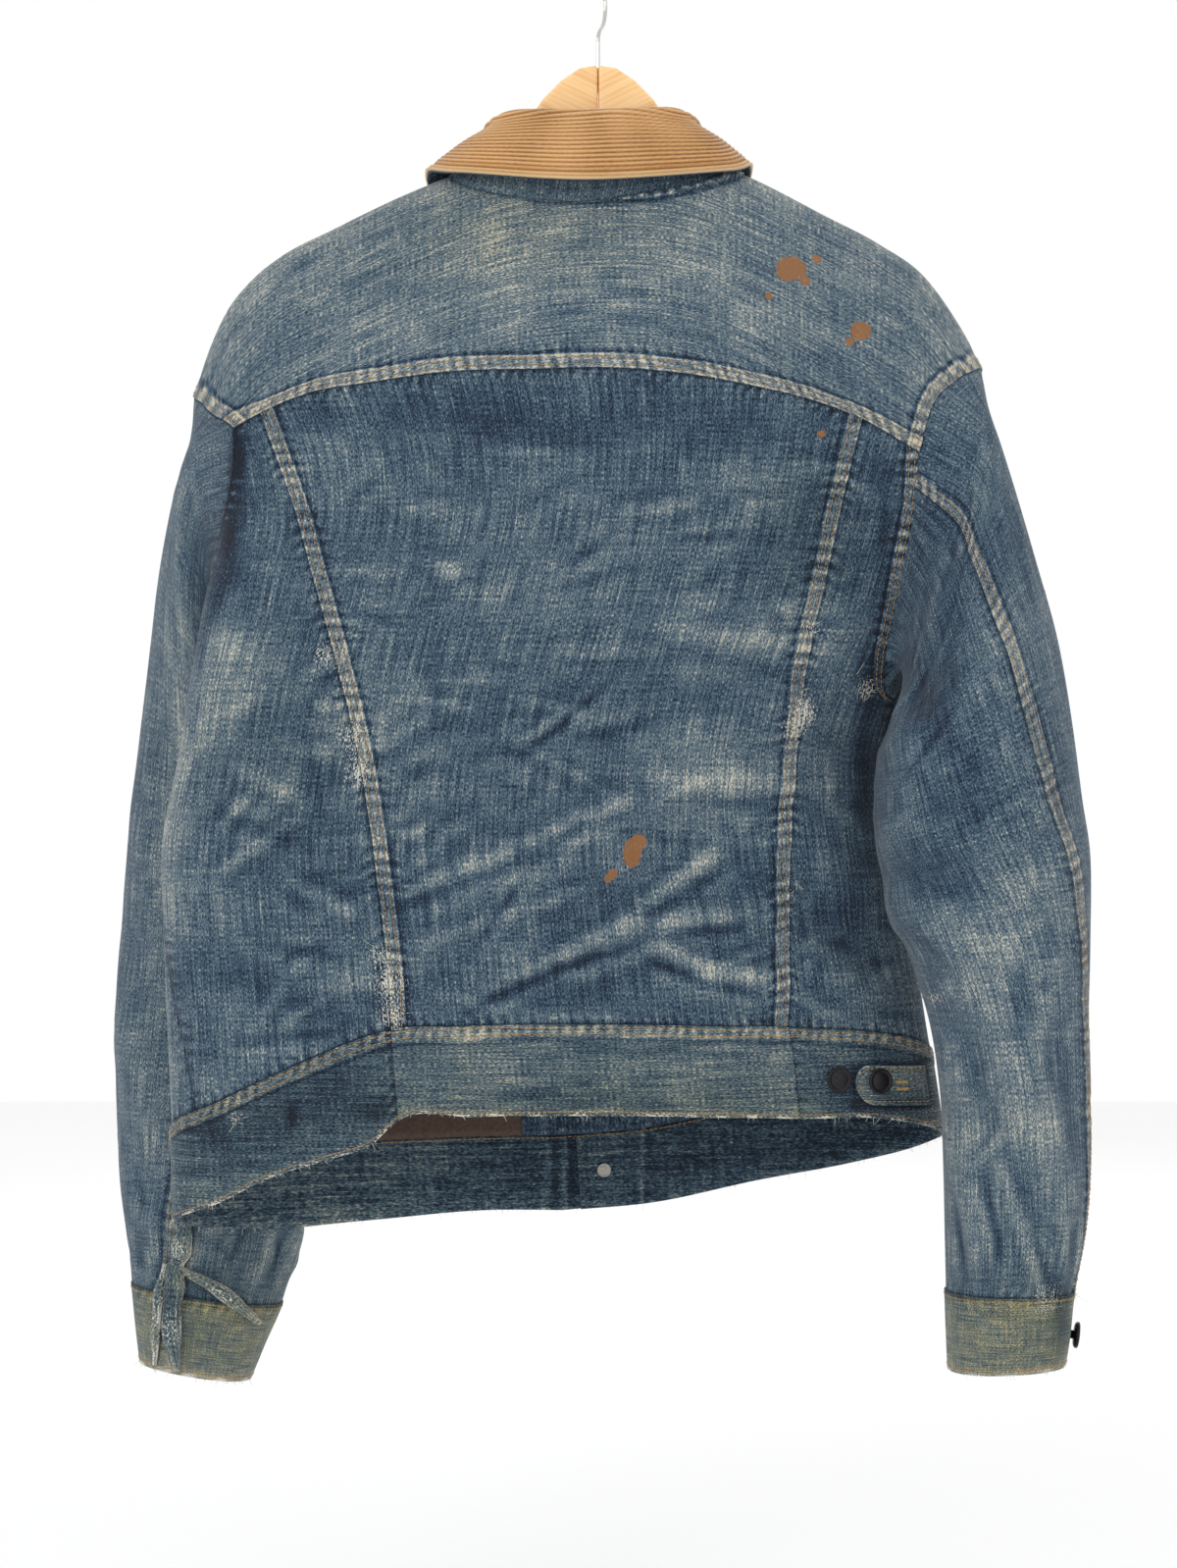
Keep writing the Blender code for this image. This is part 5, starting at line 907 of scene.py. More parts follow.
class Sleeve:
    """A sleeve hung from its armhole loop through the rings of its table."""

    def __init__(self, side, loop):
        self.rings = SLEEVE_LEFT if side == "left" else SLEEVE_RIGHT
        self.folds = FOLDS_LEFT_SLEEVE if side == "left" else FOLDS_RIGHT_SLEEVE
        self.skew = -UNDERARM_SKEW if side == "left" else UNDERARM_SKEW
        self.loop = loop
        length = lengths_along(loop)
        self.turns = 360.0 * length / length[-1] - TIP_TURN
        table = SLEEVE_SEAMS_LEFT if side == "left" else SLEEVE_SEAMS_RIGHT
        self.felled = self.nearest(table[0, 1])
        self.plain = self.nearest(table[0, 2])
        knots = np.arange(1.0, len(self.rings) + 1)
        self.felled_turns = table_at(table, knots)
        self.plain_turns = table_at(table, knots, 2)
        self.knots = np.concatenate([[0.0], knots])
        self.table_turns, self.table_places, self.table = self.relaxed()

    def nearest(self, turn):
        """Place in the loop nearest to a turn."""
        return int(np.argmin(np.abs(self.turns - turn)))

    def turned(self, turns):
        """Turns at every ring of lines that start at these turns of the armhole."""
        start = np.array((self.turns[self.felled], self.turns[self.plain]))
        anchors = np.concatenate([start - 360, start, start + 360, start + 720])
        share = np.clip(((turns - start[0]) % 360.0) / (start[1] - start[0]), 0, 1)
        slide = self.skew * (start[1] - start[0]) * share * (1 - share)
        turns = turns + slide
        rows = []
        for felled, plain in zip(self.felled_turns, self.plain_turns):
            here = np.array((felled, plain))
            ends = np.concatenate([here - 360, here, here + 360, here + 720])
            rows.append(np.interp(turns, anchors, ends))
        return np.array(rows)

    def drawn(self, turns, places):
        """Points on curves from the armhole through the rings, at turns within one round."""
        start = rows_at(turns, self.turns, self.loop)
        angles = np.radians(self.turned(turns))
        outer_x, outer_z, inner_x, inner_z, middle_y, half = (
            self.rings[:, k][:, None] for k in range(6)
        )
        power = 2 / SLEEVE_ROUND
        cosine = np.sign(np.cos(angles)) * np.abs(np.cos(angles)) ** power
        sine = np.sign(np.sin(angles)) * np.abs(np.sin(angles)) ** power
        x = (outer_x + inner_x) / 2 + (outer_x - inner_x) / 2 * cosine
        z = (outer_z + inner_z) / 2 + (outer_z - inner_z) / 2 * cosine
        rings = np.stack([x, middle_y - half * sine, z], axis=-1)
        return curve_through(self.knots, np.concatenate([start[None], rings]), places)

    def relaxed(self):
        """Table of points with the cloth below the underarm let out of its folds."""
        steps = np.diff(self.turns)
        wide = steps > TABLE_TURN
        halves = self.turns[:-1][wide] + steps[wide] / 2
        turns = np.sort(np.concatenate([self.turns[:-1], halves]))
        places = np.arange(0.0, self.knots[-1] + TABLE_PLACE / 2, TABLE_PLACE)
        table = self.drawn(turns, places)
        before = (turns - np.roll(turns, 1)) % 360.0
        after = (np.roll(turns, -1) - turns) % 360.0
        lean_back = (after / (before + after))[None, :, None]
        low = np.clip((RELAX_END - places) / RELAX_FADE, 0, 1)[:, None]
        away = np.abs(turns - UNDERARM_TURN)
        under = np.clip((RELAX_REACH - away) / RELAX_SIDES, 0, 1)[None, :]
        weight = (low * under)[1:-1, :, None]
        for _ in range(RELAX_ROUNDS):
            beside = np.roll(table, 1, axis=1) * lean_back
            beside = beside + np.roll(table, -1, axis=1) * (1 - lean_back)
            mean = beside[1:-1] * 0.5 + (table[2:] + table[:-2]) * 0.25
            table[1:-1] += weight * RELAX_GIVE * (mean - table[1:-1])
        turns = np.concatenate([turns[-3:] - 360, turns, turns[:4] + 360])
        return turns, places, np.concatenate([table[:, -3:], table, table[:, :4]], axis=1)

    def plain_points(self, turns, places):
        """Points of the sleeve before its folds, a row for each place down it."""
        wrapped = (turns + TIP_TURN) % 360.0 - TIP_TURN
        rows = curve_through(self.table_places, self.table, places)
        return curve_through(self.table_turns, rows.transpose(1, 0, 2), wrapped).transpose(1, 0, 2)

    def plain_normals(self, turns, places, turn_step, place_step):
        """Outward normals before the folds."""
        ahead = np.minimum(places + place_step, self.knots[-1])
        behind = np.maximum(places - place_step, 0.0)
        round_it = self.plain_points(turns + turn_step, places)
        round_it = round_it - self.plain_points(turns - turn_step, places)
        down_it = self.plain_points(turns, ahead) - self.plain_points(turns, behind)
        normals = unit(np.cross(round_it, down_it))
        return normals if self.rings[0, 0] > 0 else -normals

    def points(self, turns, places):
        """Points of the sleeve with its folds."""
        points = self.plain_points(turns, places)
        normals = self.plain_normals(turns, places, PLAIN_TURN, PLAIN_PLACE)
        angles = self.turned(turns)
        knots = np.concatenate([[0.0], np.arange(1.0, len(angles) + 1)])
        angles = np.concatenate([angles[:1], angles])
        low = np.clip(places.astype(int), 0, len(knots) - 2)
        part = (places - low)[:, None]
        here = (angles[low] * (1 - part) + angles[low + 1] * part) % 360.0
        away = np.broadcast_to((places * KNOT_LENGTH)[:, None], here.shape)
        fade = np.clip(places / FOLDS_IN, 0, 1) * np.clip((FOLDS_END - places) / FOLDS_OUT, 0, 1)
        height = fold_height(here, away, self.folds) * fade[:, None]
        return points + normals * height[..., None]

    def wall(self, turns, places):
        """Points and outward normals with the folds."""
        round_it = self.points(turns + WALL_TURN, places) - self.points(turns - WALL_TURN, places)
        ahead = np.minimum(places + WALL_PLACE, self.knots[-1])
        behind = np.maximum(places - WALL_PLACE, 0.0)
        down_it = self.points(turns, ahead) - self.points(turns, behind)
        normals = unit(np.cross(round_it, down_it))
        return self.points(turns, places), normals if self.rings[0, 0] > 0 else -normals


# Places on a sleeve where its cuff begins and ends.
CUFF_PLACE = 13.0
FOOT_PLACE = 15.0
# Turns of the columns over the felled seam's band, before the seam.
BAND_TURNS = np.array((10.6, 9.6, 8.4, 6.6, 4.6, 2.4, 0.8, 0.0))
BAND_CLEAR = 1.5
# Distance on the cloth for a degree of turn, for the weave.
DEGREE_LENGTH = 1.35


def collar_walls(walls, count):
    """Path of the collar's cloth over its fold; also sets the neck's normals."""
    neck = count["neck_front"]
    shoulders = count["shoulder"]
    left_points, left_normals = (part[-1, :neck + 1] for part in walls["front_left"])
    right_points, right_normals = (part[-1, -neck - 1:] for part in walls["front_right"])
    back_points, back_normals = (part[-1, shoulders:-shoulders] for part in walls["yoke_back"])
    top_points, top_normals = (part[-1] for part in walls["placket_right"])
    middle = len(top_points) // 2
    left_end = top_points[middle + 1]
    right_end = top_points[middle - 1]
    base = np.concatenate([
        [left_end], left_points, back_points[1:-1], right_points, [right_end],
    ])
    normals = np.concatenate([
        [top_normals[-1]], left_normals, back_normals[1:-1], right_normals, [top_normals[0]],
    ])
    length = lengths_along(base)
    share = length / length[-1]
    fold = np.stack([table_at(COLLAR, share, k) for k in (1, 2, 3)], axis=1)
    edge = np.stack([table_at(COLLAR, share, k) for k in (4, 5, 6)], axis=1)
    run = np.gradient(fold, axis=0)
    out = unit(np.stack([run[:, 1], -run[:, 0], np.zeros(len(run))], axis=1))
    if out[len(out) // 2, 1] > 0:
        out = -out
    up = np.array((0.0, 0.0, 1.0))
    path = [
        base + up * 0.35,
        base * 0.5 + (fold - out * COLLAR_ROLL) * 0.5,
        fold - out * COLLAR_ROLL - up * 1.5,
        fold - out * COLLAR_ROLL * 0.72 + up * COLLAR_ROLL * 0.62,
        fold + up * COLLAR_ROLL * 0.95,
        fold + out * COLLAR_ROLL * 0.72 + up * COLLAR_ROLL * 0.62,
        fold + out * COLLAR_ROLL - up * 1.5,
        (fold + out * COLLAR_ROLL) * 0.64 + edge * 0.36 + out * 1.5,
        (fold + out * COLLAR_ROLL) * 0.32 + edge * 0.68 + out * 1.2,
        edge,
    ]
    path = np.array(path)
    round_it = np.gradient(path, axis=1)
    over_it = np.gradient(path, axis=0)
    turned = unit(np.cross(round_it, over_it))
    if turned[4, len(base) // 2, 2] < 0:
        turned = -turned
    away = np.concatenate([
        [walls["placket_right"][0][-2, -1] - top_points[-1]],
        walls["front_left"][0][-2, :neck + 1] - left_points,
        (walls["yoke_back"][0][-2, shoulders:-shoulders] - back_points)[1:-1],
        walls["front_right"][0][-2, -neck - 1:] - right_points,
        [walls["placket_right"][0][-2, 0] - top_points[0]],
    ])
    mixed = mitre(normals, -turned[0], away, path[1] - path[0], base)
    turned[0] = -mixed
    walls["front_left"][1][-1, :neck + 1] = mixed[1:neck + 2]
    walls["front_right"][1][-1, -neck - 1:] = mixed[-neck - 2:-1]
    walls["yoke_back"][1][-1, shoulders:-shoulders] = mixed[neck + 1:-neck - 1]
    walls["placket_right"][1][-1] = unit(mixed[0] + mixed[-1])
    return path, turned


# Buttons, snap and tab: across and height, sizes, turn and place on the sleeve.
BUTTON_RADIUS = 8.5
BUTTON_HEIGHT = 5.0
TAB_BUTTON = (181.0, -717.0)
BARE_BUTTON = (155.0, -715.0)
FRONT_BUTTONS = (-240.0, -375.0, -510.0, -645.0)
FRONT_BUTTON_ACROSS = 10.0
BAND_BUTTON = -784.0
SNAP = (4.0, -783.0)
SNAP_RADIUS = 4.75
SNAP_HEIGHT = 2.4
CUFF_BUTTON_TURN = 17.0
CUFF_BUTTON_PLACE = 14.0
TAB_START = 167.0
TAB_END = 214.0
TAB_MIDDLE = -719.0
TAB_HALF = 13.0
TAB_ROUND = 0.22
TAB_CLOTH = 2.0
TAB_DROP = 3.0
TAB_COLUMNS = 60
TAB_ROWS = 24
LINING_CLOTH = 1.2
BUTTON_STEPS = 40
# A button's outline from its middle over the rim to its shank: shares of its
# radius and height.
BUTTON_PROFILE = (
    (0.02, 1.02), (0.30, 1.0), (0.62, 0.93), (0.70, 0.88), (0.76, 0.90), (0.84, 1.0), (0.93, 1.0),
    (1.0, 0.90), (1.0, 0.74), (0.95, 0.55), (0.80, 0.42), (0.32, 0.40), (0.32, 0.0), (0.02, 0.0),
)

# Finer creases of the back: start and end (across, height), width, height.
CREASES_BACK = (
    (-128, -592, -82, -574, 6.4, 2.3), (-82, -574, -28, -552, 6.4, 2.3),
    (-28, -552, 22, -531, 6.4, 2.3), (-132, -602, -82, -585, 5.6, -1.7),
    (-82, -585, -25, -563, 5.6, -1.7), (81, -561, 43, -590, 6.4, 2.3),
    (43, -590, 14, -611, 6.4, 2.3), (88, -572, 50, -600, 6.4, -2.1),
    (50, -600, 25, -616, 6.4, -2.1), (-40, -640, 9, -615, 6.4, 3.2),
    (9, -615, 43, -609, 6.4, 3.2), (43, -609, 91, -606, 6.4, 3.2),
    (35, -623, -25, -640, 5.6, -3.2), (-25, -640, -82, -667, 5.6, -3.2),
    (50, -618, 88, -615, 4.8, -2.1), (35, -625, 74, -642, 5.6, 2.7),
    (74, -642, 112, -648, 5.6, 2.7), (28, -633, 66, -651, 4.8, -2.1),
    (66, -651, 101, -658, 4.8, -2.1), (44, -422, 151, -435, 7.2, 1.6),
    (50, -438, 145, -454, 6.4, -1.3), (19, -517, 151, -523, 8, 1.9),
    (25, -531, 145, -540, 6.4, -1.6), (-113, -624, -57, -605, 5.6, 1.7),
    (-57, -605, -6, -589, 5.6, 1.7), (-107, -655, -44, -671, 5.6, 1.7),
    (-44, -671, 19, -674, 5.6, 1.7), (-113, -681, -32, -688, 4.8, 1.4),
    (-32, -688, 57, -686, 4.8, 1.4), (120, -655, 158, -677, 5.6, 1.7),
    (94, -674, 145, -687, 4.8, -1.4), (-82, -498, -32, -479, 7.2, 1.3),
    (-32, -479, 19, -476, 7.2, 1.3), (-113, -460, -57, -454, 6.4, 1.1),
    (-195, -586, -151, -605, 6.4, 1.9), (-214, -624, -164, -633, 6.4, -1.9),
    (-208, -655, -145, -649, 6.4, 1.9), (-227, -687, -164, -681, 5.6, -1.7),
    (-233, -511, -183, -536, 7.2, 1.7), (-239, -542, -189, -561, 7.2, -1.7),
    (151, -536, 183, -561, 6.4, 1.7), (145, -624, 183, -637, 6.4, -1.7),
)
# Paler and darker patches: the worn cloth's fading, and painted shade in the narrow dark
# marks along the armholes and near the cuffs: across, height, reach both ways, paler (+) or darker
# (-).
TONES_AND_SHADE = np.array((
    (-6, -284, 151, 23, -0.12), (-57, -177, 164, 38, 0.08),
    (-243, -454, 35, 50, 0.22), (-195, -555, 38, 38, -0.03),
    (98, -429, 60, 25, 0.18), (82, -517, 69, 21, 0.22),
    (154, -599, 50, 28, -0.1), (-32, -659, 57, 11, -0.1),
    (88, -649, 38, 11, 0.14), (255, -611, 32, 44, 0.16),
    (217, -504, 29, 88, -0.2), (236, -372, 38, 57, -0.08),
    (82, -750, 88, 13, -0.06), (252, -744, 38, 69, 0.12),
    (-290, -681, 16, 101, 0.1), (-249, -366, 21, 50, -0.1),
    (-142, -460, 25, 38, 0.1), (-246, -744, 9, 10, -0.3),
    (-142, -731, 11, 8, -0.26), (202, -731, 21, 9, -0.22),
    (-6, -586, 107, 57, 0.05), (-88, -372, 76, 69, 0.06),
    (50, -372, 76, 69, 0.02), (-6, -700, 126, 16, 0.08),
    (-107, -567, 38, 32, 0.08), (252, -422, 19, 57, 0.04),
    (309, -832, 19, 38, 0.1), (-277, -523, 16, 57, 0.1),
    (-227, -838, 38, 38, 0.06), (295, -860, 8, 25, -0.34),
    (-195, -734, 4, 8, -0.4), (165, -586, 10, 19, -0.1),
    (173, -517, 8, 38, -0.3), (178, -460, 8, 32, -0.3),
    (186, -403, 6, 38, -0.22), (-233, -306, 5, 15, -0.36),
    (-234, -320, 6, 21, -0.36), (-239, -359, 6, 21, -0.34),
    (-249, -397, 7, 21, -0.34), (-257, -432, 7, 21, -0.32),
    (-262, -470, 6, 25, -0.26), (186, -347, 5, 25, -0.14),
    (151, -315, 19, 38, -0.1), (164, -397, 10, 38, -0.1),
    (-284, -857, 8, 25, -0.22),
), float)
# Yellowed places: across, height, reach both ways, strength.
YELLOWED = np.array((
    (-57, -164, 94, 32, 0.25), (139, -359, 38, 44, 0.2),
    (19, -731, 189, 16, 0.25), (290, -863, 44, 38, 0.25),
    (-239, -863, 57, 38, 0.25), (-195, -498, 57, 57, 0.1),
), float)
# Brown stains: across, height, half sizes.
STAINS = np.array((
    (125, -189, 10.9, 9.4), (142, -182, 3.6, 2.9),
    (134, -197, 4.3, 2.9), (110, -207, 2.9, 2.9),
    (170, -229, 8, 6.5), (163, -236, 3.6, 2.9),
    (144, -296, 2.9, 2.9), (21, -567, 6.5, 10.9),
    (25, -560, 5.8, 6.5), (9, -580, 3.6, 3.6),
    (6, -583, 2.9, 2.9),
), float)
# Places on the slanted seams worn white: across, height, reach, strength.
WORN = np.array((
    (134, -474, 10.1, 0.62), (127, -488, 8.8, 0.5),
    (-173, -440, 11.3, 0.45), (-156, -493, 11.3, 0.5),
    (-152, -514, 11.3, 0.5), (-134, -649, 12.6, 0.6),
    (139, -422, 8.8, 0.4), (-131, -671, 10.1, 0.55),
    (-139, -630, 8.8, 0.45), (217, -659, 5.7, 0.5),
    (284, -851, 12.6, 0.45), (175, -460, 8.8, 0.5),
    (129, -588, 5, 0.4), (-231, -736, 4.4, 0.4),
), float)


def random_creases(seed, number, first, second, reach, tilt):
    """Small creases strewn over a region, the same each time."""
    draw = np.random.default_rng(seed)
    creases = []
    for _ in range(number):
        x = draw.uniform(*first)
        z = draw.uniform(*second)
        turn = draw.normal(tilt, 0.45)
        length = draw.uniform(*reach)
        creases.append((
            x, z, x + length * math.cos(turn), z + length * math.sin(turn),
            draw.uniform(3.8, 8.0), draw.choice((-1, 1)) * draw.uniform(0.4, 1.5),
        ))
    return tuple(creases)


# Gathers above the cuffs: start and end (turn, distance), width, height.
CUFF_CREASES = (
    (112, 490, 72, 588, 7, 3.2), (124, 505, 96, 592, 6, -2.6), (60, 530, 46, 592, 6, 2.6),
    (134, 535, 124, 592, 6, 2.4), (86, 548, 60, 594, 5, -2.2), (150, 520, 142, 592, 7, -2.4),
    (30, 545, 26, 592, 6, 2.2), (104, 560, 100, 594, 5, 2.0), (72, 400, 96, 470, 8, 2.2),
)
FOLDS_BACK = FOLDS_BACK + CREASES_BACK + random_creases(
    3, 70, (-250, 200), (-690, -480), (25, 80), 0.25,
) + random_creases(5, 40, (-200, 160), (-480, -300), (20, 60), 0.1)
FOLDS_FRONT = FOLDS_FRONT + random_creases(
    8, 60, (-230, 200), (-720, -260), (25, 90), 0.3,
)
FOLDS_RIGHT_SLEEVE = FOLDS_RIGHT_SLEEVE + CUFF_CREASES + random_creases(
    11, 80, (0, 350), (30, 570), (18, 60), 0.6,
)
FOLDS_LEFT_SLEEVE = FOLDS_LEFT_SLEEVE + CUFF_CREASES + random_creases(
    12, 80, (0, 350), (30, 570), (18, 60), 0.6,
)


def ripple(run, seed):
    """Uneven puckers along a seam, from -1 to 1."""
    wander = 1.5 * np.sin(run / 29.0 + seed) + 0.8 * np.sin(run / 11.3 + 2.7 * seed)
    return np.sin(run * 0.74 + wander + seed) * (0.62 + 0.38 * np.sin(run / 8.7 + 2.1 * seed))


def blotches(x, z, size, seed):
    """Soft unevenness over the cloth, about -1 to 1."""
    draw = np.random.default_rng(seed)
    total = np.zeros(np.shape(x))
    for _ in range(7):
        turn = draw.uniform(0, math.pi)
        pitch = size * draw.uniform(0.7, 1.6)
        phase = draw.uniform(0, 6.28)
        step = (x * math.cos(turn) + z * math.sin(turn)) / pitch * 2 * math.pi
        total += np.sin(step + phase + 1.2 * np.sin(step * 0.37 + phase * 3))
    return total / 4.0


def seam_field(points, side):
    """Distance from one side of a grid, and the run along that side."""
    if side in ("left", "right"):
        steps = np.linalg.norm(np.diff(points, axis=1), axis=2)
        away = np.concatenate([np.zeros((len(points), 1)), np.cumsum(steps, axis=1)], axis=1)
        if side == "right":
            away = away[:, -1:] - away
        run = lengths_along(points[:, 0 if side == "left" else -1])[:, None]
    else:
        steps = np.linalg.norm(np.diff(points, axis=0), axis=2)
        away = np.concatenate([np.zeros((1, points.shape[1])), np.cumsum(steps, axis=0)], axis=0)
        if side == "top":
            away = away[-1:] - away
        run = lengths_along(points[0 if side == "bottom" else -1])[None, :]
    return away, np.broadcast_to(run, away.shape)


# A felled band: its two stitched rows, where it ends, and how deep the rows sink.
STITCH_NEAR = 2.4
STITCH_FAR = 6.8
BAND_END = 9.8
STITCH_SINK = 0.42
# Puckers beside a seam: height and reach.
PUCKER_HEIGHT = 0.42
PUCKER_REACH = 6.0


def band_relief(away):
    """Height of a felled seam's band across it, sunk at its two stitched rows."""
    rows = hump(away, 0.9, STITCH_NEAR) + hump(away, 0.9, STITCH_FAR)
    return within(away, BAND_END, 1.0) * (1.0 - STITCH_SINK * rows)


# Seams of each piece: side, whether its band is raised there, seed of its puckers.
SEAMS = {
    "yoke_back": (("bottom", 1.0, 1.0), ("left", 0.8, 2.0), ("right", 0.8, 3.0)),
    "back_centre": (("left", 1.0, 4.0), ("right", 1.0, 5.0), ("top", 0.0, 1.0),
                    ("bottom", 0.0, 6.0)),
    "back_side_left": (("right", 0.0, 4.0), ("left", 0.0, 7.0), ("top", 0.0, 1.0),
                       ("bottom", 0.0, 6.0)),
    "back_side_right": (("left", 0.0, 5.0), ("right", 0.0, 8.0), ("top", 0.0, 1.0),
                        ("bottom", 0.0, 6.0)),
    "front_left": (("right", 0.0, 7.0), ("bottom", 0.0, 6.0), ("top", 0.0, 9.0)),
    "front_right": (("left", 0.0, 8.0), ("bottom", 0.0, 6.0), ("top", 0.0, 9.0)),
    "placket_left": (("left", 0.6, 10.0), ("right", 0.6, 11.0)),
    "placket_right": (),
    "waistband_back": (("top", 0.0, 6.0),),
    "waistband_left": (("top", 0.0, 6.0), ("right", 0.0, 12.0)),
    "waistband_right": (("top", 0.0, 6.0), ("left", 0.0, 13.0)),
}


# Rubbed ridges and painted shade in hollows: reach in points, strength for each millimetre of bulge
# and its limit; its share on sleeves and body; how far hollows darken (painted shade) and ridges
# pale (wear).
RUB_AND_HOLLOW_SHADE = ((1, 0.70, 0.20), (2, 0.22, 0.14), (5, 0.05, 0.12))
SLEEVE_RUB_AND_SHADE = 0.45
BODY_RUB_AND_SHADE = 0.85
DARKEST = -1.4
PALEST = 0.62


class Piece:
    """A cut piece of cloth as a fine grid, with what its look needs."""

    def __init__(self, name, points, normals, weave, thick, fade, yellow=0.0):
        self.name = name
        self.points = points
        self.normals = normals
        self.weave = weave
        self.thick = np.full(points.shape[:2], float(thick))
        # fade holds how pale the cloth is: its fading and wear, and the painted shade and shadow
        # lines added later.
        self.fade = np.full(points.shape[:2], float(fade))
        self.yellow = np.full(points.shape[:2], float(yellow))
        self.white = np.zeros(points.shape[:2])
        self.inner_fade = 0.30
        self.rows = []

    def outer(self):
        """Points of the outer face."""
        return self.points + self.normals * self.thick[..., None]

    def wear(self, side, reach, amount, seed):
        """Edge rubbed white, unevenly."""
        away, run = seam_field(self.points, side)
        uneven = 0.55 + 0.45 * ripple(run * 0.37, seed)
        self.white += amount * uneven * hump(away, reach)
        self.fade += 0.16 * hump(away, reach * 2.5)

    def add_seam(self, side, raised, seed, start=0.0):
        """Band, puckers, wear and painted shadow lines along one side, from a share of its rows on.
        """
        away, run = seam_field(self.points, side)
        pucker = ripple(run + away * 0.35, seed)
        if start:
            away = away.copy()
            away[:int(round(start * (len(away) - 1)))] = 1000.0
        if raised:
            relief = band_relief(away) * (1 + 0.22 * pucker)
            self.thick += SEAM_RELIEF * raised * relief
            on_band = within(away, 9.6, 0.8)
            self.fade += on_band * (0.10 + 0.17 * pucker)
            edge = hump(away, 1.1, 0.6) + 0.7 * hump(away, 0.9, 8.6)
            self.fade += edge * (0.12 + 0.06 * pucker)
            # Painted shadow: a dark line just past the raised band's edge.
            self.fade -= 0.22 * hump(away, 1.3, 10.6)
        else:
            # Painted shadow of the neighbouring raised band: a dark line along the seam.
            self.fade -= 0.20 * hump(away, 1.6)
            self.fade += hump(away, 7.0) * 0.10 * pucker
        beyond = np.clip(away - (9.5 if raised else 0.0), 0, None)
        near = hump(beyond, PUCKER_REACH) * (beyond > 0)
        self.points = self.points + self.normals * (PUCKER_HEIGHT * pucker * near)[..., None]

    def line(self, side, distance, start=0.0, end=1.0, inside=False):
        """Points and normals along a row at a distance from one side."""
        away, _ = seam_field(self.points, side)
        surface = self.points + self.normals * (-0.05 if inside else self.thick[..., None])
        facing = -self.normals if inside else self.normals
        if side in ("bottom", "top"):
            away = away.T
            surface = surface.transpose(1, 0, 2)
            facing = facing.transpose(1, 0, 2)
        points = []
        normals = []
        first = int(round(start * (len(away) - 1)))
        last = int(round(end * (len(away) - 1))) + 1
        for row, line, normal in zip(away[first:last], surface[first:last], facing[first:last]):
            order = np.argsort(row)
            points.append(rows_at(distance, row[order], line[order]))
            normals.append(rows_at(distance, row[order], normal[order]))
        return np.array(points), unit(np.array(normals))

    def paint(self):
        """Tones, yellowing, stains and wear of the outer face, with painted shade in its dark marks
        and hollows.
        """
        x = self.points[..., 0]
        z = self.points[..., 2]
        turned = 1.0 if self.name.startswith(("sleeve", "cuff")) else 0.6
        behind = np.clip(-self.normals[..., 1] * 2.0 + turned, 0, 1)
        # The first table adds fading and painted shade to fade, the second adds yellowing.
        for layer, marks in ((self.fade, TONES_AND_SHADE), (self.yellow, YELLOWED)):
            for cx, cz, rx, rz, amount in marks:
                spot = np.exp(-((x - cx) / rx) ** 2 - ((z - cz) / rz) ** 2)
                layer += behind * amount * spot
        self.stain = np.zeros(x.shape)
        for cx, cz, rx, rz in STAINS:
            spot = np.exp(-(((x - cx) / rx) ** 2 + ((z - cz) / rz) ** 2) * 0.9)
            self.stain = np.maximum(self.stain, spot * (behind > 0.5))
        for cx, cz, reach, amount in WORN:
            self.white += behind * amount * np.exp(-((x - cx) ** 2 + (z - cz) ** 2) / reach**2)
        self.fade += 0.05 * blotches(x, z, 120.0, 21) + 0.035 * blotches(x, z, 45.0, 22)
        # Ridges are paled as rubbed wear; hollows are darkened as painted shade.
        outer = self.outer()
        gain = SLEEVE_RUB_AND_SHADE if self.name.startswith(("sleeve", "cuff")) else BODY_RUB_AND_SHADE
        for reach, strength, most in RUB_AND_HOLLOW_SHADE:
            if min(outer.shape[:2]) < 4 * reach:
                continue
            padded = np.pad(outer, ((reach, reach), (reach, reach), (0, 0)), mode="edge")
            rows, columns = outer.shape[:2]
            mean = 0.0
            for i, j in ((0, 1), (2, 1), (1, 0), (1, 2)):
                mean = mean + padded[i * reach:i * reach + rows, j * reach:j * reach + columns] / 4
            bulge = np.sum((outer - mean) * self.normals, axis=-1)
            bulge -= np.median(bulge)
            bulge[:reach] = 0
            bulge[-reach:] = 0
            bulge[:, :reach] = 0
            bulge[:, -reach:] = 0
            self.fade += gain * np.clip(bulge * strength, DARKEST * most, PALEST * most)


def mesh_of(name, vertices, faces, smooth=True):
    """An object from points in table millimetres."""
    mesh = bpy.data.meshes.new(name)
    vertices = (np.asarray(vertices, float) - (0.0, 0.0, HOOK_RISE)) * MM
    faces = np.asarray(faces, np.int32)
    mesh.vertices.add(len(vertices))
    mesh.vertices.foreach_set("co", vertices.ravel())
    mesh.loops.add(faces.size)
    mesh.loops.foreach_set("vertex_index", faces.ravel())
    mesh.polygons.add(len(faces))
    mesh.polygons.foreach_set("loop_start", np.arange(0, faces.size, faces.shape[1]))
    mesh.polygons.foreach_set("use_smooth", np.full(len(faces), smooth))
    mesh.update(calc_edges=True)
    mesh.validate()
    item = bpy.data.objects.new(name, mesh)
    bpy.context.scene.collection.objects.link(item)
    return item


def declare(item, material, stands_for=None):
    """Gives a mesh its material and says where it belongs."""
    item.data.materials.append(material)
    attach(item, "root")
    if stands_for:
        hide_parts(stands_for)


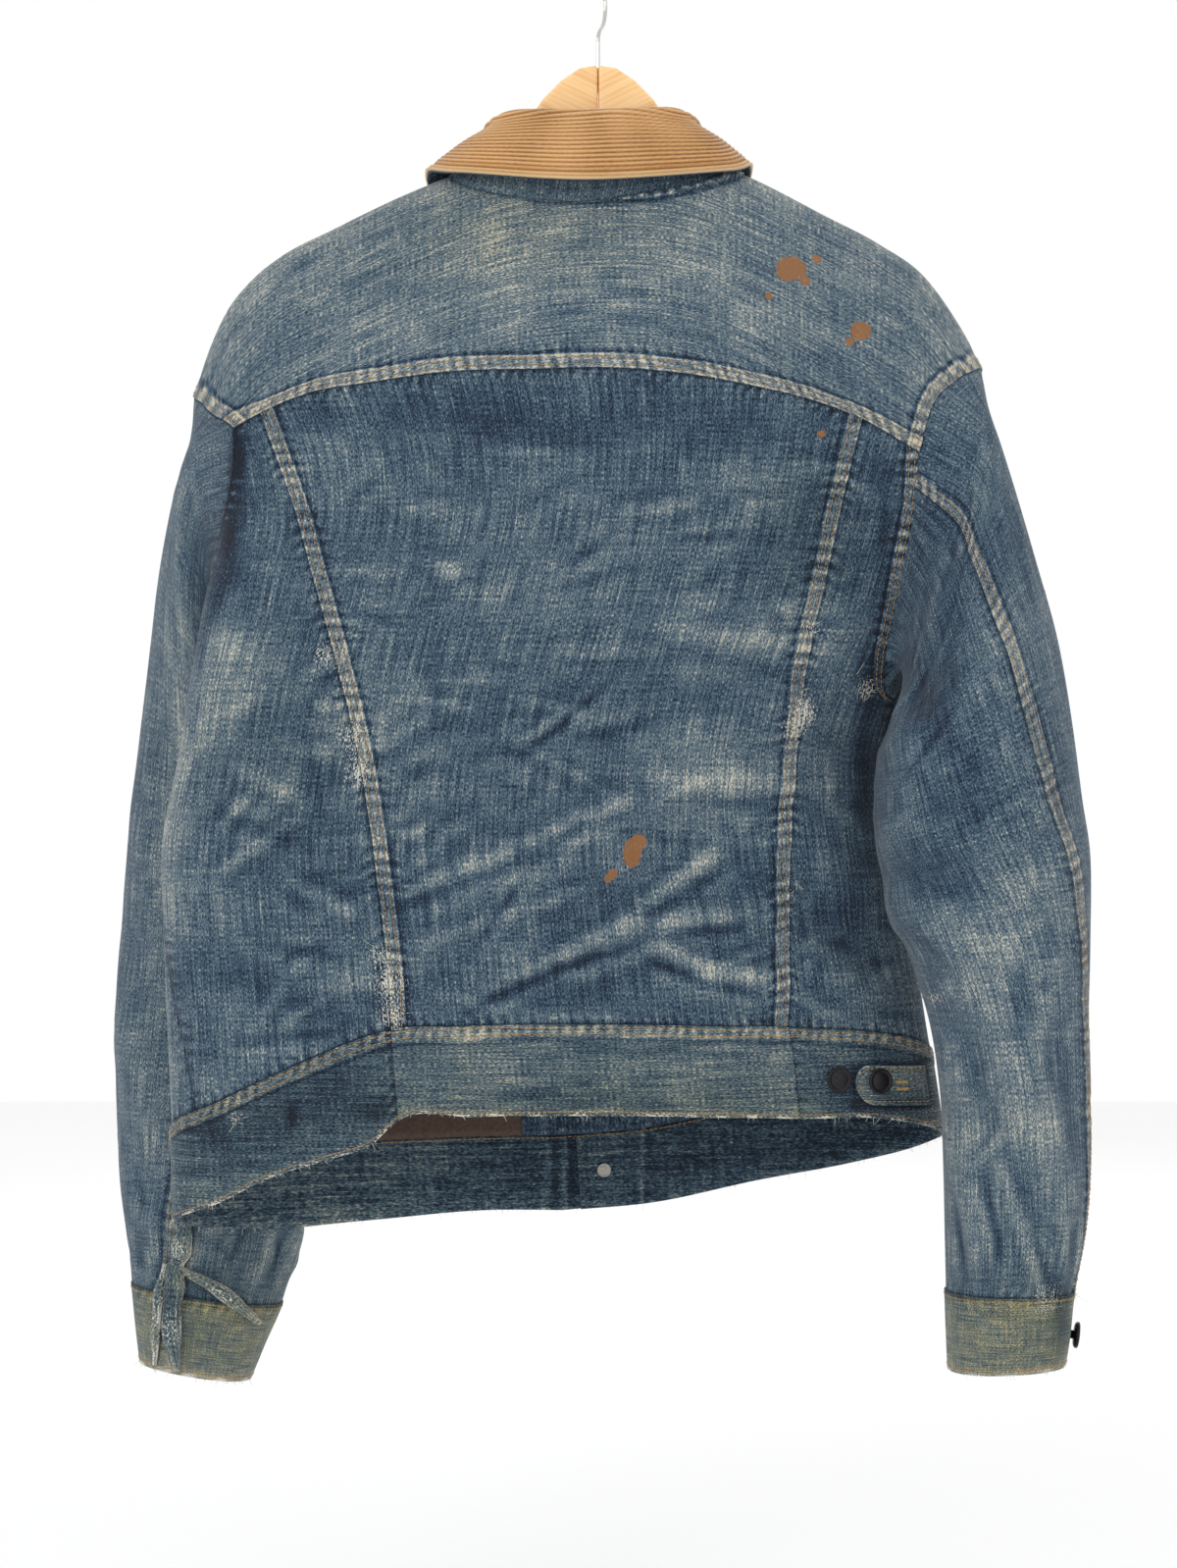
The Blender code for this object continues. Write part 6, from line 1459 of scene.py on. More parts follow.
def grid_faces(rows, columns, start, flip):
    """Quads of a grid of points."""
    i, j = np.meshgrid(np.arange(rows - 1), np.arange(columns - 1), indexing="ij")
    corner = (i * columns + j).ravel() + start
    faces = np.stack([corner, corner + 1, corner + columns + 1, corner + columns], axis=1)
    return faces[:, ::-1] if flip else faces


def rim_faces(rows, columns, flip):
    """Quads between the edges of the inner and the outer grid."""
    total = rows * columns
    loop = np.concatenate([
        np.arange(columns - 1), np.arange(rows - 1) * columns + columns - 1,
        total - 1 - np.arange(columns - 1), (rows - 1 - np.arange(rows - 1)) * columns,
    ])
    after = np.roll(loop, -1)
    faces = np.stack([loop, after, after + total, loop + total], axis=1)
    return faces[:, ::-1] if flip else faces


def shell(piece):
    """The closed shell of a piece, with its looks on its points."""
    points = piece.points
    rows, columns = points.shape[:2]
    outer = piece.outer()
    vertices = np.concatenate([points.reshape(-1, 3), outer.reshape(-1, 3)])
    middle = (rows // 2, columns // 2)
    along_1 = points[middle[0], middle[1] + 1] - points[middle]
    along_2 = points[middle[0] + 1, middle[1]] - points[middle]
    flip = np.dot(np.cross(along_1, along_2), piece.normals[middle]) < 0
    faces = np.concatenate([
        grid_faces(rows, columns, 0, not flip), grid_faces(rows, columns, rows * columns, flip),
        rim_faces(rows, columns, flip),
    ])
    item = mesh_of(piece.name + "_cloth", vertices, faces)
    state = np.zeros((2, rows * columns, 4))
    state[0, :, 0] = np.broadcast_to(piece.inner_fade, (rows, columns)).ravel()
    state[1, :, 0] = piece.fade.ravel()
    state[:, :, 1] = piece.yellow.ravel()
    state[1, :, 2] = piece.stain.ravel()
    state[1, :, 3] = piece.white.ravel()
    layer = item.data.attributes.new("state", "FLOAT_COLOR", "POINT")
    layer.data.foreach_set("color", state.ravel())
    weave = np.zeros((2, rows * columns, 3))
    weave[:, :, :2] = piece.weave.reshape(-1, 2) * MM
    weave[0, :, 2] = 0.5
    layer = item.data.attributes.new("weave", "FLOAT_VECTOR", "POINT")
    layer.data.foreach_set("vector", weave.ravel())
    return item


def linear(red, green, blue):
    """Linear colour from 0 to 255 values."""
    parts = [(c / 255 + 0.055) / 1.055 if c > 10 else c / 255 / 12.92 for c in (red, green, blue)]
    return (*[part**2.4 if c > 10 else part for part, c in zip(parts, (red, green, blue))], 1.0)


class Nodes:
    """Short ways to make a material's nodes."""

    def __init__(self, name, roughness, metallic=0.0):
        self.material = bpy.data.materials.new(name)
        self.material.use_nodes = True
        self.tree = self.material.node_tree
        self.shader = self.tree.nodes["Principled BSDF"]
        self.shader.inputs["Roughness"].default_value = roughness
        self.shader.inputs["Metallic"].default_value = metallic

    def put(self, socket, value):
        """Sets or links an input."""
        if isinstance(value, bpy.types.NodeSocket):
            self.tree.links.new(value, socket)
        else:
            socket.default_value = value

    def node(self, kind, inputs, **settings):
        """A node with its inputs set or linked; gives its outputs."""
        made = self.tree.nodes.new("ShaderNode" + kind)
        for key, value in settings.items():
            setattr(made, key, value)
        for key, value in inputs.items():
            self.put(made.inputs[key], value)
        return made.outputs

    def attribute(self, name, output):
        """An attribute of the mesh."""
        return self.node("Attribute", {}, attribute_name=name)[output]

    def position(self):
        """Place in the object."""
        return self.node("TexCoord", {})["Object"]

    def maths(self, operation, *values):
        """A sum or product and the like."""
        return self.node("Math", dict(enumerate(values)), operation=operation)[0]

    def swayed(self, value, noise, strength):
        """A value moved up and down by a noise."""
        return self.maths(
            "ADD", value, self.maths("MULTIPLY_ADD", noise, strength, -strength / 2)
        )

    def scaled(self, vector, scale, turn=0.0):
        """A vector scaled and turned about Y."""
        return self.node("Mapping", {"Vector": vector, "Scale": scale, "Rotation": (0, turn, 0)})[0]

    def noise(self, vector, scale, detail=2.0, distortion=0.0):
        """Noise from 0 to 1."""
        return self.node("TexNoise", {
            "Vector": vector, "Scale": scale, "Detail": detail, "Distortion": distortion,
        })["Fac"]

    def step(self, value, low, high):
        """Smooth step from 0 to 1."""
        return self.node("MapRange", {"Value": value, "From Min": low, "From Max": high},
                         interpolation_type="SMOOTHSTEP")[0]

    def ramp(self, value, stops):
        """Colours along a value."""
        node = self.tree.nodes.new("ShaderNodeValToRGB")
        self.put(node.inputs[0], value)
        bar = node.color_ramp
        while len(bar.elements) < len(stops):
            bar.elements.new(0.5)
        for element, (place, colour) in zip(bar.elements, stops):
            element.position = place
            element.color = colour
        return node.outputs[0]

    def mix(self, share, first, second, kind="MIX"):
        """Mix of two colours."""
        return self.node(
            "Mix", {0: share, 6: first, 7: second}, data_type="RGBA", blend_type=kind
        )[2]

    def parts(self, colour):
        """Red, green and blue of a colour."""
        return self.node("SeparateColor", {0: colour})

    def bump(self, height, strength, distance):
        """Bump from a height."""
        bumped = self.node("Bump", {"Height": height, "Strength": strength, "Distance": distance})
        self.put(self.shader.inputs["Normal"], bumped[0])

    def done(self, colour, **looks):
        """The material with its colour and its shader's other looks."""
        self.put(self.shader.inputs["Base Color"], colour)
        for name, value in looks.items():
            self.shader.inputs[name.replace("_", " ")].default_value = value
        return self.material


def denim_material():
    """Worn twill: slubs down and across, speckle, twill lines, wear and stains, and the painted
    shade that the state's paleness carries.
    """
    cloth = Nodes("worn_denim", 0.9)
    weave = cloth.attribute("weave", "Vector")
    state = cloth.attribute("state", "Color")
    white = cloth.attribute("state", "Alpha")
    # The first part of the state is paleness: fading and wear, with painted shade in it.
    fade, yellow, stain = cloth.parts(state)[:3]
    slub = cloth.noise(cloth.scaled(weave, (700.0, 24.0, 5.0)), 1.0, 3.0)
    weft = cloth.noise(cloth.scaled(weave, (26.0, 430.0, 5.0)), 1.0, 2.0)
    fine = cloth.noise(cloth.scaled(weave, (1250.0, 520.0, 5.0)), 1.0, 1.0)
    patch = cloth.noise(cloth.scaled(weave, (34.0, 26.0, 5.0)), 1.0, 4.0, 0.6)
    slant = cloth.noise(cloth.scaled(weave, (120.0, 90.0, 5.0)), 1.0, 3.0, 0.3)
    total = fade
    for part, strength in ((slub, 0.92), (weft, 0.36), (fine, 1.35), (patch, 0.36), (slant, 0.24)):
        total = cloth.swayed(total, part, strength)
    colour = cloth.ramp(total, (
        (0.0, linear(10, 18, 32)), (0.22, linear(28, 46, 66)), (0.42, linear(56, 78, 96)),
        (0.60, linear(86, 104, 116)), (0.80, linear(130, 138, 138)),
        (1.0, linear(190, 188, 176)),
    ))
    warm = cloth.mix(1.0, colour, linear(236, 218, 168), "MULTIPLY")
    yellow = cloth.maths("MULTIPLY", yellow, cloth.maths("ADD", patch, 0.5))
    colour = cloth.mix(yellow, colour, warm)
    blot = cloth.step(cloth.swayed(stain, slant, 0.5), 0.42, 0.58)
    brown = cloth.mix(0.86, colour, linear(140, 94, 50))
    colour = cloth.mix(blot, colour, brown)
    threads = cloth.swayed(cloth.swayed(white, slub, 0.9), fine, 1.4)
    threads = cloth.step(threads, 0.40, 0.72)
    colour = cloth.mix(threads, colour, linear(208, 206, 194))
    height = cloth.maths("ADD", slub, cloth.maths("ADD", fine, weft))
    cloth.bump(height, 0.55, 0.0006)
    return cloth.done(colour, Sheen_Weight=0.12, Sheen_Roughness=0.6, Specular_IOR_Level=0.18)


def plain_material(name, colour, roughness, metallic=0.0, grain=0.0, scale=400.0):
    """One colour with a little unevenness."""
    plain = Nodes(name, roughness, metallic)
    if grain:
        noise = plain.noise(plain.position(), scale, 3.0)
        pale = tuple(min(1.0, c * (1 + grain)) for c in colour[:3]) + (1.0,)
        dark = tuple(c * (1 - grain) for c in colour[:3]) + (1.0,)
        plain.bump(noise, 0.4, 0.0003)
        colour = plain.ramp(noise, ((0.3, dark), (0.7, pale)))
    return plain.done(colour)


def corduroy_material():
    """Tan pile, darker between the wales as painted shade in the grooves, rubbed along its edge."""
    pile = Nodes("tan_corduroy", 0.95)
    state = pile.attribute("state", "Color")
    wale, rub = pile.parts(state)[:2]
    weave = pile.attribute("weave", "Vector")
    fuzz = pile.noise(pile.scaled(weave, (500.0, 900.0, 5.0)), 1.0, 3.0)
    patch = pile.noise(pile.scaled(weave, (22.0, 40.0, 5.0)), 1.0, 3.0)
    total = pile.swayed(pile.swayed(wale, fuzz, 0.36), patch, 0.30)
    colour = pile.ramp(total, (
        (0.0, linear(92, 56, 26)), (0.40, linear(182, 134, 84)), (1.0, linear(232, 192, 138)),
    ))
    colour = pile.mix(rub, colour, linear(226, 198, 150))
    pile.bump(fuzz, 0.5, 0.0005)
    return pile.done(colour, Sheen_Weight=0.35, Specular_IOR_Level=0.15)


def wood_material(name, turn):
    """Pale wood with its grain along one arm of the hanger."""
    wood = Nodes(name, 0.42)
    place = wood.scaled(wood.position(), (1.0, 1.0, 1.0), turn)
    stretched = wood.scaled(place, (9.0, 60.0, 95.0))
    rings = wood.noise(stretched, 1.0, 2.0, 0.9)
    lines = wood.node("TexWave", {
        "Vector": wood.scaled(place, (6.0, 40.0, 70.0)), "Scale": 1.4, "Distortion": 5.0,
        "Detail": 2.0,
    }, wave_type="BANDS", bands_direction="Z")
    pores = wood.noise(wood.scaled(place, (60.0, 900.0, 900.0)), 1.0, 2.0)
    total = wood.maths("ADD", wood.maths("MULTIPLY", lines["Fac"], 0.14), rings)
    total = wood.maths("ADD", total, wood.maths("MULTIPLY_ADD", pores, 0.3, -0.2))
    colour = wood.ramp(total, (
        (0.25, linear(222, 170, 106)), (0.6, linear(244, 200, 140)), (1.0, linear(252, 220, 168)),
    ))
    wood.bump(pores, 0.12, 0.0003)
    return wood.done(colour, Coat_Weight=0.25, Coat_Roughness=0.25)


# Random order and sizes of the stitches and the loose threads.
STITCH_SEED = 31
HAIR_SEED = 41
FRAY_SEED = 77
STITCH_PITCH = 3.3
STITCH_LENGTH = 2.7
STITCH_RADIUS = 0.34
HAIR_RADIUS = 0.16


def tube_quads(sides, steps):
    """Quads of a tube from rings of points."""
    return [
        (sides * k + a, sides * k + (a + 1) % sides, sides * (k + 1) + (a + 1) % sides,
         sides * (k + 1) + a)
        for k in range(steps) for a in range(sides)
    ]


def thread_mesh(name, strands, quads, material):
    """All strands as one declared mesh."""
    starts = np.arange(len(strands))[:, None, None] * len(strands[0])
    faces = (np.array(quads)[None] + starts).reshape(-1, 4)
    declare(mesh_of(name, np.concatenate(strands), faces), material)


def stitch_rows(
    name, lines, material, pitch=STITCH_PITCH, length=STITCH_LENGTH, radius=STITCH_RADIUS,
):
    """Threads sewn along lines, one short rounded stitch after another."""
    strands = []
    ring = np.array(((1, 0), (0, 1), (-1, 0), (0, -1)), float)
    draw = np.random.default_rng(STITCH_SEED)
    for points, normals in lines:
        run = lengths_along(points)
        number = max(int(run[-1] / pitch), 1)
        for place in (np.arange(number) + 0.5) * run[-1] / number:
            shifts = np.array((-0.5, 0.0, 0.5)) * length
            spots = rows_at(np.clip(place + shifts, 0, run[-1]), run, points)
            up = unit(rows_at(place, run, normals))
            side = np.cross(unit(spots[2] - spots[0]), up)
            jitter = draw.normal(0, 0.12)
            rings = []
            for spot, size, lift, slide in zip(
                spots, (0.55, 1.0, 0.55), (-0.05, 0.22, -0.05), (-1, 0, 1)
            ):
                centre = spot + up * lift + side * jitter * slide
                rings.append(centre + (ring[:, :1] * side + ring[:, 1:] * up) * radius * size)
            strands.append(np.concatenate(rings))
    quads = tube_quads(4, 2) + [(3, 2, 1, 0), (8, 9, 10, 11)]
    thread_mesh(name, strands, quads, material)


def hairs(name, roots, ways, lengths, material):
    """Loose threads standing out of the cloth, each a bent three-sided strand."""
    draw = np.random.default_rng(HAIR_SEED)
    strands = []
    angles = np.radians((0, 120, 240))[:, None]
    for root, way, length in zip(roots, ways, lengths):
        way = unit(way)
        side = unit(np.cross(way, (0.3, 0.9, 0.2)))
        up = np.cross(side, way)
        bend = draw.normal(0, 0.5, 3)
        strand = []
        for share, size in ((0.0, 1.0), (0.34, 0.95), (0.67, 0.8), (1.0, 0.45)):
            centre = root + way * length * share + bend * length * share**2 * 0.5
            ring = np.cos(angles) * side + np.sin(angles) * up
            strand.append(centre + ring * (HAIR_RADIUS * size))
        strands.append(np.concatenate(strand))
    thread_mesh(name, strands, tube_quads(3, 3), material)


def fine_pieces():
    """All of the body's pieces with fine grids, and the sleeves from the coarse ones."""
    coarse = cloth_walls(COUNTS)
    join_edges(coarse, COUNTS)
    sleeves = {
        side: Sleeve(side, armhole_loop(coarse, side, COUNTS)) for side in ("left", "right")
    }
    charts = cloth_charts(FINE)
    walls = cloth_walls(FINE)
    join_edges(walls, FINE)
    return charts, walls, sleeves


def sleeve_pieces(walls, side, coarse):
    """The fine grids of a sleeve on the coarse sleeve's surface."""
    loop = armhole_loop(walls, side, FINE)
    length = lengths_along(loop)
    turns = 360.0 * length / length[-1] - TIP_TURN
    felled_turn = coarse.turns[coarse.felled]
    plain_turn = coarse.turns[coarse.plain]
    felled = int(np.argmin(np.abs(turns - felled_turn)))
    plain = int(np.argmin(np.abs(turns - plain_turn)))
    turns[felled] = felled_turn
    turns[plain] = plain_turn
    under = turns[felled:plain + 1]
    over = np.concatenate([turns[plain:-1], turns[:felled] + 360.0])
    seam = felled_turn + 360.0
    over = over[over < seam - BAND_TURNS[0] - BAND_CLEAR]
    over = np.concatenate([over, seam - BAND_TURNS])
    places = np.linspace(0.0, CUFF_PLACE, FINE["sleeve"] + 1)
    found = {}
    for name, row in (("sleeve_under_", under), ("sleeve_top_", over)):
        points, normals = coarse.wall(row, places)
        true = rows_at((row + TIP_TURN) % 360.0 - TIP_TURN, turns, loop)
        shift = true - points[0]
        points = points + hump(places[:, None, None], 0.5) * shift[None]
        found[name + side] = (points, normals, row, places)
    band = np.concatenate([under, over[1:]])
    places = np.linspace(CUFF_PLACE, FOOT_PLACE, FINE["cuff"] + 1)
    points, normals = coarse.wall(band, places)
    found["cuff_" + side] = (points, normals, band, places)
    return found


def refined(grid, rows, columns):
    """A grid with more rows and columns between its own."""
    grid = np.array(grid, float)
    if rows > 1:
        places = np.linspace(0, len(grid) - 1, rows * (len(grid) - 1) + 1)
        grid = curve_through(np.arange(len(grid), dtype=float), grid, places)
    if columns > 1:
        grid = grid.transpose(1, 0, 2)
        places = np.linspace(0, len(grid) - 1, columns * (len(grid) - 1) + 1)
        grid = curve_through(np.arange(len(grid), dtype=float), grid, places)
        grid = grid.transpose(1, 0, 2)
    return grid


def cut_sizes(points):
    """Width, length and area of a grid, in metres."""
    width = np.linalg.norm(np.diff(points, axis=1), axis=2).sum(axis=1).max() * MM
    length = np.linalg.norm(np.diff(points, axis=0), axis=2).sum(axis=0).max() * MM
    across = points[1:, 1:] - points[:-1, :-1]
    other = points[1:, :-1] - points[:-1, 1:]
    area = np.linalg.norm(np.cross(across, other), axis=2).sum() / 2 * MM * MM
    return width, length, area


# Collar: rows of its grid, its stitches' distance from the edge, pitch of the
# corduroy's wales, width of the foot sewn over the yoke.
COLLAR_ROWS = 181
COLLAR_STITCH = 5.2
WALE_PITCH = 3.1
FOOT_BAND = 12.0
# Columns of the tab's grid between which its buttonhole lies.
HOLE_COLUMNS = (32, 42)
# Share of the rows below the armholes on the side backs.
BACK_UNDERARM_SHARE = 0.62
# Edges of the facings inside the front bands: across, strength.
FACING_EDGES = ((-22.0, 0.26), (30.0, 0.26), (-34.0, 0.16))


def collar_foot(piece, edge):
    """Band of the collar's foot, sewn over the yoke just below the collar's edge, with a painted
    shadow line below it.
    """
    order = np.argsort(edge[:, 0])
    behind = edge[order][edge[order, 1] < 10.0]
    x = piece.points[..., 0]
    below = np.interp(x, behind[:, 0], behind[:, 2]) - piece.points[..., 2]
    reach = FOOT_BAND * np.clip(1.15 - (x / 100.0) ** 2, 0.0, 1.0)
    inside = (piece.points[..., 1] < 4.0) & (np.abs(x) < 96.0) & (below > -6.0)
    flat = np.clip((reach - below) / 0.8, 0, 1) * inside
    tick = ripple(x * 0.85, 17.0)
    piece.thick += 1.3 * flat
    piece.fade += flat * (0.34 * tick - 0.20)
    past = below - reach
    # Below the foot's edge: a pale worn line, then a dark line of painted shadow.
    piece.fade += inside * (0.22 * hump(past, 0.9, -1.0) - 0.30 * hump(past, 1.4, 1.4))


def band_inside(piece):
    """Inner face of the waistband: facings' edges and a pale worn foot."""
    x = piece.points[..., 0]
    away, run = seam_field(piece.points, "bottom")
    inner = np.full(x.shape, 0.30) + 0.05 * blotches(x, piece.points[..., 2], 60.0, 95)
    inner += 0.12 * np.clip((-60.0 - x) / 60.0, 0, 1)
    inner += 0.22 * hump(away, 5.0) * (1 + ripple(run * 0.5, 4.0)) / 2
    for edge, strength in FACING_EDGES:
        inner += strength * hump(x, 1.6, edge)
        inner -= 0.16 * hump(x - edge, 2.4, 4.0)
    piece.inner_fade = inner


def under_tab(piece):
    """Painted shadow on the cloth round the tab."""
    x = piece.points[..., 0]
    z = piece.points[..., 2]
    behind = piece.normals[..., 1] < 0
    over = np.maximum(np.abs(z - TAB_MIDDLE + 1.0) - TAB_HALF, 0.0)
    aside = np.maximum(np.maximum(TAB_START - x, x - TAB_END), 0.0)
    piece.fade -= 0.28 * behind * np.exp(-(over**2 + aside**2) / 9.0)


# Rolled edges at the left cuff: turns from the felled seam and places at both
# ends, radius, how far it is open, how much it wanders.
SLIT_ROLLS = (
    ("slit_roll_a", (3.0, 9.0), (11.3, 14.9), 5.2, 30.0, 2.4),
    ("slit_roll_b", (-6.0, -16.0), (12.4, 14.85), 2.6, 10.0, 1.2),
    ("slit_roll_c", (9.0, 96.0), (12.5, 13.3), 3.4, 30.0, 1.8),
)
ROLL_ROWS = 90
ROLL_COLUMNS = 26


def slit_roll(name, sleeve, turns, places, radius, opened, wander):
    """A worn edge at the cuff, rolled up, between two turns and places."""
    turn = turns[0]
    share = np.linspace(0.0, 1.0, ROLL_ROWS)
    points, normals = sleeve.wall(spread(turns[0], turns[1], share),
                                  spread(places[0], places[1], share))
    pick = np.arange(ROLL_ROWS)
    line = points[pick, pick]
    up = normals[pick, pick]
    side = unit(np.cross(up, np.gradient(line, axis=0)))
    run = lengths_along(line)
    line = line + side * (wander * np.sin(run / 17.0 + turn))[:, None]
    ends = np.minimum(run, run[-1] - run)
    size = radius * (1.0 + 0.20 * ripple(run * 0.3, turn)) * np.clip(0.25 + ends / 26.0, 0, 1)
    angles = np.radians(np.linspace(-opened, 180.0 + opened, ROLL_COLUMNS))
    twist = (0.35 * np.sin(run / 30.0))[:, None]
    out = np.cos(angles[None, :] + twist)[..., None] * side[:, None]
    out = out + np.sin(angles[None, :] + twist)[..., None] * up[:, None]
    centre = line[:, None] + up[:, None] * (BAND_CLOTH + 0.4 + size * 0.55)[:, None, None]
    grid = centre + out * size[:, None, None]
    weave = np.stack(np.broadcast_arrays(angles[None, :] * radius, run[:, None]), axis=-1)
    piece = Piece(name, grid, out, weave, 1.1, 0.56, 0.35)
    piece.white = 0.06 + 0.17 * (1 + ripple(run * 0.2, 3.0))[:, None] * np.ones((1, ROLL_COLUMNS))
    piece.wear("left", 2.0, 0.8, 5.0)
    piece.wear("right", 2.0, 0.8, 6.0)
    return piece


# How pale the pieces are, from 0 to 1.
FADES = {"yoke_back": 0.58, "waistband_left": 0.37, "waistband_right": 0.38}
BAND_FADE = 0.49
BODY_FADE = 0.43
CUFF_FADE = 0.62
SLEEVE_FADE = 0.47


def body_pieces(charts, walls, collar_edge):
    """The body's pieces with their seams, bands and wear."""
    pieces = {}
    for name, (points, normals) in walls.items():
        behind = name.startswith(("yoke", "back"))
        rows, columns = (2, 2) if behind else (1, 1)
        chart = charts[name] * (1.0 if name == "yoke_back" else GIRTH_SCALE)
        band = name.startswith("waistband")
        flat = np.concatenate([chart, np.zeros(chart.shape[:2] + (1,))], axis=2)
        if name == "yoke_back" or band:
            flat = flat[..., (1, 0, 2)]
            rows, columns = 2, 2
        points = refined(points, rows, columns)
        normals = unit(refined(normals, rows, columns))
        weave = refined(flat, rows, columns)[..., :2]
        fade = FADES.get(name, BAND_FADE if band else BODY_FADE)
        thick = BAND_CLOTH if band else CLOTH
        if name == "placket_left":
            points = points + normals * (CLOTH + LAYER_GAP * 2)
            thick = PLACKET_CLOTH
        if name == "waistband_left":
            parts = 2 * FINE["placket"] + 1
            lift = np.zeros(points.shape[1])
            lift[:parts] = BAND_CLOTH + LAYER_GAP * 2
            lift[parts:parts + 3] = lift[0] * np.array((0.8, 0.45, 0.1))
            points = points + normals * lift[None, :, None]
        piece = Piece(name, points, normals, weave, thick, fade, 0.30 if band else 0.06)
        for side, raised, seed in SEAMS[name]:
            piece.add_seam(side, raised, seed)
        if name == "back_side_right":
            piece.add_seam("right", 0.8, 29.0, BACK_UNDERARM_SHARE)
        if name == "back_side_left":
            piece.add_seam("left", 0.0, 28.0, BACK_UNDERARM_SHARE)
        if name == "yoke_back":
            collar_foot(piece, collar_edge)
        if band:
            band_inside(piece)
            under_tab(piece)
            away, run = seam_field(piece.points, "top")
            on_band = within(away, 9.0, 0.8)
            piece.thick += 0.5 * band_relief(away)
            piece.fade += on_band * (0.12 + 0.12 * ripple(run, 23.0))
            # Painted shadow: a dark line just past the band's raised edge.
            piece.fade -= 0.22 * hump(away, 1.2, 10.2)
            piece.wear("bottom", 2.2, 0.9, 51.0 + len(name))
            piece.wear("top", 1.2, 0.35, 61.0 + len(name))
        pieces[name] = piece
    return pieces


def arm_pieces(walls, sleeves):
    """The sleeves' pieces and the cuffs."""
    pieces = {}
    for side in ("left", "right"):
        for name, found in sleeve_pieces(walls, side, sleeves[side]).items():
            points, normals, turns, places = found
            weave = np.stack(np.broadcast_arrays(
                turns[None, :] * DEGREE_LENGTH, -places[:, None] * KNOT_LENGTH,
            ), axis=-1)
            flat = np.concatenate([weave, np.zeros(weave.shape[:2] + (1,))], axis=2)
            points = refined(points, 2, 1)
            normals = unit(refined(normals, 2, 1))
            weave = refined(flat, 2, 1)[..., :2]
            cuff = name.startswith("cuff")
            if cuff:
                weave = weave[..., ::-1]
            piece = Piece(
                name, points, normals, weave, BAND_CLOTH if cuff else CLOTH,
                CUFF_FADE if cuff else SLEEVE_FADE, 0.60 if cuff else 0.05,
            )
            if cuff:
                piece.add_seam("bottom", 0.0, 71.0)
                piece.wear("top", 2.5, 1.0, 72.0 + len(name))
                piece.wear("left", 2.0, 0.9 if side == "left" else 0.4, 73.0)
                piece.wear("right", 2.0, 0.9 if side == "left" else 0.4, 74.0)
            elif "top" in name:
                piece.add_seam("right", 1.0, 75.0, 0.35 if side == "left" else 0.0)
                piece.add_seam("left", 0.0, 76.0)
            else:
                piece.add_seam("left", 0.0, 75.0)
                piece.add_seam("right", 0.0, 76.0)
            if not cuff:
                piece.add_seam("bottom", 0.0, 78.0)
                piece.add_seam("top", 0.0, 79.0)
            pieces[name] = piece
    return pieces


def collar_pieces(walls):
    """Under collar of denim and upper collar of corduroy."""
    path, turned = collar_walls(walls, FINE)
    knots = np.arange(len(path), dtype=float)
    rows = np.linspace(0, len(path) - 1, COLLAR_ROWS)
    fine = curve_through(knots, path, rows)
    normals = unit(curve_through(knots, turned, rows))
    run = lengths_along(fine[:, fine.shape[1] // 2])
    along_it = lengths_along(fine[len(fine) // 2])
    weave = np.stack(np.broadcast_arrays(along_it[None, :], run[:, None]), axis=-1)
    step = slice(None, None, 5)
    under = Piece(
        "collar_under", fine[step], -normals[step], weave[step], CLOTH, 0.44, 0.05,
    )
    under.add_seam("top", 0.0, 81.0)
    top = Piece(
        "collar_top", fine + normals * LAYER_GAP, normals, weave, CORDUROY_CLOTH - 0.3, 0.5, 0.0,
    )
    away, run = seam_field(top.points, "top")
    wobble = 0.35 * blotches(run, away, 60.0, 91)
    wale = 0.5 + 0.5 * np.cos(2 * math.pi * (away + wobble) / WALE_PITCH)
    flat = hump(away, 1.1, COLLAR_STITCH)
    top.thick += 0.75 * wale**0.7 * (1 - 0.8 * flat) - 0.5 * flat
    # Darker between the wales as painted shade, with random patches on top.
    top.fade = 0.15 + 0.55 * wale * (1 - 0.5 * flat) + 0.10 * blotches(run, away, 80.0, 92)
    top.yellow = 0.5 * hump(away, 2.5)
    beside = np.minimum(run, run[:, -1:] - run)
    top.yellow = np.maximum(top.yellow, 0.4 * hump(beside, 3.0))
    top.stain = np.zeros(away.shape)
    return under, top


def tab_piece():
    """The waist tab, its left end round."""
    u, v = np.meshgrid(np.linspace(0, 1, TAB_COLUMNS), np.linspace(-1.0, 1.0, TAB_ROWS))
    rounded = np.clip((TAB_ROUND - u) / TAB_ROUND, 0.0, 0.985)
    half = TAB_HALF * np.sqrt(1 - rounded**2)
    height = TAB_MIDDLE - TAB_DROP * u + v * half
    ends = share_at(np.array((TAB_START, TAB_END)), TAB_MIDDLE, True)
    points, normals = body_wall(spread(ends[0], ends[1], u), height)
    points = points + normals * (BAND_CLOTH + LAYER_GAP)
    weave = np.stack([v * half, u * (TAB_END - TAB_START)], axis=-1)
    piece = Piece("tab_right", points, normals, weave, TAB_CLOTH, 0.62, 0.25)
    edge = half * (1 - np.abs(v))
    piece.fade = piece.fade + 0.25 * hump(edge, 1.0) * (1 + ripple(u * 47.0, 3.0)) / 2
    piece.fade = piece.fade - 0.15 * hump(edge, 0.8, 3.0)
    return piece


# Rows and columns of the front's grid that the strip of lining covers.
LINING_PART = (slice(0, 12), slice(5, 36))


def lining_piece(front):
    """Strip of lining inside the left front."""
    normals = front.normals[LINING_PART]
    inside = front.points[LINING_PART] - normals * (LAYER_GAP + LINING_CLOTH)
    return Piece("lining_left", inside, normals, front.weave[LINING_PART], LINING_CLOTH, 0.5)


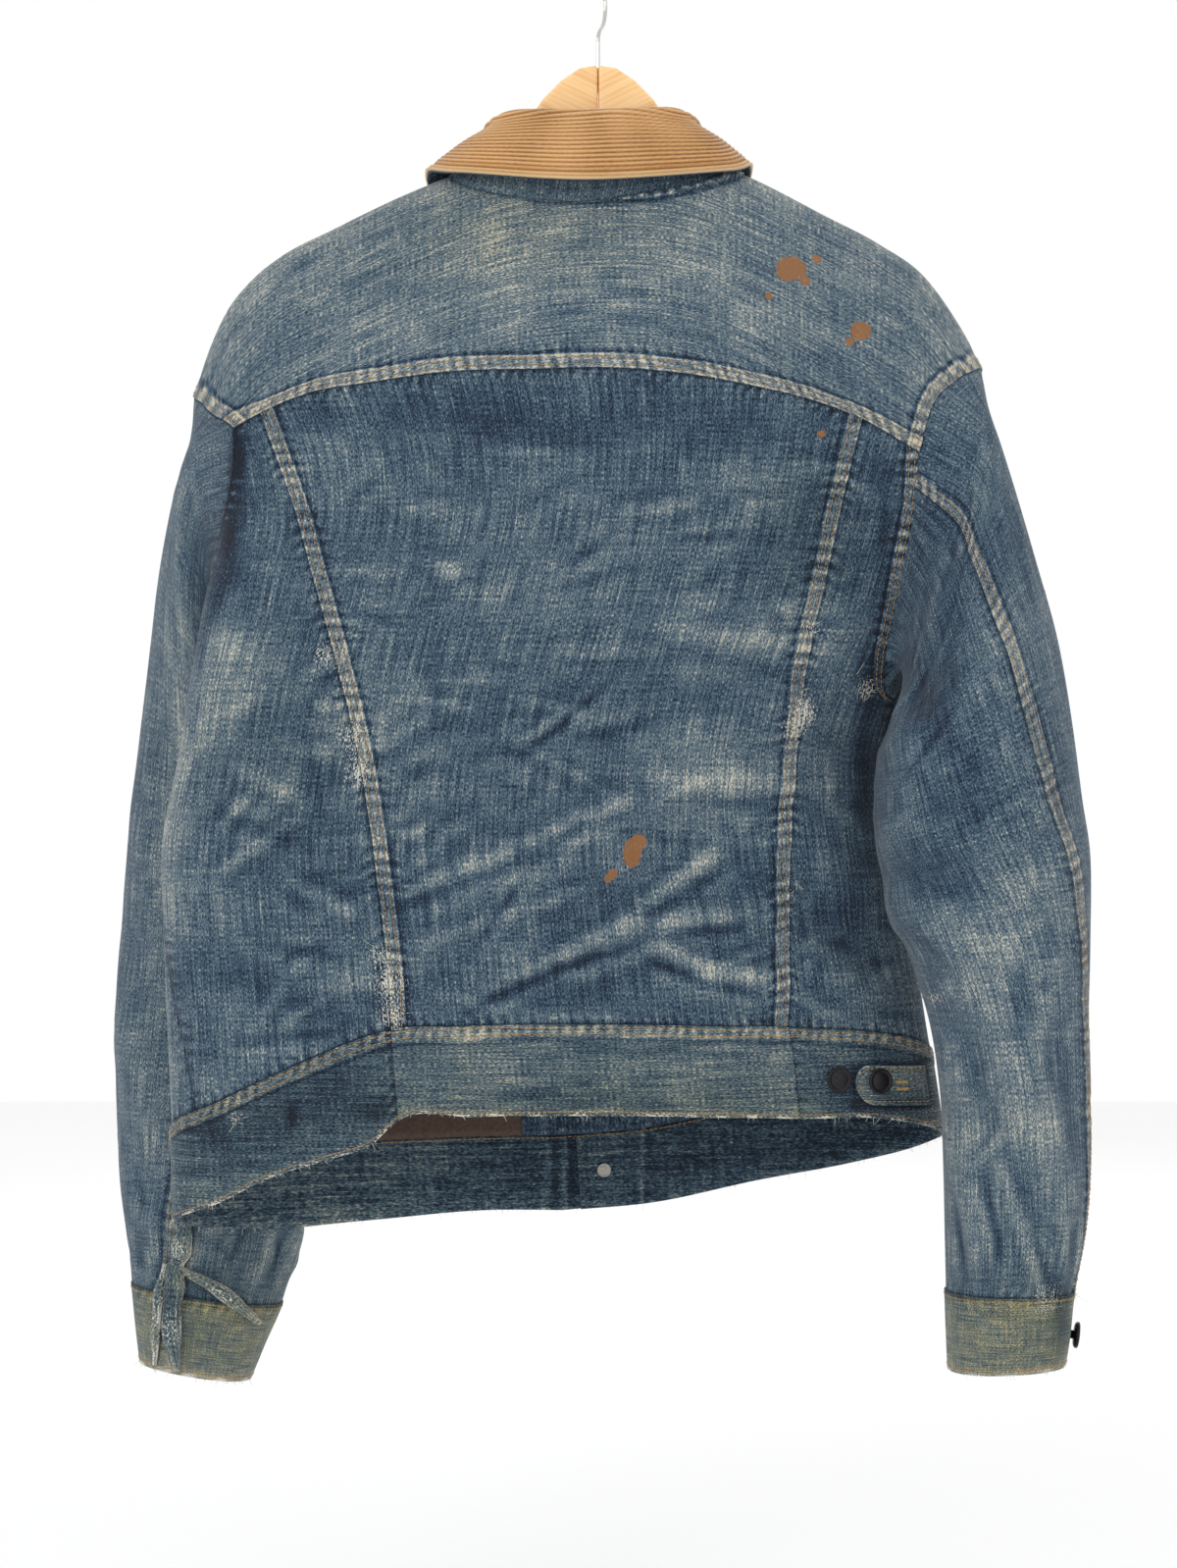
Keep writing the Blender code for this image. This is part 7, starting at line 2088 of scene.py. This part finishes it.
def turned_button(name, point, normal, radius, height, material):
    """A round metal button with a raised rim and a domed middle."""
    profile = np.array(BUTTON_PROFILE) * (radius, height)
    turns = np.linspace(0, 2 * math.pi, BUTTON_STEPS, endpoint=False)
    normal = Vector(normal)
    frame_of = np.array(normal.to_track_quat("Z", "Y").to_matrix())
    rings = np.stack([
        np.stack([out * np.cos(turns), out * np.sin(turns), np.full(BUTTON_STEPS, up)], axis=1)
        for out, up in profile
    ])
    vertices = rings.reshape(-1, 3) @ frame_of.T + point
    k = np.arange(BUTTON_STEPS)
    after = np.roll(k, -1)
    faces = [np.stack([r * BUTTON_STEPS + k, r * BUTTON_STEPS + after,
                       (r + 1) * BUTTON_STEPS + after, (r + 1) * BUTTON_STEPS + k], axis=1)[:, ::-1]
             for r in range(len(profile) - 1)]
    item = mesh_of(name + "_turned", vertices, np.concatenate(faces))
    declare(item, material, name)


def on_body(across, height, back_side, lift):
    """Point and normal at this lift over the body's inner face."""
    share = share_at(across, height, back_side)
    points, normals = body_wall(share, np.full(1, float(height)))
    return points[0] + normals[0] * lift, normals[0]


def all_buttons(sleeves, material):
    """Every button where the solids have theirs."""
    on_band = BAND_CLOTH + LAYER_GAP
    tab_top = on_band + TAB_CLOTH + LAYER_GAP
    on_placket = CLOTH + LAYER_GAP * 2 + PLACKET_CLOTH + LAYER_GAP
    spots = [
        ("tab_button_a", *TAB_BUTTON, True, tab_top), ("tab_button_b", *BARE_BUTTON, True, on_band),
        ("front_button_5", FRONT_BUTTON_ACROSS, BAND_BUTTON, False, 2 * BAND_CLOTH + LAYER_GAP * 3),
    ]
    spots += [(f"front_button_{number}", FRONT_BUTTON_ACROSS, height, False, on_placket)
              for number, height in enumerate(FRONT_BUTTONS, 1)]
    for name, across, height, back_side, lift in spots:
        point, normal = on_body(across, height, back_side, lift)
        turned_button(name, point, normal, BUTTON_RADIUS, BUTTON_HEIGHT, material)
    point, normal = on_body(*SNAP, False, -LAYER_GAP)
    grey = plain_material("grey_metal", linear(150, 146, 140), 0.45, 0.8, 0.2, 900.0)
    turned_button("waist_snap", point, -normal, SNAP_RADIUS, SNAP_HEIGHT, grey)
    sleeve = sleeves["right"]
    turn = np.array((sleeve.turns[sleeve.felled] - CUFF_BUTTON_TURN,))
    points, normals = sleeve.wall(turn, np.array((CUFF_BUTTON_PLACE,)))
    turned_button("cuff_button_right", points[0, 0] + normals[0, 0] * on_band, normals[0, 0],
                  BUTTON_RADIUS, BUTTON_HEIGHT, material)


# Rows of stitches: piece, sides, distances from them, start and end along them,
# and whether they are on the inner face.
STITCHED = (
    ("yoke_back", "bottom left right", (STITCH_NEAR, STITCH_FAR), 0.0, 1.0, False),
    ("back_centre", "left right", (STITCH_NEAR, STITCH_FAR), 0.0, 1.0, False),
    ("back_side_right", "right", (STITCH_NEAR, STITCH_FAR), 0.62, 1.0, False),
    ("waistband_back", "top", (2.0, 6.6), 0.0, 1.0, False),
    ("waistband_left", "top", (6.6,), 0.0, 1.0, False),
    ("waistband_right", "top", (6.6,), 0.0, 1.0, False),
    ("tab_right", "top bottom", (2.6,), 0.08, 1.0, False),
    ("tab_right", "left", (3.0,), 0.22, 0.78, False),
    ("waistband_back", "bottom", (2.6,), 0.0, 1.0, False),
    ("waistband_left", "top", (2.0,), 0.0, 1.0, False),
    ("waistband_left", "bottom", (2.6,), 0.0, 1.0, False),
    ("waistband_left", "top", (2.0,), 0.0, 1.0, True),
    ("waistband_right", "top", (2.0,), 0.0, 1.0, False),
    ("waistband_right", "bottom", (2.6,), 0.0, 1.0, False),
    ("waistband_right", "top", (2.0,), 0.0, 1.0, True),
    ("front_left", "right", (STITCH_NEAR,), 0.62, 1.0, False),
    ("front_right", "left", (STITCH_NEAR,), 0.62, 1.0, False),
    ("front_left", "top", (STITCH_NEAR,), 0.0, 1.0, False),
    ("front_right", "top", (STITCH_NEAR,), 0.0, 1.0, False),
    ("placket_left", "left right", (3.0,), 0.0, 1.0, False),
    ("sleeve_top_left", "right", (STITCH_NEAR, STITCH_FAR), 0.38, 1.0, False),
    ("sleeve_top_right", "right", (STITCH_NEAR, STITCH_FAR), 0.0, 1.0, False),
    ("cuff_left", "bottom", (STITCH_NEAR,), 0.0, 1.0, False),
    ("cuff_left", "top", (3.0,), 0.0, 1.0, False),
    ("cuff_right", "bottom", (STITCH_NEAR,), 0.0, 1.0, False),
    ("cuff_right", "top", (3.0,), 0.0, 1.0, False),
    ("collar_top", "top", (COLLAR_STITCH,), 0.0, 1.0, False),
)
# Frayed edges: piece, side, start and end along it, threads a centimetre, length.
FRAYED = (
    ("waistband_back", "bottom", 0.0, 1.0, 2.2, 3.0),
    ("waistband_left", "bottom", 0.0, 1.0, 3.0, 4.0),
    ("waistband_right", "bottom", 0.0, 1.0, 2.6, 3.5), ("cuff_left", "top", 0.0, 1.0, 4.0, 4.5),
    ("cuff_right", "top", 0.0, 1.0, 3.0, 3.5), ("cuff_left", "left", 0.0, 1.0, 5.0, 4.5),
    ("cuff_left", "right", 0.0, 1.0, 5.0, 4.5), ("back_centre", "left", 0.12, 0.75, 1.6, 3.2),
    ("back_centre", "right", 0.12, 0.75, 1.2, 3.0), ("yoke_back", "bottom", 0.15, 0.85, 0.5, 2.4),
    ("sleeve_top_left", "top", 0.0, 1.0, 1.2, 3.0),
)


def finish_piece(piece, material):
    """Builds a painted piece and declares it with its material."""
    name = piece.name
    item = shell(piece)
    declare(item, material, None if name.startswith("slit") else name)
    width, length, area = cut_sizes(piece.points)


def buttonhole(tab, thread):
    """Worked buttonhole on the tab, its threads side by side."""
    surface = tab.outer()
    middle = surface.shape[0] // 2
    lines = []
    for column in range(*HOLE_COLUMNS):
        for first, last in ((-2, -1), (0, 1)):
            lines.append((surface[[middle + 2 * first, middle + 2 * last + 1], column],
                          tab.normals[[middle, middle], column]))
    stitch_rows("buttonhole", lines, thread, 50.0, 2.2, 0.3)


def sewn(pieces, thread):
    """All of the visible stitches in one mesh."""
    lines = []
    for name, sides, distances, start, end, inside in STITCHED:
        for side in sides.split():
            for distance in distances:
                lines.append(pieces[name].line(side, distance, start, end, inside))
    stitch_rows("stitches", lines, thread)


def frayed(pieces, material):
    """Loose white threads along the frayed edges and the worn seams."""
    draw = np.random.default_rng(FRAY_SEED)
    roots = []
    ways = []
    sizes = []
    for name, side, start, end, density, length in FRAYED:
        piece = pieces[name]
        points, normals = piece.line(side, 0.3, start, end)
        inner = piece.line(side, 6.0, start, end)[0]
        run = lengths_along(points)
        number = int(run[-1] / 10.0 * density)
        for place in draw.uniform(0, run[-1], number):
            spot, back, up = (rows_at(place, run, rows) for rows in (points, inner, normals))
            away = unit(spot - back)
            roots.append(spot - away * 0.6 - up * draw.uniform(0, 1.4))
            ways.append(away * draw.uniform(0.3, 1.0) + up * draw.uniform(-0.1, 0.6)
                        + draw.normal(0, 0.4, 3))
            sizes.append(length * draw.uniform(0.35, 1.3))
    back = [pieces[name] for name in ("back_centre", "back_side_left", "back_side_right",
                                      "sleeve_top_right", "waistband_left")]
    cloud = np.concatenate([piece.outer().reshape(-1, 3) for piece in back])
    facing = np.concatenate([piece.normals.reshape(-1, 3) for piece in back])
    cloud, facing = cloud[facing[:, 1] < -0.2], facing[facing[:, 1] < -0.2]
    for x, z, reach, amount in WORN:
        for _ in range(int(26 * amount)):
            spot = np.array((x, z)) + draw.normal(0, reach * 0.5, 2)
            near = int(np.argmin((cloud[:, 0] - spot[0]) ** 2 + (cloud[:, 2] - spot[1]) ** 2))
            if np.hypot(cloud[near, 0] - x, cloud[near, 2] - z) > 2.5 * reach:
                continue
            roots.append(cloud[near])
            ways.append(facing[near] * 0.5 + draw.normal(0, 0.8, 3))
            sizes.append(draw.uniform(2.5, 8.0))
    hairs("loose_threads", roots, ways, sizes, material)


def dress():
    """The whole jacket."""
    denim = denim_material()
    charts, walls, sleeves = fine_pieces()
    loops = arm_pieces(walls, sleeves)
    under, top = collar_pieces(walls)
    pieces = body_pieces(charts, walls, top.points[-1])
    pieces.update(loops)
    pieces["collar_under"] = under
    pieces["tab_right"] = tab_piece()
    lining = lining_piece(pieces["front_left"])
    left = sleeves["left"]
    felled = left.turns[left.felled]
    for name, turns, *sizes in SLIT_ROLLS:
        pieces[name] = slit_roll(name, left, felled + np.array(turns), *sizes)
    for piece in pieces.values():
        piece.paint()
        slot = "denim_light" if piece.name.startswith(("waistband", "cuff", "tab")) else "denim"
        finish_piece(piece, denim)
    finish_piece(top, corduroy_material())
    pieces["collar_top"] = top
    lining.paint()
    finish_piece(lining, plain_material("brown_lining", linear(74, 56, 46), 0.85, grain=0.3))
    buttonhole(pieces["tab_right"], plain_material("bright_thread", linear(222, 176, 84), 0.6))
    sewn(pieces, plain_material("gold_thread", linear(176, 132, 66), 0.6))
    frayed(pieces, plain_material("white_thread", linear(214, 212, 202), 0.9))
    all_buttons(sleeves, plain_material("dark_metal", linear(40, 38, 40), 0.40, 0.75, 0.35, 900.0))
    for name, turn in (("hanger_left", math.radians(-26)), ("hanger_right", math.radians(26))):
        wood = wood_material("wood_" + name, turn)
        for slot in bpy.data.objects[name].material_slots:
            slot.material = wood
    steel = plain_material("bright_wire", linear(196, 194, 190), 0.22, 1.0)
    for slot in bpy.data.objects["hanger_hook"].material_slots:
        slot.material = steel


# The studio, in metres and watts.
FLOOR = -1.16
FLOOR_HALF = 4.0
WORLD_LIGHT = 1.0
AIM = (0.0, 0.0, -0.5)
LIGHTS = (
    ("key", (-1.6, -2.4, 0.6), 1.2, 16.0), ("fill", (1.8, -2.2, 0.0), 1.6, 4.0),
    ("back", (0.5, 2.5, 0.8), 2.0, 8.0),
)
CAMERA_PLACE = (-0.0063, -2.01, -0.5345)
CAMERA_LENS = 70.07


def area_light(name, place, size, power):
    """A soft rectangular light."""
    lamp = bpy.data.lights.new(name, "AREA")
    lamp.shape = "RECTANGLE"
    lamp.size = size
    lamp.size_y = size
    lamp.energy = power
    item = bpy.data.objects.new(name, lamp)
    item.location = place
    way = Vector(AIM) - Vector(place)
    item.rotation_euler = way.to_track_quat("-Z", "Y").to_euler()
    bpy.context.scene.collection.objects.link(item)


def studio():
    """Pale floor, soft light, and the camera of the photo."""
    vertices = np.array(((-1, -1, 0), (1, -1, 0), (1, 1, 0), (-1, 1, 0))) * FLOOR_HALF / MM
    vertices[:, 2] = FLOOR / MM + HOOK_RISE
    floor = mesh_of("floor", vertices, ((0, 1, 2, 3),), False)
    floor.data.materials.append(plain_material("pale_floor", (0.93, 0.93, 0.93, 1.0), 0.8))
    world = bpy.data.worlds.new("white")
    world.use_nodes = True
    background = world.node_tree.nodes["Background"]
    background.inputs["Color"].default_value = (1.0, 1.0, 1.0, 1.0)
    background.inputs["Strength"].default_value = WORLD_LIGHT
    bpy.context.scene.world = world
    bpy.context.scene.view_settings.view_transform = "Standard"
    for light in LIGHTS:
        area_light(*light)
    lens = bpy.data.cameras.new("camera")
    lens.sensor_width = 36.0
    lens.lens = CAMERA_LENS
    camera = bpy.data.objects.new("camera", lens)
    camera.location = CAMERA_PLACE
    camera.rotation_euler = (math.pi / 2, 0.0, 0.0)
    bpy.context.scene.collection.objects.link(camera)
    bpy.context.scene.camera = camera


dress()
studio()
